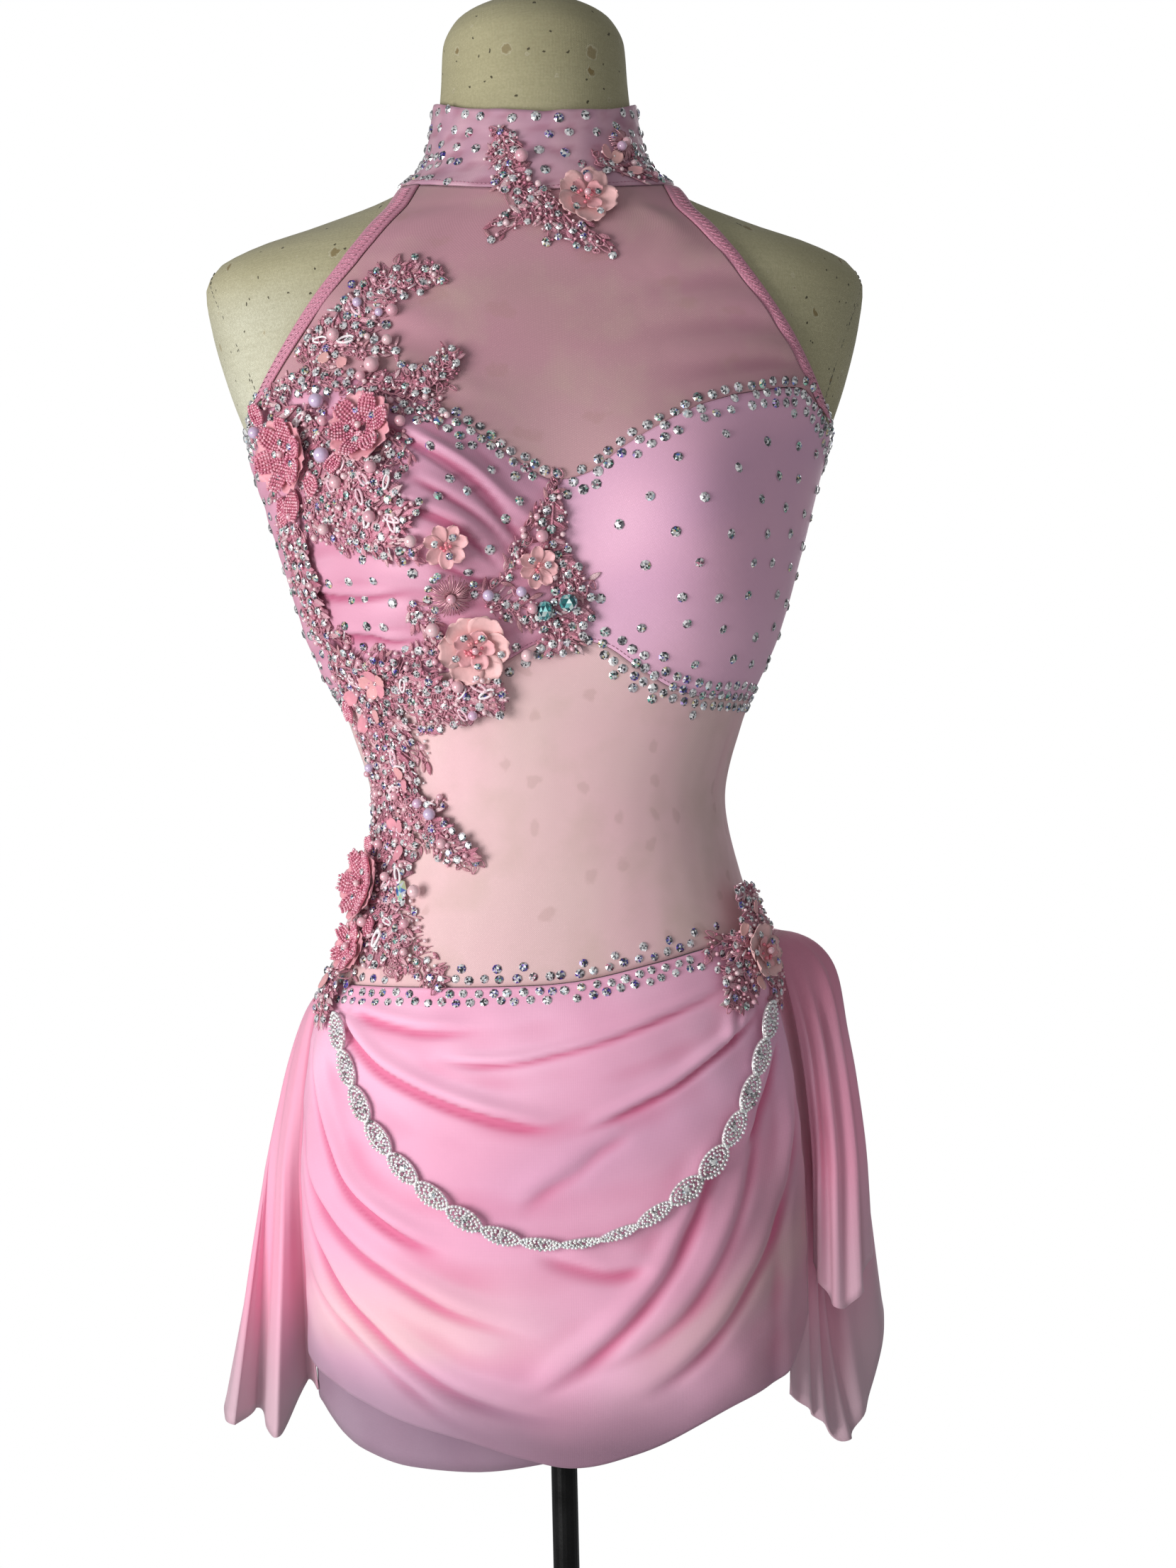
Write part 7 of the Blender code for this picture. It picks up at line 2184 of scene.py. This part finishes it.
EDGE_STONES = [
    # seam, span of angles, rows as (offset, how much farther apart), spacing, surface, lift
    (BUST_TOP, (-80, -1.0), ((0.0036, 1.0), (-0.0020, 1.0), (-0.0078, 1.05)), 0.0066, body, bodice_lift),
    (BUST_TOP, (1.0, 88), ((0.0036, 1.05), (-0.0020, 1.0), (-0.0078, 1.15)), 0.0068, body, bodice_lift),
    (BUST_FOOT, (2, 88), ((0.0062, 1.15), (0.0010, 1.0), (-0.0046, 1.0), (-0.0096, 1.9)), 0.0070, body, bodice_lift),
    (BUST_FOOT, (-88, -2), ((0.0040, 1.2), (-0.0012, 1.1), (-0.0060, 1.2)), 0.0078, body, bodice_lift),
    (BUST_TOP, (90, 270), ((-0.0030, 1.0), (-0.0085, 1.0)), 0.0090, body, back_band_lift),
    (BUST_FOOT, (90, 270), ((0.0030, 1.0), (0.0085, 1.0)), 0.0090, body, back_band_lift),
    (WAIST_SEAM, (-72, 52), ((-0.0036, 1.0), (-0.0082, 1.0)), 0.0076, hips, drape_lift),
    (WAIST_SEAM, (-62, 52), ((0.0042, 1.0),), 0.0084, body, midriff_lift),
    (WAIST_SEAM, (-50, 50), ((0.0094, 1.0),), 0.0168, body, midriff_lift),
    (WAIST_SEAM, (60, 292), ((0.0040, 1.0), (0.0090, 1.0)), 0.0092, body, back_waist_lift),
]


def edge_rows(table, span, rows, spacing, surface, lift, draw):
    """Staggered rows of stones along a seam. Those of the waist seam are finer and cooler."""
    kinds, gap, sizes = SPLIT, 0.0056, (0.0027, 0.0029)
    if table is WAIST_SEAM:
        kinds, gap, sizes = COOL, 0.0050, (0.0024, 0.0026)
    angles = np.linspace(*span, 240)
    for k, (offset, thin) in enumerate(rows):
        angle, height = along((angles, seam(table, angles)), surface, spacing * thin, offset, start=0.5 * (k % 2))
        angle = angle + draw.normal(0, 0.25, len(angle))
        height = height + draw.normal(0, 0.0004, len(angle))
        stones_on(surface, lift, angle, height, draw, kinds, gap, sizes)


def staggered(angle_span, height_span, step, rise, draw, jitter=0.10):
    """A staggered net of places, as metres on the body's round."""
    spots = []
    wide = hip_metres(np.array(angle_span))
    for k, height in enumerate(np.arange(*height_span, rise)):
        for x in np.arange(wide[0] + step * 0.5 * (k % 2), wide[1], step):
            spots.append((x + draw.normal(0, jitter * step), height + draw.normal(0, jitter * rise)))
    spots = np.array(spots)
    return np.degrees(spots[:, 0] / HIP_RADIUS), spots[:, 1]


def within_band(angle, height, top_gap, foot_gap):
    """Which places of the bust band keep one gap from its upper edge and another from its lower edge."""
    return (seam(BUST_TOP, angle) - height > top_gap) & (height - seam(BUST_FOOT, angle) > foot_gap)


def make_cup_stones():
    """The loose stones of both cups, clear of the flowers. They come first, and lace goes round them."""
    draw = np.random.default_rng(90)
    for span, step, rise, jitter, inset, lift in (
            ((3, 108), 0.0262, 0.0165, 0.10, 0.014, plain_lift), ((-86, -3), 0.0150, 0.0125, 0.16, 0.011, draped_lift)):
        angle, height = staggered(span, (1.006, 1.175), step, rise, draw, jitter)
        clear = within_band(angle, height, inset, inset - 0.002) & (angle < 87)
        clear &= off_flowers(body(angle, height), FLOWER_SPOTS[:, 3] + 0.002)
        clear &= cover_lift("body", angle, height) < lift(angle, height) + 0.0009
        stones_on(body, lift, angle[clear], height[clear], draw, SPLIT, 0.008)


def on_collar(angle, part, draw, gap):
    """Stones on the collar, at shares of its height from the top."""
    top, foot = seam(COLLAR_TOP, angle), seam(COLLAR_FOOT, angle)
    stones_on(body, collar_lift, angle, top + (foot - top) * part, draw, SOFT_ROSE, gap)


def make_stones():
    draw = np.random.default_rng(91)
    for row in EDGE_STONES:
        edge_rows(*row, draw)
    angle, height = staggered((92, 268), (1.012, 1.118), 0.030, 0.018, draw)
    near = within_band(angle, height, 0.016, 0.015)
    stones_on(body, back_band_lift, angle[near], height[near], draw, SPLIT, 0.008)
    # the collar: loose rows, and clusters at its two front corners
    for k, part in enumerate((0.09, 0.30, 0.52, 0.74, 0.93)):
        angle = np.arange(-180, 180, 13.5) + 6.7 * (k % 2) + draw.normal(0, 1.3, 27)
        on_collar(angle, part + draw.normal(0, 0.02, 27), draw, 0.0058)
    for middle in (-62, 58):
        on_collar(middle + draw.normal(0, 8, 60), draw.uniform(0.55, 0.99, 60), draw, 0.0050)


def kite():
    """A large cut drop at the wearer's right of the waist."""
    place, normal = frame_off(body, 0.0062, -48.4, 0.898)
    points, groups = gem(7, 0.5, 0.40, 0.10)
    points = points * [0.62, 1.0, 0.8]
    points[:, 0] *= np.where(points[:, 1] < 0, 1 - 0.45 * np.abs(points[:, 1]), 1)
    draw = np.random.default_rng(95)
    glints = palette((150, 220, 205), (60, 90, 170), (220, 235, 190), (235, 240, 250), (120, 190, 220))
    facets = [glints[draw.integers(5, size=len(group))] for group in groups]
    scatter("kite_drop", (points, groups), place, normal, 0.0066, STONE, spin=np.array([0.12]),
            smooth_faces=False, facets=facets)


def make_beads():
    """The two large crystal beads at the bust centre."""
    draw = np.random.default_rng(97)
    # The crystal's aqua, with painted reflections: its facets run from dark to near white.
    aqua_and_reflections = palette((40, 120, 124), (150, 226, 224), (86, 176, 178), (226, 246, 244), (30, 84, 96))
    sides, tilts = 10, np.radians([52, 22, -8, -36, -60])
    i = np.arange(sides)
    after = (i + 1) % sides
    for name, angle, height, lift, radius, stretch in BEADS:
        centre = lifted(body, angle, height, np.array(lift))
        points = [centre + [0, 0, radius * stretch]]
        for k, tilt in enumerate(tilts):
            turn = (i + 0.5 * (k % 2)) * 2 * np.pi / sides
            ring = np.stack([np.cos(turn) * np.cos(tilt), np.sin(turn) * np.cos(tilt), 0 * turn], -1)
            points += list(centre + ring * radius + [0, 0, radius * stretch * np.sin(tilt)])
        points.append(centre - [0, 0, radius * stretch])
        triangles = [np.stack([0 * i, 1 + i, 1 + after], -1)]
        for k in range(len(tilts) - 1):
            up, low = 1 + k * sides, 1 + (k + 1) * sides
            pairs = (((up + i, low + i, up + after), (up + after, low + i, low + after)) if k % 2 == 0 else
                     ((up + i, low + i, low + after), (up + i, low + after, up + after)))
            triangles += [np.stack(corners, -1) for corners in pairs]
        last = 1 + (len(tilts) - 1) * sides
        triangles.append(np.stack([0 * i + len(points) - 1, last + after, last + i], -1))
        faces = np.concatenate(triangles)
        made = build(name + "_cut", points, [faces], GLASS, smooth_faces=False,
                     facets=aqua_and_reflections[draw.integers(5, size=len(faces))])
        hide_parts(name)


TRIM_KINDS = [
    # kind, form, look, slot, colours
    ("pearl", ball(14, 10), PEARL, "crystal", [(226, 176, 186), (222, 164, 178), (230, 190, 196)]),
    ("opal", ball(14, 10), PEARL, "crystal", [(214, 176, 206), (206, 184, 216)]),
    ("small_pearl", ball(8, 6), PEARL, "crystal", [(226, 172, 186), (232, 196, 202)]),
    ("seed", ball(5, 4), SEED, "beaded_petal", [(230, 168, 182), (240, 206, 212), (206, 120, 146), (236, 226, 228)]),
    ("rose_seed", ball(5, 4), SEED, "beaded_petal", [(220, 134, 156), (234, 170, 186), (206, 112, 140)]),
    ("pink_seed", ball(6, 4), SEED, "beaded_petal", [(230, 120, 136), (238, 146, 152), (220, 104, 124)]),
    ("bugle", bugle_form(), METAL, "lace", [(226, 196, 204), (214, 170, 184), (236, 224, 228)]),
]


def make_trims():
    """Every kind of stone, pearl and bead as one mesh."""
    draw = np.random.default_rng(99)
    template = gem()
    for kind in ("clear", "teal", "violet", "rose"):
        place, normal, size = stacked(TRIMS.kept[kind])
        normal = unit(normal + draw.normal(0, 0.07, normal.shape))
        scatter("stones_" + kind, template, place, normal, size, STONE, seed=101, smooth_faces=False,
                facets=facet_colours(draw, len(place), template, kind))
    for kind, form, look, slot, tones in TRIM_KINDS:
        place, normal, size = stacked(TRIMS.kept[kind])
        tint = palette(*tones)[draw.integers(len(tones), size=len(place))]
        scatter(kind + "_trims", form, place, normal, size, look, seed=102, tint=tint)
    # white-edged leaf sequins, scattered over the larger branches
    found = []
    for name, count in (("lace_bust_body", 10), ("lace_waist_side", 12), ("lace_underbust", 6), ("lace_armhole", 4)):
        row = next(row for row in LACES if row[0] == name)
        angle, height = lace_at(row, draw.uniform(0.1, 0.95, count), draw.uniform(-0.8, 0.8, count))
        found.append(frame_off(SURFACES[row[1]], row[2] + 0.0017, angle, height))
    place, normal = stacked(found)
    tint = palette((246, 236, 240), (240, 200, 212))[draw.integers(2, size=len(place))]
    scatter("leaf_sequins", ring_form(), place, normal, draw.uniform(0.007, 0.010, len(place)), PEARL,
            seed=103, tint=tint)


def running_stitch(name, table, span, lift, colour):
    """A row of small topstitches beside a seam."""
    angles = np.linspace(*span, 400)
    line = (angles, seam(table, angles))
    strands(name, stitches(body, lift, line, 0.0026, 0.0016, 0.60, 0.00012, 0.00024, 4), THREAD, colour)


make_form()
make_collar()
make_yoke()
make_cups()
make_midriff()
make_underskirt()
make_drape()
make_flares()
make_chain()
make_cup_stones()
make_lace_and_flowers()
make_stones()
kite()
make_beads()
make_trims()
running_stitch("collar_topstitch", COLLAR_FOOT, (-180, 179), collar_lift, (200, 130, 158))
running_stitch("bust_topstitch", BUST_FOOT, (-86, 86), bodice_lift, (196, 128, 160))

# ---- Stage, lights and camera ----


def plain_object(name, points, faces, look):
    mesh = bpy.data.meshes.new(name)
    mesh.from_pydata(points, [], faces)
    mesh.materials.append(look)
    made = bpy.data.objects.new(name, mesh)
    bpy.context.scene.collection.objects.link(made)
    return made


def make_stage():
    look, tree, shader = material("floor_pale")
    set_shader(shader, Roughness=0.9, Base_Color=mix_colours(tree, patches(tree, 0.4, 0.3, 0.7), (0.82, 0.82, 0.82),
                                                             (0.86, 0.86, 0.86)))
    turns = np.linspace(0, 2 * np.pi, 96, endpoint=False)
    floor = plain_object("floor", [(1.30 * np.cos(t), 1.30 * np.sin(t), 0) for t in turns], [tuple(range(96))], look)
    # a white wall all round, seen by the camera alone, as the photograph's plain white
    look, _, shader = material("wall_white")
    set_shader(shader, Base_Color=(0.0, 0.0, 0.0), Emission_Color=(1.0, 1.0, 1.0), Emission_Strength=1.0,
               Specular_IOR_Level=0.0)
    turns = np.linspace(0, 2 * np.pi, 64, endpoint=False)
    points = [(9 * np.cos(t), 9 * np.sin(t), z) for z in (-7, 9) for t in turns]
    faces = [(k, (k + 1) % 64, 64 + (k + 1) % 64, 64 + k) for k in range(64)]
    wall = plain_object("white_wall", points, faces + [tuple(range(64)), tuple(range(64, 128))], look)
    for sort in ("diffuse", "glossy", "transmission", "volume_scatter", "shadow"):
        setattr(wall, "visible_" + sort, False)


def area_light(name, place, aim, size, power, colour=(1, 1, 1)):
    data = bpy.data.lights.new(name, "AREA")
    data.shape, data.size, data.energy, data.color = "DISK", size, power, colour
    made = bpy.data.objects.new(name, data)
    made.location = place
    made.rotation_euler = (Vector(aim) - Vector(place)).to_track_quat("-Z", "Y").to_euler()
    bpy.context.scene.collection.objects.link(made)


def make_lights():
    world = bpy.data.worlds.new("soft_studio")
    bpy.context.scene.world = world
    world.use_nodes = True
    sky = world.node_tree.nodes["Background"]
    sky.inputs["Color"].default_value = (0.96, 0.98, 1.0, 1)
    sky.inputs["Strength"].default_value = 0.27
    area_light("key", (-1.17, -0.98, 0.86), (0.0, 0.0, 0.86), 0.9, 21, (1.0, 0.99, 0.98))
    area_light("front", (-0.2, -2.6, 1.5), (0.0, 0.0, 1.0), 1.6, 5)
    area_light("back", (0.8, 2.2, 1.8), (0.0, 0.0, 0.9), 1.6, 15)


def make_camera():
    turn = math.radians(-5)
    ahead = Vector((-math.sin(turn), math.cos(turn), 0))
    right = Vector((math.cos(turn), math.sin(turn), 0))
    data = bpy.data.cameras.new("camera")
    data.sensor_fit, data.sensor_height, data.sensor_width, data.lens = "VERTICAL", 36, 36, 52
    camera = bpy.data.objects.new("camera", data)
    bpy.context.scene.collection.objects.link(camera)
    up = right.cross(ahead)
    place = Vector((0, 0, 0.955)) - ahead * 1.30 + right * 0.0226
    tilt = Matrix((right, up, -ahead)).transposed() @ Matrix.Rotation(math.radians(-1.31), 3, "Z")
    camera.matrix_world = Matrix.Translation(place) @ tilt.to_4x4()
    bpy.context.scene.camera = camera


make_stage()
make_lights()
make_camera()
bpy.context.scene.view_settings.view_transform = "Standard"
